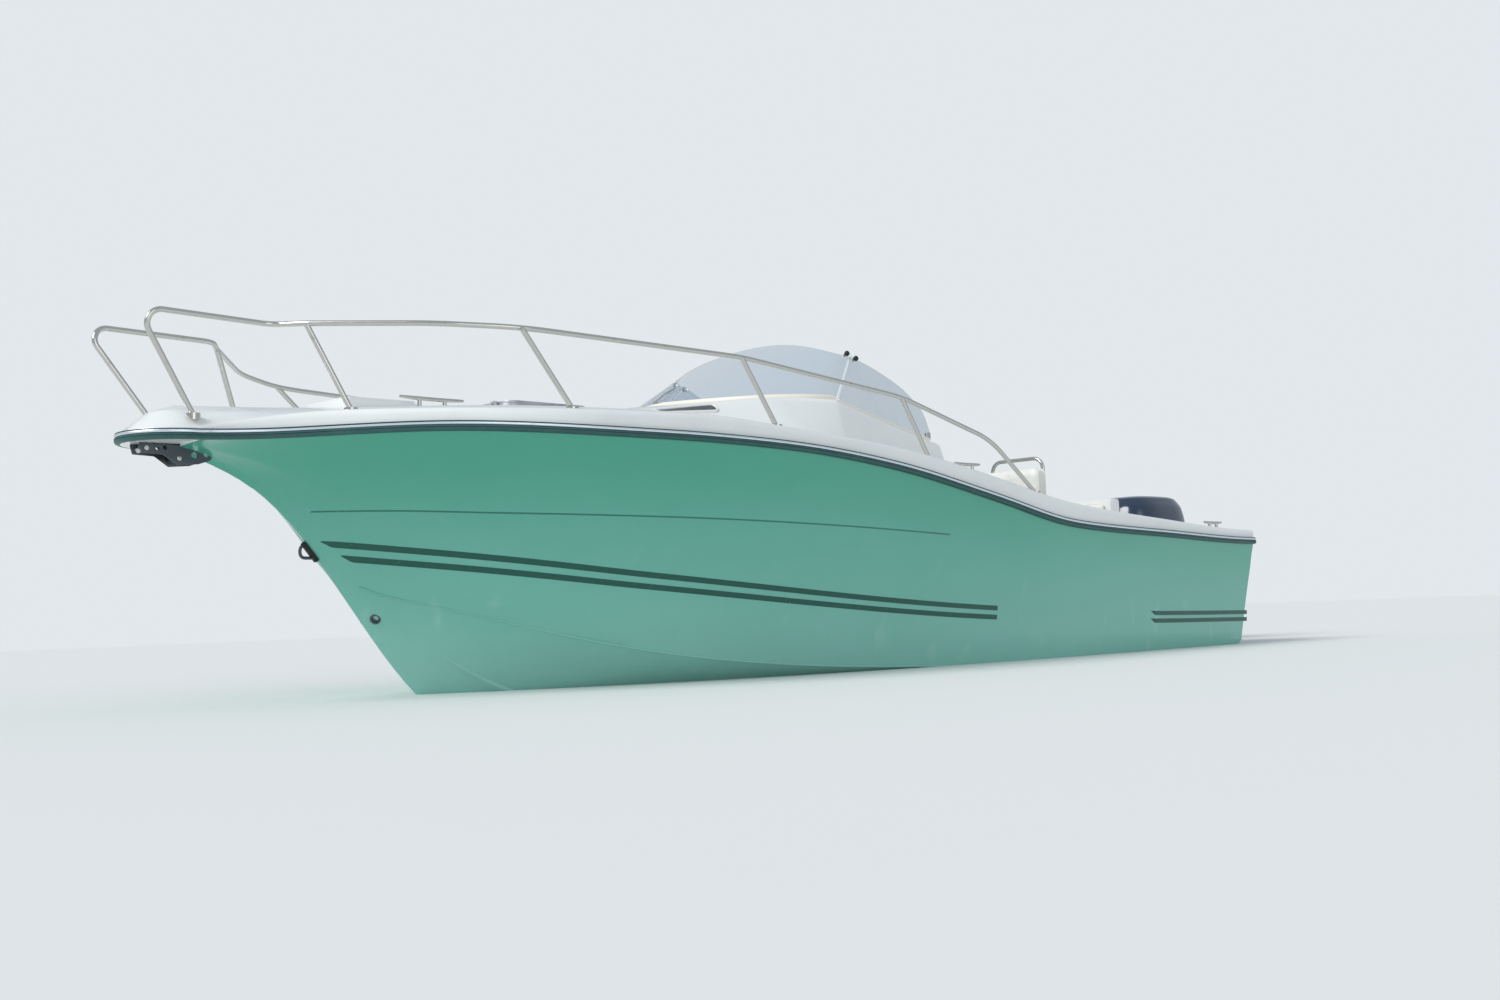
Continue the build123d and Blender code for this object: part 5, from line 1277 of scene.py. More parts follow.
@dataclass
class Deck:
    """Deck moulding: side decks, foredeck, cabin trunk, pulpit nose and stern coaming."""

    spacing: float = 0.06
    wall: float = 0.04
    inset: float = 0.104
    stern_s: float = 0.77
    stern_depth: float = 0.14
    stern_half: float = 0.64
    stern_top: float = 1.03
    stern_foot: float = 0.70
    lip: float = 0.016
    grit_ends: Pair = (0.4, 6.9)
    grit_columns: Tuple[int, int] = (8, 15)
    corner: float = 0.11
    opening_aft: float = 0.06
    opening_fore: float = 0.36

    def build(self) -> None:
        """Make the moulding and its coaming lip."""
        self.moulding()
        self.cockpit_lip()
        self.bulkhead_trim()

    def moulding(self) -> None:
        """Loft the deck, join the trunk and the stern coaming, and cut the openings."""
        deck = self.gritted(self.sections()).loose("deck_moulding")
        finishes = (DECK_WHITE, SOLE)
        for finish in finishes:
            deck.data.materials.append(finish.material())
        line = places(TRUNK[0].s, TRUNK_CORNER - 0.002, 0.05) + places(TRUNK_CORNER + 0.002, TRUNK[-1].s, 0.05)
        trunk = Form().solid([both(trunk_side(trunk_at(s)), s) for s in line])
        oval = super_oval(self.stern_depth / 2, self.stern_half, 12, 48)
        outline = [at(self.stern_s + u, v, self.stern_foot) for u, v in oval]
        stern = Form().slab(outline, UP * (self.stern_top - self.stern_foot), 0.02, 4)
        for cutter in (trunk.loose(), stern.loose()):
            cutter.data.materials.append(DECK_WHITE.material())
            carve(deck, [cutter], "UNION")
        width = Curve([row[0] for row in CABIN], [row[2] for row in CABIN])
        carve(deck, [
            *hollows(),
            self.cockpit_cutter(),
            box_form(TRUNK[0].s - 0.12, BULKHEAD_S, 0.8, 0.0, ABOVE_Z),
            Form().solid([self.headroom(s, width(s)) for s in places(CABIN[0][0], 5.6, 0.12)]).loose(),
            box_form(HATCH_S - HATCH_HALF, HATCH_S + HATCH_HALF, HATCH_HALF, 1.0, ABOVE_Z),
        ])
        cut = Form()
        cut.bm.from_mesh(deck.data)
        transom_trim(cut)
        cut.bm.to_mesh(deck.data)
        cut.bm.free()
        declare(deck, Body.BOAT, *finishes, replaces=DECK_NODES, crease=28.0)

    def sections(self) -> List[List[Vector]]:
        """Sections of the deck from aft, and round the nose."""
        rows = [both(deck_side(HULL_LINES.at(s)), s) for s in places(-0.06, NOSE_S, self.spacing)]
        nose = HULL_LINES.at(NOSE_S)
        centre = at(NOSE_S, 0, 0)
        for turn in range(1, 12):
            angle = math.pi / 2 * turn / 12
            ahead, aside = math.sin(angle), math.cos(angle)
            row = [centre + Vector((y * ahead, y * aside, z)) for y, z in deck_side(nose)]
            rows.append(row + [Vector((p.x, -p.y, p.z)) for p in reversed(row) if p.y > 1e-9])
        return rows

    def gritted(self, rows: Sequence[Sequence[Vector]]) -> Form:
        """Skin the deck through its sections, with non-skid on its flats."""
        last = len(rows[0]) - 2
        (aft, fore), flat = self.grit_ends, range(*self.grit_columns)

        def finish(row: int, column: int) -> int:
            """Non-skid on the side decks and the foredeck."""
            return 1 if min(column, last - column) in flat and aft < rows[row][0].x - TRANSOM_X < fore else 0

        return Form().skin(rows, loop=True, caps=True, slot=finish)

    def cockpit_cutter(self) -> bpy.types.Object:
        """Cutter of the cockpit's opening, with rounded corners in plan."""
        aft, fore = COCKPIT_AFT_S + self.opening_aft, BULKHEAD_S - self.opening_fore
        centre, half = (aft + fore) / 2, (fore - aft) / 2
        outline = []
        for s, y, turn in ((1, 1, 0), (-1, 1, 90), (-1, -1, 180), (1, -1, 270)):
            corner = at(centre + s * (half - self.corner), y * (COAMING_HALF - self.corner), 0.0)
            start = corner + Matrix.Rotation(math.radians(turn), 3, "Z") @ (AHEAD * self.corner)
            outline += arc(corner, start, UP, 90, 6)
        return Form().solid([outline, [point + UP * ABOVE_Z for point in outline]]).loose()

    def headroom(self, s: float, top_y: float) -> List[Vector]:
        """Outline of the cabin's space under the deck at a place."""
        trunk, station, wall = trunk_at(s), HULL_LINES.at(s), self.wall
        foot, shoulder = trunk.foot_y - self.inset, trunk.shoulder_y - self.inset
        side = deck_side(station)
        return both([
            (top_y, station.sheer_z - wall), (top_y, height_in(side, top_y) - wall),
            (foot, height_in(side, foot) - wall), (shoulder, trunk.shoulder_z - 1.5 * wall),
            (0.0, trunk.mid_z - 1.2 * wall),
        ], s)

    def cockpit_lip(self) -> None:
        """Rounded coaming lip around the cockpit's opening."""
        form = Form()
        for side in (1, -1):
            path = [
                at(s, side * (COAMING_HALF + 0.006), deck_z(s, COAMING_HALF + 0.02) + 0.004)
                for s in places(0.94, 2.84, 0.08)
            ]
            form.sweep(path, super_oval(0.014, self.lip, 2.6, 12))
        form.piece("coaming_lip", Body.BOAT, WHITE_TRIM)

    def bulkhead_trim(self) -> None:
        """Rounded trim around the doorway in the bulkhead."""
        corners = [(-DOOR_HALF, SOLE_Z), (-DOOR_HALF, DOOR_TOP_Z), (DOOR_HALF, DOOR_TOP_Z), (DOOR_HALF, SOLE_Z)]
        path = rounded([at(BULKHEAD_S - 0.004, y, z) for y, z in corners], [0.05, 0.05], 5)
        form = Form().sweep(path, super_oval(0.009, 0.005, 3, 10), up=AHEAD)
        form.piece("doorway_trim", Body.BOAT, BLACK_TRIM)


def sheer_path(offset: float, height: float) -> List[Vector]:
    """Line around the boat's side and nose.

    Args:
        offset: Distance outside the side face.
        height: Height above the sheer.

    Returns:
        Points from the port quarter round the nose to the starboard quarter.
    """
    stations = [HULL_LINES.at(s) for s in places(transom_s(0.7), NOSE_S, 0.06)]
    port = [at(row.s, side_y(row) + offset, row.sheer_z + height) for row in stations]
    nose = stations[-1]
    reach, z = side_y(nose) + offset, nose.sheer_z + height
    turns = [math.pi / 2 - math.pi * i / 28 for i in range(1, 28)]
    front = [at(NOSE_S + reach * math.cos(turn), reach * math.sin(turn), z) for turn in turns]
    return port + front + [Vector((p.x, -p.y, p.z)) for p in reversed(port)]


@dataclass
class RubRail:
    """Rubber rub rail around the sheer, with a stainless insert."""

    insert_z: float = 0.0120
    insert_half: float = 0.0075
    insert_depth: float = 0.0065

    def build(self) -> None:
        """Make the rubber and its insert."""
        deep, half = RUB_DEPTH, RUB_HEIGHT / 2
        profile = [
            (0.0, -half), (deep * 0.5, -half), (deep * 0.85, -half * 0.8), (deep * 0.98, -half * 0.5),
            (deep, -half * 0.3), (deep * 0.80, -half * 0.26), (deep, -half * 0.2), (deep, half * 0.02),
            (deep * 0.9, half * 0.12), (deep * 0.66, half * 0.16), (deep * 0.66, half * 0.88),
            (deep * 0.86, half * 0.93), (deep * 0.84, half), (0.0, half),
        ]
        path = sheer_path(0.0, half)
        outward = [(-u, v) for u, v in profile]
        Form().sweep(path, outward).piece("rub_rail_rubber", Body.BOAT, RAIL_RUBBER, replaces=("rub_rail",))
        strip = sheer_path(deep * 0.7, half + self.insert_z)
        oval = super_oval(self.insert_depth, self.insert_half, 2.6, 14)
        Form().sweep(strip, oval).piece("rub_rail_insert", Body.BOAT, BRIGHT_TRIM)


@dataclass
class Windscreen:
    """Frameless wraparound windscreen with its side panes and trims."""

    glass: float = 0.009
    corner_base: Vector = spot(3.83, 0.815, 1.48)
    corner_top: Vector = spot(3.567, 0.70, 1.771)
    centre_base_s: float = 4.42
    centre_top_s: float = 3.61
    glass_top_z: float = 1.92
    crown_z: float = 1.91
    columns: int = 56
    wiper_foot: Pair = (0.569, 1.559)
    wiper_tip: Pair = (0.594, 1.667)
    aft_top: Vector = spot(3.105, 0.752, 1.568)
    aft_foot: Vector = spot(3.03, 0.822, 1.337)
    edge_middle: Triple = (3.36, 0.728, 1.698)
    edge_aft: Triple = (3.02, 0.79, 1.45)
    edge_shares: Tuple[float, ...] = (0.0, 0.3, 0.68, 0.88, 1.0)

    def build(self) -> None:
        """Make the panes, their trims and the fittings on them."""
        self.front()
        for side in Side:
            self.side_pane(side)
        self.base_trim()
        self.corner_strips()
        self.wiper()

    def plan_point(self, share: float, z: float, inset: float = 0.0) -> Vector:
        """Point of the front pane at a height.

        Args:
            share: 0 at the port corner, 1 at the starboard corner.
            z: Height.
            inset: Distance inside the outer face.

        Returns:
            The point.
        """
        rise = (z - self.corner_base.z) / (self.corner_top.z - self.corner_base.z)
        s = mix(self.corner_base.x, self.corner_top.x, rise)
        y = mix(self.corner_base.y, self.corner_top.y, rise) - inset
        climb = (z - self.corner_base.z) / (self.glass_top_z - self.corner_base.z)
        reach = mix(self.centre_base_s, self.centre_top_s, climb) - s - inset
        turn = math.pi / 2 * (1 - 2 * share)
        return at(s + reach * math.cos(turn), y * math.sin(turn), z)

    def shares(self) -> List[float]:
        """Places along the front pane, from 0 at the port corner to 1 at the starboard corner."""
        return [i / self.columns for i in range(self.columns + 1)]

    def top_z(self, y: float) -> float:
        """Height of the crown's edge at a breadth."""
        edge, low = self.corner_top.y + 0.04, self.corner_top.z - 0.018
        rise = self.crown_z - low
        radius = (edge * edge + rise * rise) / (2 * rise)
        return self.crown_z - radius + math.sqrt(max(radius * radius - y * y, 0.0))

    def edge_heights(self, share: float) -> Pair:
        """Heights at which the front pane leaves the deck and ends at its crown."""
        low, high = self.corner_base.z, self.corner_top.z
        for _ in range(14):
            foot = self.plan_point(share, low)
            low = mix(low, deck_z(foot.x - TRANSOM_X, foot.y) - 0.004, 0.6)
            head = self.plan_point(share, high)
            high = mix(high, self.top_z(head.y), 0.6)
        return low, high

    def front(self) -> None:
        """Bent front pane."""
        outer, inner = [], []
        for share in self.shares():
            low, high = self.edge_heights(share)
            heights = [mix(low, high, k / 14) for k in range(15)]
            outer.append([self.plan_point(share, z) for z in heights])
            inner.append([self.plan_point(share, z, self.glass) for z in reversed(heights)])
        form = Form().solid([a + b for a, b in zip(outer, inner)])
        form.piece("screen_front", Body.BOAT, SCREEN, replaces=("windscreen_front",), crease=PANE_CREASE)

    def side_edge(self, share: float, top: bool) -> Vector:
        """Point of a side pane's top or bottom edge, from its front to its aft end."""
        if top:
            front, aft = self.corner_top - Vector((0.024, 0, 0.004)), self.aft_foot - AHEAD * 0.02
            line = (front, self.edge_middle, self.aft_top, self.edge_aft, aft)
            return at(*(Curve(self.edge_shares, [point[k] for point in line])(share) for k in range(3)))
        s = mix(self.corner_base.x - 0.026, self.aft_foot.x, share)
        y = mix(self.corner_base.y, self.aft_foot.y, share)
        return at(s, y, deck_z(s, min(y, 0.85)) - 0.004)

    def side_pane(self, side: Side) -> None:
        """Flat pane from the corner to the screen's aft foot."""
        outer, inner = [], []
        for i in range(25):
            share = (i / 24) ** 0.9
            low, high = self.side_edge(share, False), self.side_edge(share, True)
            row = [low.lerp(high, k / 10) for k in range(11)]
            outer.append(row)
            inner.append([point - Vector((0, self.glass, 0)) for point in reversed(row)])
        form = Form().solid([a + b for a, b in zip(outer, inner)])
        form.moved(Matrix.Scale(side.value, 4, PORT))
        name, nodes = f"screen_side_{side.name.lower()}", (f"windscreen_side_{side.name.lower()}",)
        form.piece(name, Body.BOAT, SCREEN, replaces=nodes, crease=PANE_CREASE)

    def base_trim(self) -> None:
        """Cream gasket along the foot of the panes."""
        path = []
        for share in self.shares():
            path.append(self.plan_point(share, self.edge_heights(share)[0], 0.004) + UP * 0.01)
        form = Form().sweep(path, super_oval(0.015, 0.019, 3, 12))
        edge = [self.side_edge(i / 17, False) for i in range(18)]
        for side in Side:
            line = [Vector((point.x, side.value * (point.y - 0.004), point.z + 0.009)) for point in edge]
            form.sweep(line, super_oval(0.012, 0.015, 3, 12))
        form.piece("screen_gasket", Body.BOAT, CREAM_TRIM)

    def corner_strips(self) -> None:
        """Pale joint strip at each corner with two black knobs near its top, and the aft clips."""
        strips, knobs, studs = Form(), Form(), Form()
        stud = [(0, 0.007), (0.021, 0.011), (0.024, 0.011)]
        knob = [(0, 0.011), (0.004, 0.015), (0.014, 0.015), (0.02, 0.010)]
        for side in Side:
            low = at(self.corner_base.x - 0.012, side.value * self.corner_base.y, self.corner_base.z - 0.02)
            high = at(self.corner_top.x - 0.012, side.value * self.corner_top.y, self.corner_top.z + 0.002)
            strips.tube([low, low.lerp(high, 0.5), high], 0.006, 12)
            for reach, lift in ((0.045, 0.002), (-0.03, -0.020)):
                base = high + Vector((reach, 0, lift))
                out = Vector((0.25, side.value, 0.25)).normalized()
                studs.lathe(base - out * 0.012, out, stud, 16)
                knobs.lathe(base + out * 0.011, out, knob, 20)
            foot = at(self.aft_foot.x, side.value * (self.aft_foot.y - 0.004), self.aft_foot.z)
            studs.block(foot - Vector((0.016, 0.009, 0.03)), foot + Vector((0.022, 0.009, 0.012)), 0.004)
        strips.piece("screen_corner_strips", Body.BOAT, PALE_STRIP, replaces=("windscreen_strips",))
        knobs.piece("screen_knobs", Body.BOAT, BLACK_TRIM)
        studs.piece("screen_studs", Body.BOAT, STAINLESS)

    def wiper(self) -> None:
        """Short wiper arm and blade near the middle of the front pane."""
        foot, tip = self.plan_point(*self.wiper_foot, -0.016), self.plan_point(*self.wiper_tip, -0.014)
        form = Form().tube([foot, foot.lerp(tip, 0.5) + Vector((0.006, 0, 0.004)), tip], 0.0045, 10)
        pivot = [(0, 0.014), (0.02, 0.012), (0.026, 0.006)]
        form.lathe(foot - Vector((0.02, 0.0, 0.008)), Vector((1, 0, 0.4)), pivot, 16)
        form.piece("wiper_arm", Body.BOAT, STAINLESS)
        blade = [self.plan_point(mix(0.577, 0.603, k / 4), mix(1.60, 1.685, k / 4), -0.006) for k in range(5)]
        Form().tube(blade, 0.0035, 8).piece("wiper_blade", Body.BOAT, PALE_STRIP)


def frame_of(origin: Vector, ahead: Vector, out: Vector) -> Matrix:
    """Placement whose X runs ahead and whose Z points out of a face."""
    out = out.normalized()
    side = out.cross(ahead).normalized()
    return Matrix.Translation(origin) @ Matrix((side.cross(out), side, out)).transposed().to_4x4()


def ring_of(points: Sequence[Sequence[float]], radius: float, steps: int = 4) -> List[Vector]:
    """Closed outline with all its corners rounded, in three dimensions."""
    corners = [Vector(point) for point in points]
    start = (corners[-1] + corners[0]) / 2
    line = rounded([start, *corners, start], [radius] * len(corners), steps)
    return line[:-1]


def oblong(half_x: float, half_y: float, radius: float, z: float = 0.0) -> List[Vector]:
    """Rounded rectangle about the origin at a height."""
    corners = [(half_x, half_y, z), (-half_x, half_y, z), (-half_x, -half_y, z), (half_x, -half_y, z)]
    return ring_of(corners, radius)


class Turned(NamedTuple):
    """Small turned fitting: where it stands, its axis and its profile of reaches and radii."""

    name: str
    body: Body
    finish: Finish
    places: Tuple[Triple, ...]
    axis: Triple
    profile: Tuple[Pair, ...]
    replaces: Tuple[str, ...] = ()

    def build(self) -> None:
        """Make the fitting at each of its places as one piece."""
        form = Form()
        for place in self.places:
            form.lathe(at(*place), Vector(self.axis), self.profile, 24)
        form.piece(self.name, self.body, self.finish, replaces=self.replaces)


class Pad(NamedTuple):
    """Cushion: its flat outline, thickness, seams and how far it may swell."""

    name: str
    outline: Tuple[Triple, ...]
    depth: Triple
    finish: Finish
    cell: float
    swell: float
    replaces: Tuple[str, ...] = ()
    channels: Tuple[Tuple[int, float], ...] = ()
    rests: Optional[Tuple[int, float]] = None
    twin: bool = False


@dataclass
class Upholstery:
    """Crowned cushions of the seats, the stern bench and the berth, with piping and sewn channels."""

    corner: float = 0.035
    rim: float = 0.022
    full_rim: float = 0.06
    pressure: float = 4.0
    frames: int = 20
    cord: float = 0.0042
    channel_depth: float = 0.006
    channel_width: float = 0.008
    slack: float = 0.005
    faint: float = 0.02
    seat_low: float = 1.701
    seat_high: float = 2.12
    seat_y: Pair = (0.221, 0.739)

    @staticmethod
    def level(z: float, *points: Pair) -> Tuple[Triple, ...]:
        """Level outline at a height, through places and breadths."""
        return tuple((s, y, z) for s, y in points)

    def pads(self) -> List[Pad]:
        """The cushions that are modelled once, from the seats forward."""
        low, high, (near, far) = self.seat_low, self.seat_high, self.seat_y
        squab = self.level(0.622, (low, near), (high, near), (high, far), (low, far))
        back = ((low, near, 0.756), (low, far, 0.756), (low, far, 1.208), (low, near, 1.208))
        bench = self.level(0.541, (0.876, -0.9), (1.25, -0.9), (1.25, 0.9), (0.876, 0.9))
        rest = ((0.842, -0.61, 0.56), (0.842, 0.61, 0.56), (0.842, 0.61, 1.005), (0.842, -0.61, 1.005))
        port = ((4.566, 0.872), (5.16, 0.735), (5.675, 0.455))
        fore = self.level(0.421, *((s, -y) for s, y in port), *reversed(port))
        wing = self.level(
            0.421, (3.86, 0.43), (4.16, 0.43), (4.16, 0.004), (4.56, 0.004), (4.56, 0.875), (3.86, 0.955)
        )
        return [
            Pad("seat_squab", squab, (0, 0, 0.122), SEAT_VINYL, 0.012, 0.014, channels=((1, 0.39), (1, 0.57)),
                rests=(2, 0.6205), twin=True),
            Pad("seat_back", back, (0.112, 0, 0), SEAT_VINYL, 0.012, 0.012, channels=((2, 0.90), (2, 1.05)),
                twin=True),
            Pad("bench_squab", bench, (0, 0, 0.084), SEAT_VINYL, 0.014, 0.012, ("bench_cushion",),
                tuple((1, y / 10) for y in (-6, -3, 0, 3, 6)), rests=(2, 0.5405)),
            Pad("bench_back_pad", rest, (0.027, 0, 0), SEAT_VINYL, 0.012, 0.006, ("bench_backrest",),
                ((1, -0.3), (1, 0.0), (1, 0.3))),
            Pad("berth_wing", wing, (0, 0, 0.084), BERTH_WEAVE, 0.018, 0.012, rests=(2, 0.4205), twin=True),
            Pad("berth_fore", fore, (0, 0, 0.084), BERTH_WEAVE, 0.018, 0.012, rests=(2, 0.4205)),
        ]

    def build(self) -> None:
        """Make every cushion, and mirror the ones that come in pairs."""
        for pad in self.pads():
            item = self.swollen(pad)
            cords = self.piping(pad, item)
            declare(item, Body.BOAT, pad.finish, replaces=pad.replaces, crease=ALL_SMOOTH)
            declare(cords, Body.BOAT, pad.finish, crease=ALL_SMOOTH)
            if pad.twin:
                self.mirrored(item, pad)
                self.mirrored(cords, pad)
        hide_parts("navigator_seat")
        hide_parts("helm_seat")
        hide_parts("berth_cushion")

    def swollen(self, pad: Pad) -> bpy.types.Object:
        """Closed crowned form of a cushion, swollen by its filling.

        Args:
            pad: The cushion.

        Returns:
            Its object, not declared yet.
        """
        depth = Vector(pad.depth)
        inward = depth.normalized() * pad.swell * 0.5
        middle = sum((at(*point) for point in pad.outline), Vector()) / len(pad.outline)
        outline = []
        for point in ring_of([at(*point) for point in pad.outline], self.corner):
            gap = (middle - point).normalized() * pad.swell * 0.5
            outline.append(point + gap + inward)
        rim = self.rim * min(1.0, depth.length / self.full_rim)
        item = Form().slab(outline, depth - 2 * inward, rim, 4).loose(pad.name)
        remesh = item.modifiers.new("cells", "REMESH")
        remesh.mode, remesh.voxel_size = "VOXEL", pad.cell
        applied(item)
        start = [vert.co.copy() for vert in item.data.vertices]
        self.inflate(item)
        self.held(item, pad, start)
        item.modifiers.new("fine", "SUBSURF").levels = 1
        return applied(item)

    def held(self, item: bpy.types.Object, pad: Pad, starts: Sequence[Vector]) -> None:
        """Keep a swollen cushion within its bounds, and press its sewn channels in.

        Args:
            item: The cushion's object.
            pad: The cushion.
            starts: Where its vertices were before it swelled.
        """
        depth = Vector(pad.depth)
        across, middle = depth.normalized(), at(*pad.outline[0]) + depth / 2
        corners = [at(*point) for point in pad.outline] + [at(*point) + depth for point in pad.outline]
        low = [min(corner[k] for corner in corners) - self.slack for k in range(3)]
        high = [max(corner[k] for corner in corners) + self.slack for k in range(3)]
        if pad.rests:
            low[pad.rests[0]] = pad.rests[1]
        for vert, start in zip(item.data.vertices, starts):
            move = vert.co - start
            if move.length > pad.swell:
                vert.co = start + move.normalized() * pad.swell
            gaps = [(vert.co[axis] - place) / self.channel_width for axis, place in pad.channels]
            share = max([math.exp(-gap ** 2) for gap in gaps], default=0.0)
            if share > self.faint:
                out = vert.co.dot(across) - middle.dot(across)
                inner = min(abs(out) / (depth.length / 2), 1.0)
                vert.co -= across * (math.copysign(1.0, out) * share * self.channel_depth * inner)
            vert.co = Vector([min(max(vert.co[k], low[k]), high[k]) for k in range(3)])

    def inflate(self, item: bpy.types.Object) -> None:
        """Swell a mesh by a cloth simulation under pressure, and keep its result."""
        cloth = item.modifiers.new("filling", "CLOTH")
        cloth.settings.use_pressure = True
        cloth.settings.uniform_pressure_force = self.pressure
        cloth.settings.effector_weights.gravity = 0.0
        cloth.settings.quality = 4
        cloth.point_cache.frame_start, cloth.point_cache.frame_end = 1, self.frames
        for number in range(1, self.frames + 1):
            bpy.context.scene.frame_set(number)
        applied(item)
        bpy.context.scene.frame_set(1)

    def piping(self, pad: Pad, item: bpy.types.Object) -> bpy.types.Object:
        """Sewn cord round both rims, laid on the swollen surface."""
        form = Form()
        depth = Vector(pad.depth)
        for share in (0.12, 0.88):
            path = []
            for point in ring_of([at(*point) for point in pad.outline], self.corner, 6):
                found, place, normal, _ = item.closest_point_on_mesh(point + depth * share)
                path.append(place + normal * self.cord * 0.3 if found else point)
            form.tube(path, self.cord, 8, closed=True)
        return form.loose(pad.name + "_piping")

    @staticmethod
    def mirrored(item: bpy.types.Object, pad: Pad) -> bpy.types.Object:
        """Make the starboard twin of a port cushion or cord."""
        form = Form()
        form.bm.from_mesh(item.data)
        twin = form.moved(Matrix.Scale(-1, 4, PORT)).loose(item.name + "_starboard")
        return declare(twin, Body.BOAT, pad.finish, crease=ALL_SMOOTH)


@dataclass
class BowGear:
    """Anchor roller assembly under the pulpit, bow eye and horn cleats."""

    cheek_y: float = 0.040
    cheek: float = 0.006
    low_z: float = 1.155
    outline: Tuple[Pair, ...] = (
        (7.06, 1.155), (7.112, 1.088), (7.166, 1.07), (7.262, 1.062), (7.326, 1.106), (7.424, 1.11),
        (7.436, 1.155),
    )
    holes: Tuple[Triple, ...] = (
        (7.130, 1.115, 0.013), (7.185, 1.108, 0.015), (7.318, 1.136, 0.010), (7.352, 1.132, 0.009),
    )
    rollers: Tuple[Tuple[str, Body, float, float, float], ...] = (
        ("anchor_roller_aft", Body.ROLLER_AFT, 7.256, 1.092, 0.019),
        ("anchor_roller_front", Body.ROLLER_FRONT, 7.402, 1.131, 0.016),
    )
    eye_s: float = 6.6065
    eye_z: float = 0.69
    cleats: Tuple[Quad, ...] = (
        (5.915, 0.0, 0.37, 0.054), (3.08, 1.13, 0.23, 0.04), (3.08, -1.13, 0.23, 0.04),
        (0.33, 1.13, 0.23, 0.04), (0.33, -1.13, 0.23, 0.04),
    )

    def build(self) -> None:
        """Make the roller assembly, the eye and the cleats."""
        self.cheeks()
        self.spools()
        self.eye()
        self.horns()

    def cheeks(self) -> None:
        """Pierced cheek plates, their base plate and pins."""
        form = Form()
        for side in (1, -1):
            y = self.cheek_y if side > 0 else -self.cheek_y - self.cheek
            line = ring_of([at(s, y, z) for s, z in self.outline], 0.008, 3)
            form.slab(line, PORT * self.cheek, 0.0012, 2)
        item = form.loose("roller_cheeks")
        for s, z, radius in self.holes:
            bore = Form().lathe(at(s, -0.08, z), PORT, [(0, radius), (0.16, radius)], 20)
            carve(item, [bore.loose()])
        declare(item, Body.BOAT, CHEEK_STEEL, replaces=("roller_bracket",), crease=30)
        plate = Form().block(at(7.215, -0.046, self.low_z - 0.006), at(7.375, 0.046, self.low_z), 0.002)
        bolt = [(0, 0.007), (0.004, 0.006), (0.005, 0.003)]
        for s in (7.24, 7.35):
            for y in (-0.03, 0.03):
                plate.lathe(at(s, y, self.low_z - 0.005), -UP, bolt, 12)
        plate.piece("roller_base", Body.BOAT, STAINLESS)
        pins = Form()
        head = [(0, 0.006), (0.001, 0.010), (0.005, 0.010), (0.006, 0.006)]
        tail = [(reach + 0.098, radius) for reach, radius in head]
        for _, _, s, z, _ in self.rollers:
            pins.lathe(at(s, -0.052, z), PORT, head + tail, 18)
        pins.piece("roller_pins", Body.BOAT, STAINLESS)

    def spools(self) -> None:
        """Waisted rollers on their pins."""
        for name, body, s, z, size in self.rollers:
            waist, finish = (0.55, BLACK_RUBBER) if body is Body.ROLLER_AFT else (0.8, STAINLESS)
            profile = [
                (0.0, size * 0.9), (0.002, size), (0.012, size), (0.026, size * waist), (0.050, size * waist),
                (0.064, size), (0.074, size), (0.076, size * 0.9),
            ]
            form = Form().lathe(at(s, -0.038, z), PORT, profile, 32)
            form.piece(name + "_spool", body, finish, replaces=(name,))

    def eye(self) -> None:
        """Towing eye bent from rod, on its black pad."""
        s, z = self.eye_s, self.eye_z
        corners = ((-0.03, -0.029), (0.050, -0.029), (0.050, 0.029), (-0.01, 0.029))
        loop = rounded([at(s + ahead, 0, z + up) for ahead, up in corners], [0.028, 0.028], 6)
        Form().tube(loop, 0.0075, 16).piece("bow_eye_loop", Body.BOAT, CHEEK_STEEL, replaces=("bow_eye",))
        tilt = math.atan2(0.35, 0.425)
        pad = Form().block((-0.03, -0.013, -0.056), (0.012, 0.013, 0.056), 0.005)
        pad.moved(Matrix.Translation(at(s - 0.002, 0, z)) @ Matrix.Rotation(tilt, 4, "Y"))
        pad.piece("bow_eye_pad", Body.BOAT, BLACK_RUBBER)

    def horns(self) -> None:
        """Horn cleats with tapered horns on two legs."""
        form = Form()
        for s, y, length, rise in self.cleats:
            low = deck_z(s, y)
            top = low + rise
            half = length / 2
            path = [at(s + half * k / 8, y, top + 0.004 * (k / 8) ** 2) for k in range(-8, 9)]
            sizes = [0.45 + 0.55 * math.sqrt(max(1 - (k / 8.4) ** 2, 0)) for k in range(-8, 9)]
            form.tube(path, 0.0105, 14, sizes=sizes)
            for part in (-0.2, 0.2):
                place = s + part * length
                leg = [(0, 0.024), (0.006, 0.022), (0.012, 0.012), (rise, 0.0095)]
                form.lathe(at(place, y, deck_z(place, y) - 0.004), UP, leg, 20)
        form.piece("horn_cleats", Body.BOAT, STAINLESS, replaces=("cleats",), crease=40)


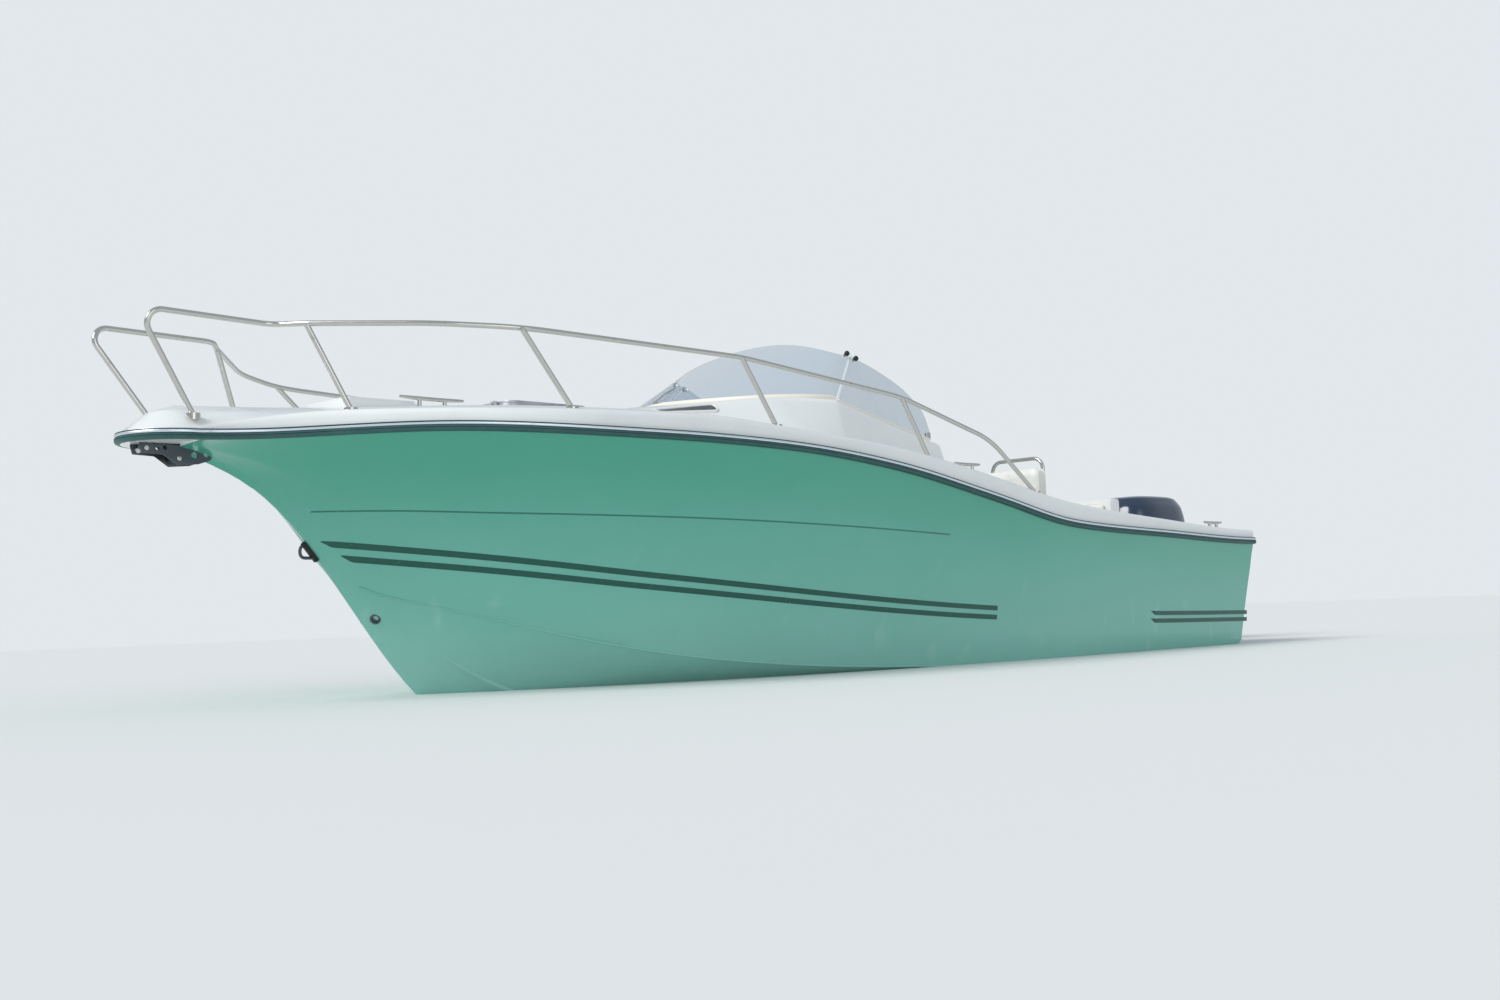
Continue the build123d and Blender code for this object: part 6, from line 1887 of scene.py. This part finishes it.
@dataclass
class Hatches:
    """Foredeck hatch, anchor locker lid, cabin door and portlights."""

    hatch_z: float = 1.4204
    hatch_out: float = 0.255
    hatch_in: float = 0.212
    hatch_thick: float = 0.014
    hinge_s: float = 5.651
    hinge_z: float = 1.430
    arm_half: float = 0.0099
    port_line: Tuple[Pair, Pair] = ((4.63, 0.653), (4.89, 0.567))
    port_half: float = 0.040

    def build(self) -> None:
        """Make the lids, their frames and their handles."""
        self.lid()
        self.fittings()
        softened("hatch_frame", Body.BOAT, ANODISED, 0.003)
        softened("locker_frame", Body.BOAT, DECK_WHITE, 0.003)
        softened("locker_lid", Body.LOCKER, DECK_WHITE, 0.003)
        softened("cabin_door", Body.DOOR, DOOR_SMOKE, 0.004)
        self.portlights()
        self.door()

    def lid(self) -> None:
        """Frame and smoked pane of the foredeck hatch's lid."""
        centre = at(HATCH_S, 0, self.hatch_z)
        size, hole, thick = self.hatch_out, self.hatch_in, self.hatch_thick
        ring = Form().slab([centre + p for p in oblong(size, size, 0.056)], UP * thick, 0.003, 3)
        ring = ring.loose("hatch_lid_frame")
        hollow = Form().slab([centre + p for p in oblong(hole, hole, 0.04, -0.01)], UP * 0.05)
        carve(ring, [hollow.loose()])
        declare(ring, Body.HATCH, ANODISED, replaces=("foredeck_hatch",))
        line = [centre + p for p in oblong(hole + 0.004, hole + 0.004, 0.04, 0.003)]
        Form().slab(line, UP * 0.009, 0.001).piece("hatch_lid_pane", Body.HATCH, HATCH_SMOKE)

    def fittings(self) -> None:
        """Dogs and hinge arms on the lid."""
        dogs, hinges = Form(), Form()
        aft, fore = HATCH_S + self.hatch_out - 0.03, self.hinge_s
        low, high = self.hinge_z - 0.004, self.hinge_z + 0.006
        dog = [(-0.010, 0.018), (-0.002, 0.02), (0.012, 0.02), (0.024, 0.014)]
        barrel = [(0, 0.008), (0.001, 0.009), (0.0188, 0.009), (0.0198, 0.008)]
        for y in (-0.15, 0.15):
            foot = at(HATCH_S - 0.16, y, self.hatch_z + 0.003)
            dogs.lathe(foot, -UP, dog, 20)
            dogs.block(foot + Vector((-0.006, -0.03, -0.032)), foot + Vector((0.006, 0.006, -0.022)), 0.003)
            hinges.block(at(aft, y - self.arm_half, low), at(fore, y + self.arm_half, high), 0.002)
            hinges.lathe(at(fore, y - self.arm_half, self.hinge_z), PORT, barrel, 20)
        dogs.piece("hatch_dogs", Body.HATCH, BLACK_TRIM)
        hinges.piece("hatch_hinge_arms", Body.HATCH, ANODISED)

    def portlights(self) -> None:
        """Long oval portlights, each a rounded rim and a smoked pane bent to the trunk's shoulder."""
        (s_low, y_low), (s_high, y_high) = self.port_line
        ahead = Vector((s_high - s_low, y_high - y_low, 0.0)).normalized()
        aside = Vector((-ahead.y, ahead.x, 0.0))
        middle = Vector(((s_low + s_high) / 2, (y_low + y_high) / 2, 0.0))
        reach = math.hypot(s_high - s_low, y_high - y_low) / 2 + self.port_half

        def ring(inset: float, lift: float) -> List[Vector]:
            """Oval on the trunk's shoulder, inside the rim's outer edge and above the surface."""
            points = []
            for point in oblong(reach - inset, self.port_half - inset, self.port_half - inset - 0.001):
                place = middle + ahead * point.x + aside * point.y
                points.append(at(place.x, place.y, deck_z(place.x, place.y) + lift))
            return points

        edges = ((0.0, -0.01), (0.0, 0.006), (0.003, 0.010), (0.010, 0.010), (0.013, 0.004), (0.013, -0.01))
        rim = Form().skin([ring(*edge) for edge in edges], loop=True, ring=True)
        edges = ((0.011, 0.002), (0.011, 0.0045), (0.02, 0.005), (self.port_half - 0.004, 0.005))
        pane = Form().solid([ring(*edge) for edge in edges])
        rim.mirrored().piece("portlight_rim", Body.BOAT, WHITE_TRIM, replaces=("portlight_rims",))
        pane.mirrored().piece("portlight_pane", Body.BOAT, HATCH_SMOKE, replaces=("portlight_panes",))

    def door(self) -> None:
        """Stiles and rails on the door."""
        form = Form()
        face = BULKHEAD_S - 0.031
        for low_y, high_y, low_z, high_z in (
            (-0.298, -0.262, 0.165, 1.218), (0.256, 0.292, 0.165, 1.218), (-0.262, 0.256, 0.165, 0.205),
            (-0.262, 0.256, 1.178, 1.218), (-0.262, 0.256, 0.66, 0.69),
        ):
            form.block(at(face - 0.003, low_y, low_z), at(face + 0.002, high_y, high_z), 0.0015)
        form.piece("door_stiles", Body.DOOR, ANODISED)


@dataclass
class Helm:
    """Consoles with their gauges and switches, steering wheel and throttle."""

    face_s: float = 3.035
    face_z: float = 1.085
    wheel_y: float = -0.56
    wheel_radius: float = 0.175
    stand_off: float = 0.105
    ribs: int = 72
    gauges: Tuple[Triple, ...] = (
        (-0.155, 0.035, 0.043), (0.0, 0.062, 0.030), (0.155, 0.035, 0.043),
    )

    def build(self) -> None:
        """Make what the helm carries."""
        axis = Vector((-0.8654, 0.0, 0.5010))
        self.place = frame_of(at(self.face_s, self.wheel_y, self.face_z), PORT, axis)
        for node in ("helm_console", "port_console"):
            softened(node, Body.BOAT, DECK_WHITE, 0.022)
        self.panel()
        self.wheel()
        self.throttle()

    def panel(self) -> None:
        """Black panel with gauges whose faces are bare, and a row of rocker switches."""
        plate = Form().slab(oblong(0.215, 0.088, 0.02, -0.002), UP * 0.004, 0.0015)
        plate.moved(self.place).piece("dash_panel", Body.BOAT, BLACK_TRIM)
        bezels, faces, hands, rockers = Form(), Form(), Form(), Form()
        for x, y, radius in self.gauges:
            base = Vector((x, y, 0.001))
            face = radius * 0.9
            bezel = [(0, radius * 1.12), (0.006, radius * 1.1), (0.010, radius), (0.008, face)]
            bezels.lathe(base, UP, bezel, 32)
            faces.lathe(base, UP, [(0, face), (0.007, face)], 32)
            low, high = Vector((-0.0012, 0, 0.0085)), Vector((0.0012, radius * 0.7, 0.0095))
            hands.block(base + low, base + high, 0.0004)
            for degrees in range(-120, 121, 30):
                turn = math.radians(degrees)
                tick = base + Vector((math.sin(turn), math.cos(turn), 0)) * radius * 0.78 + UP * 0.007
                hands.lathe(tick, UP, [(0, 0.0016), (0.0012, 0.0012)], 8)
        for k in range(6):
            x = -0.10 + 0.04 * k
            rockers.block((x - 0.008, -0.078, 0.001), (x + 0.008, -0.052, 0.008), 0.002)
        for form, name, finish in (
            (bezels, "gauge_bezels", CHROME), (faces, "gauge_faces", GAUGE_WHITE),
            (hands, "gauge_hands", BLACK_TRIM), (rockers, "rocker_switches", GRIP),
        ):
            form.moved(self.place).piece(name, Body.BOAT, finish)

    def wheel(self) -> None:
        """Steering wheel with a moulded grip, three spokes and a boss."""
        lift = UP * self.stand_off
        radius = self.wheel_radius
        ring = [Vector((x, y, self.stand_off)) for x, y in circle(radius, self.ribs)]
        rim = Form().tube(ring, 0.0124, 16, closed=True, sizes=[1.0 + 0.05 * (i % 2) for i in range(self.ribs)])
        rim.moved(self.place).piece("wheel_rim", Body.WHEEL, GRIP, replaces=("steering_wheel",))
        spokes = Form()
        for turn in (90, 210, 330):
            out = Matrix.Rotation(math.radians(turn), 3, "Z") @ AHEAD
            path = []
            for share in (k / 6 for k in range(7)):
                path.append(lift + out * mix(0.012, radius - 0.006, share) - UP * 0.006 * (1 - share))
            spokes.sweep(path, super_oval(0.014, 0.0035, 2.6, 14))
        spokes.moved(self.place).piece("wheel_spokes", Body.WHEEL, STAINLESS)
        boss = [(-0.030, 0.030), (-0.026, 0.034), (0.0, 0.034), (0.008, 0.030), (0.012, 0.018), (0.0125, 0.004)]
        Form().lathe(lift, UP, boss, 32).moved(self.place).piece("wheel_boss", Body.WHEEL, BLACK_TRIM)
        boot = [(0.0, 0.046), (0.010, 0.044), (0.026, 0.030), (0.034, 0.016), (0.0744, 0.015)]
        shaft = Form().lathe(UP * 0.002, UP, boot, 28).moved(self.place)
        shaft.piece("helm_boot", Body.BOAT, BLACK_TRIM, replaces=("helm_shaft",))

    def throttle(self) -> None:
        """Control box with its lever and grip."""
        form = Form().block(at(3.095, -0.419, 1.178), at(3.245, -0.357, 1.268), 0.02, 4)
        form.lathe(at(3.17, -0.36, 1.24), PORT, [(0, 0.03), (0.005, 0.028), (0.007, 0.02)], 24)
        form.piece("throttle_box", Body.BOAT, BLACK_TRIM, replaces=("throttle_control",))
        path = [at(3.17, -0.385, 1.25), at(3.16, -0.385, 1.31), at(3.15, -0.385, 1.366)]
        lever = Form().sweep(path, super_oval(0.011, 0.007, 2.8, 14), up=PORT)
        lever.piece("throttle_lever", Body.BOAT, STAINLESS)
        half = [(0, 0.012), (0.004, 0.017), (0.02, 0.016)]
        grip = [*half, (0.035, 0.015), *((0.07 - reach, radius) for reach, radius in reversed(half))]
        Form().lathe(at(3.15, -0.42, 1.37), PORT, grip, 24).piece("throttle_grip", Body.BOAT, GRIP)


@dataclass
class Outboard:
    """Outboard engine: cowl, leg, gearcase and propeller on its clamp and swivel brackets."""

    cowl_rows: Tuple[Quad, ...] = (
        (0.43, -0.215, -0.82, 0.205), (0.6, -0.188, -0.935, 0.262), (0.88, -0.185, -0.975, 0.27),
        (1.03, -0.215, -0.955, 0.245), (1.09, -0.262, -0.91, 0.212),
    )
    crown: float = 0.034
    band: Pair = (0.885, 0.925)
    leg_rows: Tuple[Quad, ...] = (
        (-0.64, -0.225, -0.52, 0.028), (-0.385, -0.232, -0.5, 0.046), (0.06, -0.232, -0.52, 0.08),
        (0.3, -0.235, -0.61, 0.12), (0.4297, -0.235, -0.76, 0.17),
    )
    steering_s: float = -0.17
    shaft_z: float = -0.62
    plate_z: float = -0.416
    skeg: Tuple[Triple, ...] = (
        (-0.785, -0.405, -0.48), (-0.74, -0.30, -0.51), (-0.70, -0.235, -0.535), (-0.66, -0.20, -0.56),
    )
    hub_s: float = -0.64
    hub_length: float = 0.15
    blades: int = 3
    blade_ends: Pair = (0.044, 0.1845)
    rake: float = 0.10
    camber: float = 0.72

    def build(self) -> None:
        """Make the engine's parts."""
        self.cowl()
        self.vents()
        self.leg()
        self.gearcase()
        self.propeller()
        softened("clamp_bracket", Body.BOAT, ENGINE_PAINT, 0.005)
        softened("swivel_bracket", Body.SWIVEL, ENGINE_PAINT, 0.006)

    @staticmethod
    def section(row: Triple, z: float, power: float, sides: int = 56, share: float = 1.0) -> List[Vector]:
        """Oval section from its front, aft and half breadth."""
        front, aft, half = row
        oval = super_oval((front - aft) / 2 * share, half * share, power, sides)
        return [at((front + aft) / 2, 0, z) + Vector((u, v, 0)) for u, v in oval]

    def rows(
        self, table: Sequence[Sequence[float]], heights: Sequence[float], power: float
    ) -> List[List[Vector]]:
        """Sections of a smooth form at the heights."""
        curves = [Curve([row[0] for row in table], [row[k] for row in table]) for k in (1, 2, 3)]
        return [self.section([curve(z) for curve in curves], z, power) for z in heights]

    def cowl(self) -> None:
        """Cowl with a parting groove and a band of a lighter grey."""
        heights = places(0.43, 0.596, 0.02) + [0.599, 0.601, 0.604] + places(0.62, 1.09, 0.02)
        rows = self.rows(self.cowl_rows, heights, 3.2)
        groove = (heights.index(0.599), heights.index(0.601))
        for index in groove:
            middle = sum(rows[index], Vector()) / len(rows[index])
            rows[index] = [middle + (point - middle) * 0.985 for point in rows[index]]
        top = self.cowl_rows[-1]
        for k in range(1, 8):
            turn = math.pi / 2 * k / 8
            height, share = top[0] + self.crown * math.sin(turn), math.cos(turn) ** 0.6
            rows.append(self.section(top[1:], height, 3.0, share=share))

        def finish(row: int, column: int) -> int:
            """Grey band round the upper cowl, dark elsewhere."""
            return 1 if self.band[0] < rows[row][0].z < self.band[1] else 0

        form, paints = Form().skin(rows, loop=True, caps=True, slot=finish), (COWL_PAINT, COWL_GREY)
        form.piece("cowl_shell", Body.ENGINE, *paints, replaces=("engine_cowl",), crease=PANE_CREASE)

    def vents(self) -> None:
        """Air intake slots at the back of the cowl, and its latch."""
        vents = Form()
        for side in (1, -1):
            y = side * 0.05
            for k in range(5):
                z = 0.96 + 0.018 * k
                vents.block(at(-0.93 + k * 0.004, y - 0.04, z), at(-0.905, y + 0.04, z + 0.008), 0.003)
        vents.piece("cowl_vents", Body.ENGINE, BLACK_TRIM)
        latch = Form().block(at(-0.90, -0.035, 0.575), at(-0.962, 0.035, 0.625), 0.01, 4)
        latch.piece("cowl_latch", Body.ENGINE, BLACK_TRIM)

    def leg(self) -> None:
        """Tapered leg with its anti-ventilation plate, steering tube and yokes."""
        low, top, axis = self.leg_rows[0][0], self.leg_rows[-1][0], self.steering_s
        form = Form().solid(self.rows(self.leg_rows, places(low, top, 0.025), 2.5))
        plate = [at(-0.455 + u, v, self.plate_z - 0.006) for u, v in super_oval(0.245, 0.13, 3.4, 48)]
        form.slab(plate, UP * 0.012, 0.004, 3)
        splash = [at(-0.40 + u, v, self.plate_z + 0.11) for u, v in super_oval(0.16, 0.075, 2.8, 40)]
        form.slab(splash, UP * 0.01, 0.003, 2)
        form.block(at(-0.42, -0.09, 0.369), at(-0.13, 0.09, top), 0.01)
        form.lathe(at(axis, 0, 0.368), UP, [(0, 0.068), (0.002, 0.07), (0.061, 0.07)], 32)
        form.lathe(at(axis, 0, -0.11), UP, [(0, 0.05), (0.006, 0.056), (0.036, 0.056), (0.042, 0.05)], 32)
        form.block(at(-0.4, -0.05, -0.109), at(axis, 0.05, -0.069), 0.01)
        form.lathe(at(axis, 0, -0.069), UP, [(0, 0.024), (0.438, 0.024)], 24)
        form.piece("leg_casing", Body.ENGINE, ENGINE_PAINT, replaces=("engine_leg",))

    def gearcase(self) -> None:
        """Bullet-shaped gearcase, skeg, intake slots, trim tab and shaft."""
        z = self.shaft_z
        bullet = [
            (0, 0.003), (0.004, 0.014), (0.018, 0.030), (0.045, 0.046), (0.085, 0.056), (0.13, 0.058),
            (0.42, 0.058), (0.49, 0.054), (0.524, 0.050),
        ]
        form = Form().lathe(at(-0.11, 0, z), -AHEAD, bullet, 40)
        rows = []
        for low, front, aft in self.skeg:
            rows.append(self.section((front, aft, 0.008 + (low - self.skeg[0][0]) * 0.03), low, 2.0, 24))
        form.solid(rows)
        form.piece("gearcase", Body.ENGINE, ENGINE_PAINT)
        slots = Form()
        for side in (1, -1):
            for k in range(4):
                low = at(-0.30 - 0.028 * k, side * 0.036 - 0.006, -0.52 - 0.004 * k)
                slots.block(low, low + Vector((0.016, 0.012, 0.045)), 0.003)
        slots.block(at(-0.60, -0.006, -0.475), at(-0.53, 0.006, -0.42), 0.003)
        slots.piece("gearcase_slots", Body.ENGINE, BLACK_TRIM)
        shaft = Form().lathe(at(-0.63, 0, z), -AHEAD, [(0, 0.0139), (0.17, 0.0139), (0.185, 0.008)], 20)
        shaft.piece("propeller_shaft", Body.ENGINE, STAINLESS)

    def propeller(self) -> None:
        """Hub and twisted blades with rounded tips."""
        chord = Curve((0.04, 0.115, 0.185), (0.12, 0.17, 0.10))
        pitch = Curve((0.04, 0.115, 0.185), (34.0, 54.0, 64.0))
        centre = at(self.hub_s - self.hub_length / 2, 0, self.shaft_z)
        root, tip = self.blade_ends
        rows = []
        for k in range(14):
            reach = mix(root, tip, k / 13)
            wide = chord(reach) * math.sqrt(max(1 - max((reach - 0.13) / 0.0555, 0) ** 2, 0.004))
            turn = math.radians(pitch(reach))
            ahead = Vector((math.cos(turn), math.sin(turn), 0))
            over = UP.cross(ahead)
            middle = centre + UP * reach - AHEAD * self.rake * (reach - root) + ahead * wide * 0.06
            thick = mix(0.0065, 0.0018, k / 13)
            oval = circle(wide / 2, 28, max(thick / (wide / 2), 0.01))
            rows.append([middle + ahead * u + over * (v - self.camber * u * u) for u, v in oval])
        one = Form().solid(rows).loose("blade")
        form = Form()
        for number in range(self.blades):
            turn = Matrix.Rotation(2 * math.pi * number / self.blades, 4, "X")
            copy = one.data.copy()
            copy.transform(Matrix.Translation(centre) @ turn @ Matrix.Translation(-centre))
            form.bm.from_mesh(copy)
        bpy.data.objects.remove(one)
        hub = [
            (0, 0.046), (0.006, 0.052), (0.10, 0.052), (0.144, 0.049), (0.149, 0.047), (0.14, 0.040),
            (0.12, 0.022), (0.121, 0.0142),
        ]
        form.lathe(at(self.hub_s, 0, self.shaft_z), -AHEAD, hub, 40)
        form.piece("propeller_wheel", Body.PROPELLER, PROP_STEEL, replaces=("propeller",))


@dataclass
class SternGear:
    """Boarding ladder treads, scupper rings, filler caps and another turned fitting."""

    ladder_y: float = -0.86
    ladder_half: float = 0.15

    def build(self) -> None:
        """Make the treads and the turned fittings."""
        fixed, folded = Form(), Form()
        for form, z, off, inset in (
            (fixed, 0.3, 0.052, 0.02), (fixed, 0.5, 0.052, 0.02),
            (folded, 0.33, 0.096, 0.04), (folded, 0.56, 0.096, 0.04),
        ):
            self.tread(form, z, off, self.ladder_half - inset)
        fixed.piece("treads_fixed", Body.BOAT, BLACK_RUBBER)
        folded.piece("treads_folding", Body.LADDER, BLACK_RUBBER)
        up, back = (0, 0, 1), (-math.cos(TRANSOM_RAKE), 0, -math.sin(TRANSOM_RAKE))
        cap = (
            (-0.004, 0.036), (0.003, 0.036), (0.006, 0.030), (0.0065, 0.020), (0.004, 0.018), (0.0045, 0.002)
        )
        ring = ((-0.004, 0.052), (0.004, 0.052), (0.008, 0.048), (0.006, 0.043))
        for fitting in (
            Turned("fuel_filler", Body.BOAT, CHROME, ((1.75, 1.16, deck_z(1.75, 1.16)),), up, cap),
            Turned("water_filler", Body.BOAT, CHROME, ((1.75, -1.16, deck_z(1.75, -1.16)),), up, cap),
            Turned("scupper_rings", Body.BOAT, STAINLESS,
                   tuple((transom_s(0.25) - 0.002, y, 0.25) for y in (-0.76, 0.76)), back, ring),
            Turned("port_corner_fitting", Body.BOAT, CHROME, ((transom_s(0.56), 1.19, 0.56),), back,
                   ((-0.004, 0.020), (0.006, 0.020), (0.012, 0.012), (0.013, 0.003))),
        ):
            fitting.build()

    def tread(self, form: Form, z: float, off: float, half: float) -> None:
        """Ribbed sleeve on a step."""
        x = along(transom_s(z)) - off / math.cos(TRANSOM_RAKE)
        path = [Vector((x, self.ladder_y + half * (k / 12 - 1), z)) for k in range(25)]
        form.tube(path, 0.0125, 14, sizes=[1.0 + 0.08 * (k % 2) for k in range(25)])


class Rounded(NamedTuple):
    """CAD node that gets rounded edges."""

    node: str
    body: Body
    finish: Finish
    edge: float


@dataclass
class PlainPieces:
    """Pieces whose CAD shape is right, or right once its edges are rounded."""

    dressed: Tuple[Tuple[Finish, Tuple[str, ...]], ...] = (
        (STAINLESS, ("bow_rail_port", "bow_rail_starboard", "seat_handles", "ladder_fixed", "ladder_fold")),
        (STAINLESS, ("rod_holders", "door_hinges")), (BLOCK_CAST, ("engine_block",)),
        (BLACK_RUBBER, ("scupper_flaps",)), (SOLE, ("cockpit_sole",)),
    )
    softer: Tuple[Rounded, ...] = (
        Rounded("seat_bases", Body.BOAT, DECK_WHITE, 0.018),
        Rounded("bench_base", Body.BOAT, DECK_WHITE, 0.015),
    )

    def build(self) -> None:
        """Dress and round the pieces."""
        for finish, nodes in self.dressed:
            for node in nodes:
                dress(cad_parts[node], (finish,), SHARP_ANGLE)
                LOG.info("%s: dressed", node)
        for row in self.softer:
            softened(row.node, row.body, row.finish, row.edge)


@dataclass
class Studio:
    """Pale floor at the waterline, plain light and the photograph's camera."""

    camera_place: Vector = spot(7.497, 6.718, 0.322)
    heading: float = math.radians(-135.32)
    roll: float = math.atan(0.0377)
    focal_px: float = 1623.47
    horizon_px: float = 615.17
    frame_width: int = 1500
    frame_height: int = 1000
    floor_half: float = 60.0
    floor_colour: Colour = srgb(236, 237, 234)
    backdrop: Colour = srgb(226, 232, 235)
    world_strength: float = 0.6
    suns: Tuple[Tuple[str, Triple, float, float], ...] = (
        ("key", (4.0, -0.7, 3.3), 30.0, 2.0), ("fill", (1.5, 6.0, 1.6), 40.0, 0.35),
    )

    def build(self) -> None:
        """Make the camera, floor, lamps and world."""
        self.camera()
        self.floor()
        self.lamps()
        self.world()
        bpy.context.scene.view_settings.view_transform = "Standard"

    def camera(self) -> None:
        """Camera at the photograph's place and angle."""
        data = bpy.data.cameras.new("camera")
        data.sensor_width = 36.0
        data.lens = self.focal_px / self.frame_width * data.sensor_width
        data.clip_end = 200.0
        item = bpy.data.objects.new("camera", data)
        bpy.context.scene.collection.objects.link(item)
        pitch = math.atan((self.horizon_px - self.frame_height / 2) / self.focal_px * math.cos(self.roll))
        ahead = Vector((
            math.cos(self.heading) * math.cos(pitch), math.sin(self.heading) * math.cos(pitch), math.sin(pitch)
        ))
        right = ahead.cross(UP).normalized()
        up = right.cross(ahead)
        turned = right * math.cos(self.roll) - up * math.sin(self.roll)
        over = right * math.sin(self.roll) + up * math.cos(self.roll)
        turn = Matrix((turned, over, -ahead)).transposed().to_4x4()
        item.matrix_world = Matrix.Translation(self.camera_place) @ turn
        bpy.context.scene.camera = item

    def floor(self) -> None:
        """Plain floor at the waterline."""
        ends = (-self.floor_half, self.floor_half)
        item = Form().skin([[Vector((x, y, 0)) for x in ends] for y in ends]).loose("floor")
        recipe = Recipe("floor")
        cloud = recipe.noise(0.6, 3.0)
        colour = recipe.blend(cloud * 0.15, self.floor_colour, srgb(226, 229, 228))
        item.data.materials.append(recipe.finish(Base_Color=colour, Roughness=0.9, Specular_IOR_Level=0.1))

    def lamps(self) -> None:
        """Soft distant lamps: a key ahead of the bow, and a weak fill from the camera's side."""
        for name, place, width, power in self.suns:
            data = bpy.data.lights.new(name, "SUN")
            data.angle, data.energy = math.radians(width), power
            item = bpy.data.objects.new(name, data)
            bpy.context.scene.collection.objects.link(item)
            item.rotation_euler = (-Vector(place)).to_track_quat("-Z", "Y").to_euler()

    def world(self) -> None:
        """Pale world that lights the boat evenly, and shows in one colour."""
        world = bpy.data.worlds.new("studio")
        bpy.context.scene.world = world
        world.use_nodes = True
        tree = world.node_tree
        light = tree.nodes["Background"]
        light.inputs["Color"].default_value = (*srgb(226, 236, 246), 1.0)
        light.inputs["Strength"].default_value = self.world_strength
        seen = tree.nodes.new("ShaderNodeBackground")
        seen.inputs["Color"].default_value = (*self.backdrop, 1.0)
        ray, join = tree.nodes.new("ShaderNodeLightPath"), tree.nodes.new("ShaderNodeMixShader")
        tree.links.new(ray.outputs["Is Camera Ray"], join.inputs[0])
        tree.links.new(light.outputs[0], join.inputs[1])
        tree.links.new(seen.outputs[0], join.inputs[2])
        tree.links.new(join.outputs[0], tree.nodes["World Output"].inputs["Surface"])


def main() -> None:
    """Build the boat's sub-assemblies in order, from the camera inwards."""
    logging.basicConfig(level=logging.INFO, format="%(name)s %(message)s")
    for part in (
        Studio(), Hull(), Deck(), RubRail(), Windscreen(), BowGear(), Hatches(), Helm(), Upholstery(),
        Outboard(), SternGear(), PlainPieces(),
    ):
        LOG.info("building %s", type(part).__name__)
        part.build()


if __name__ == "__main__":
    main()
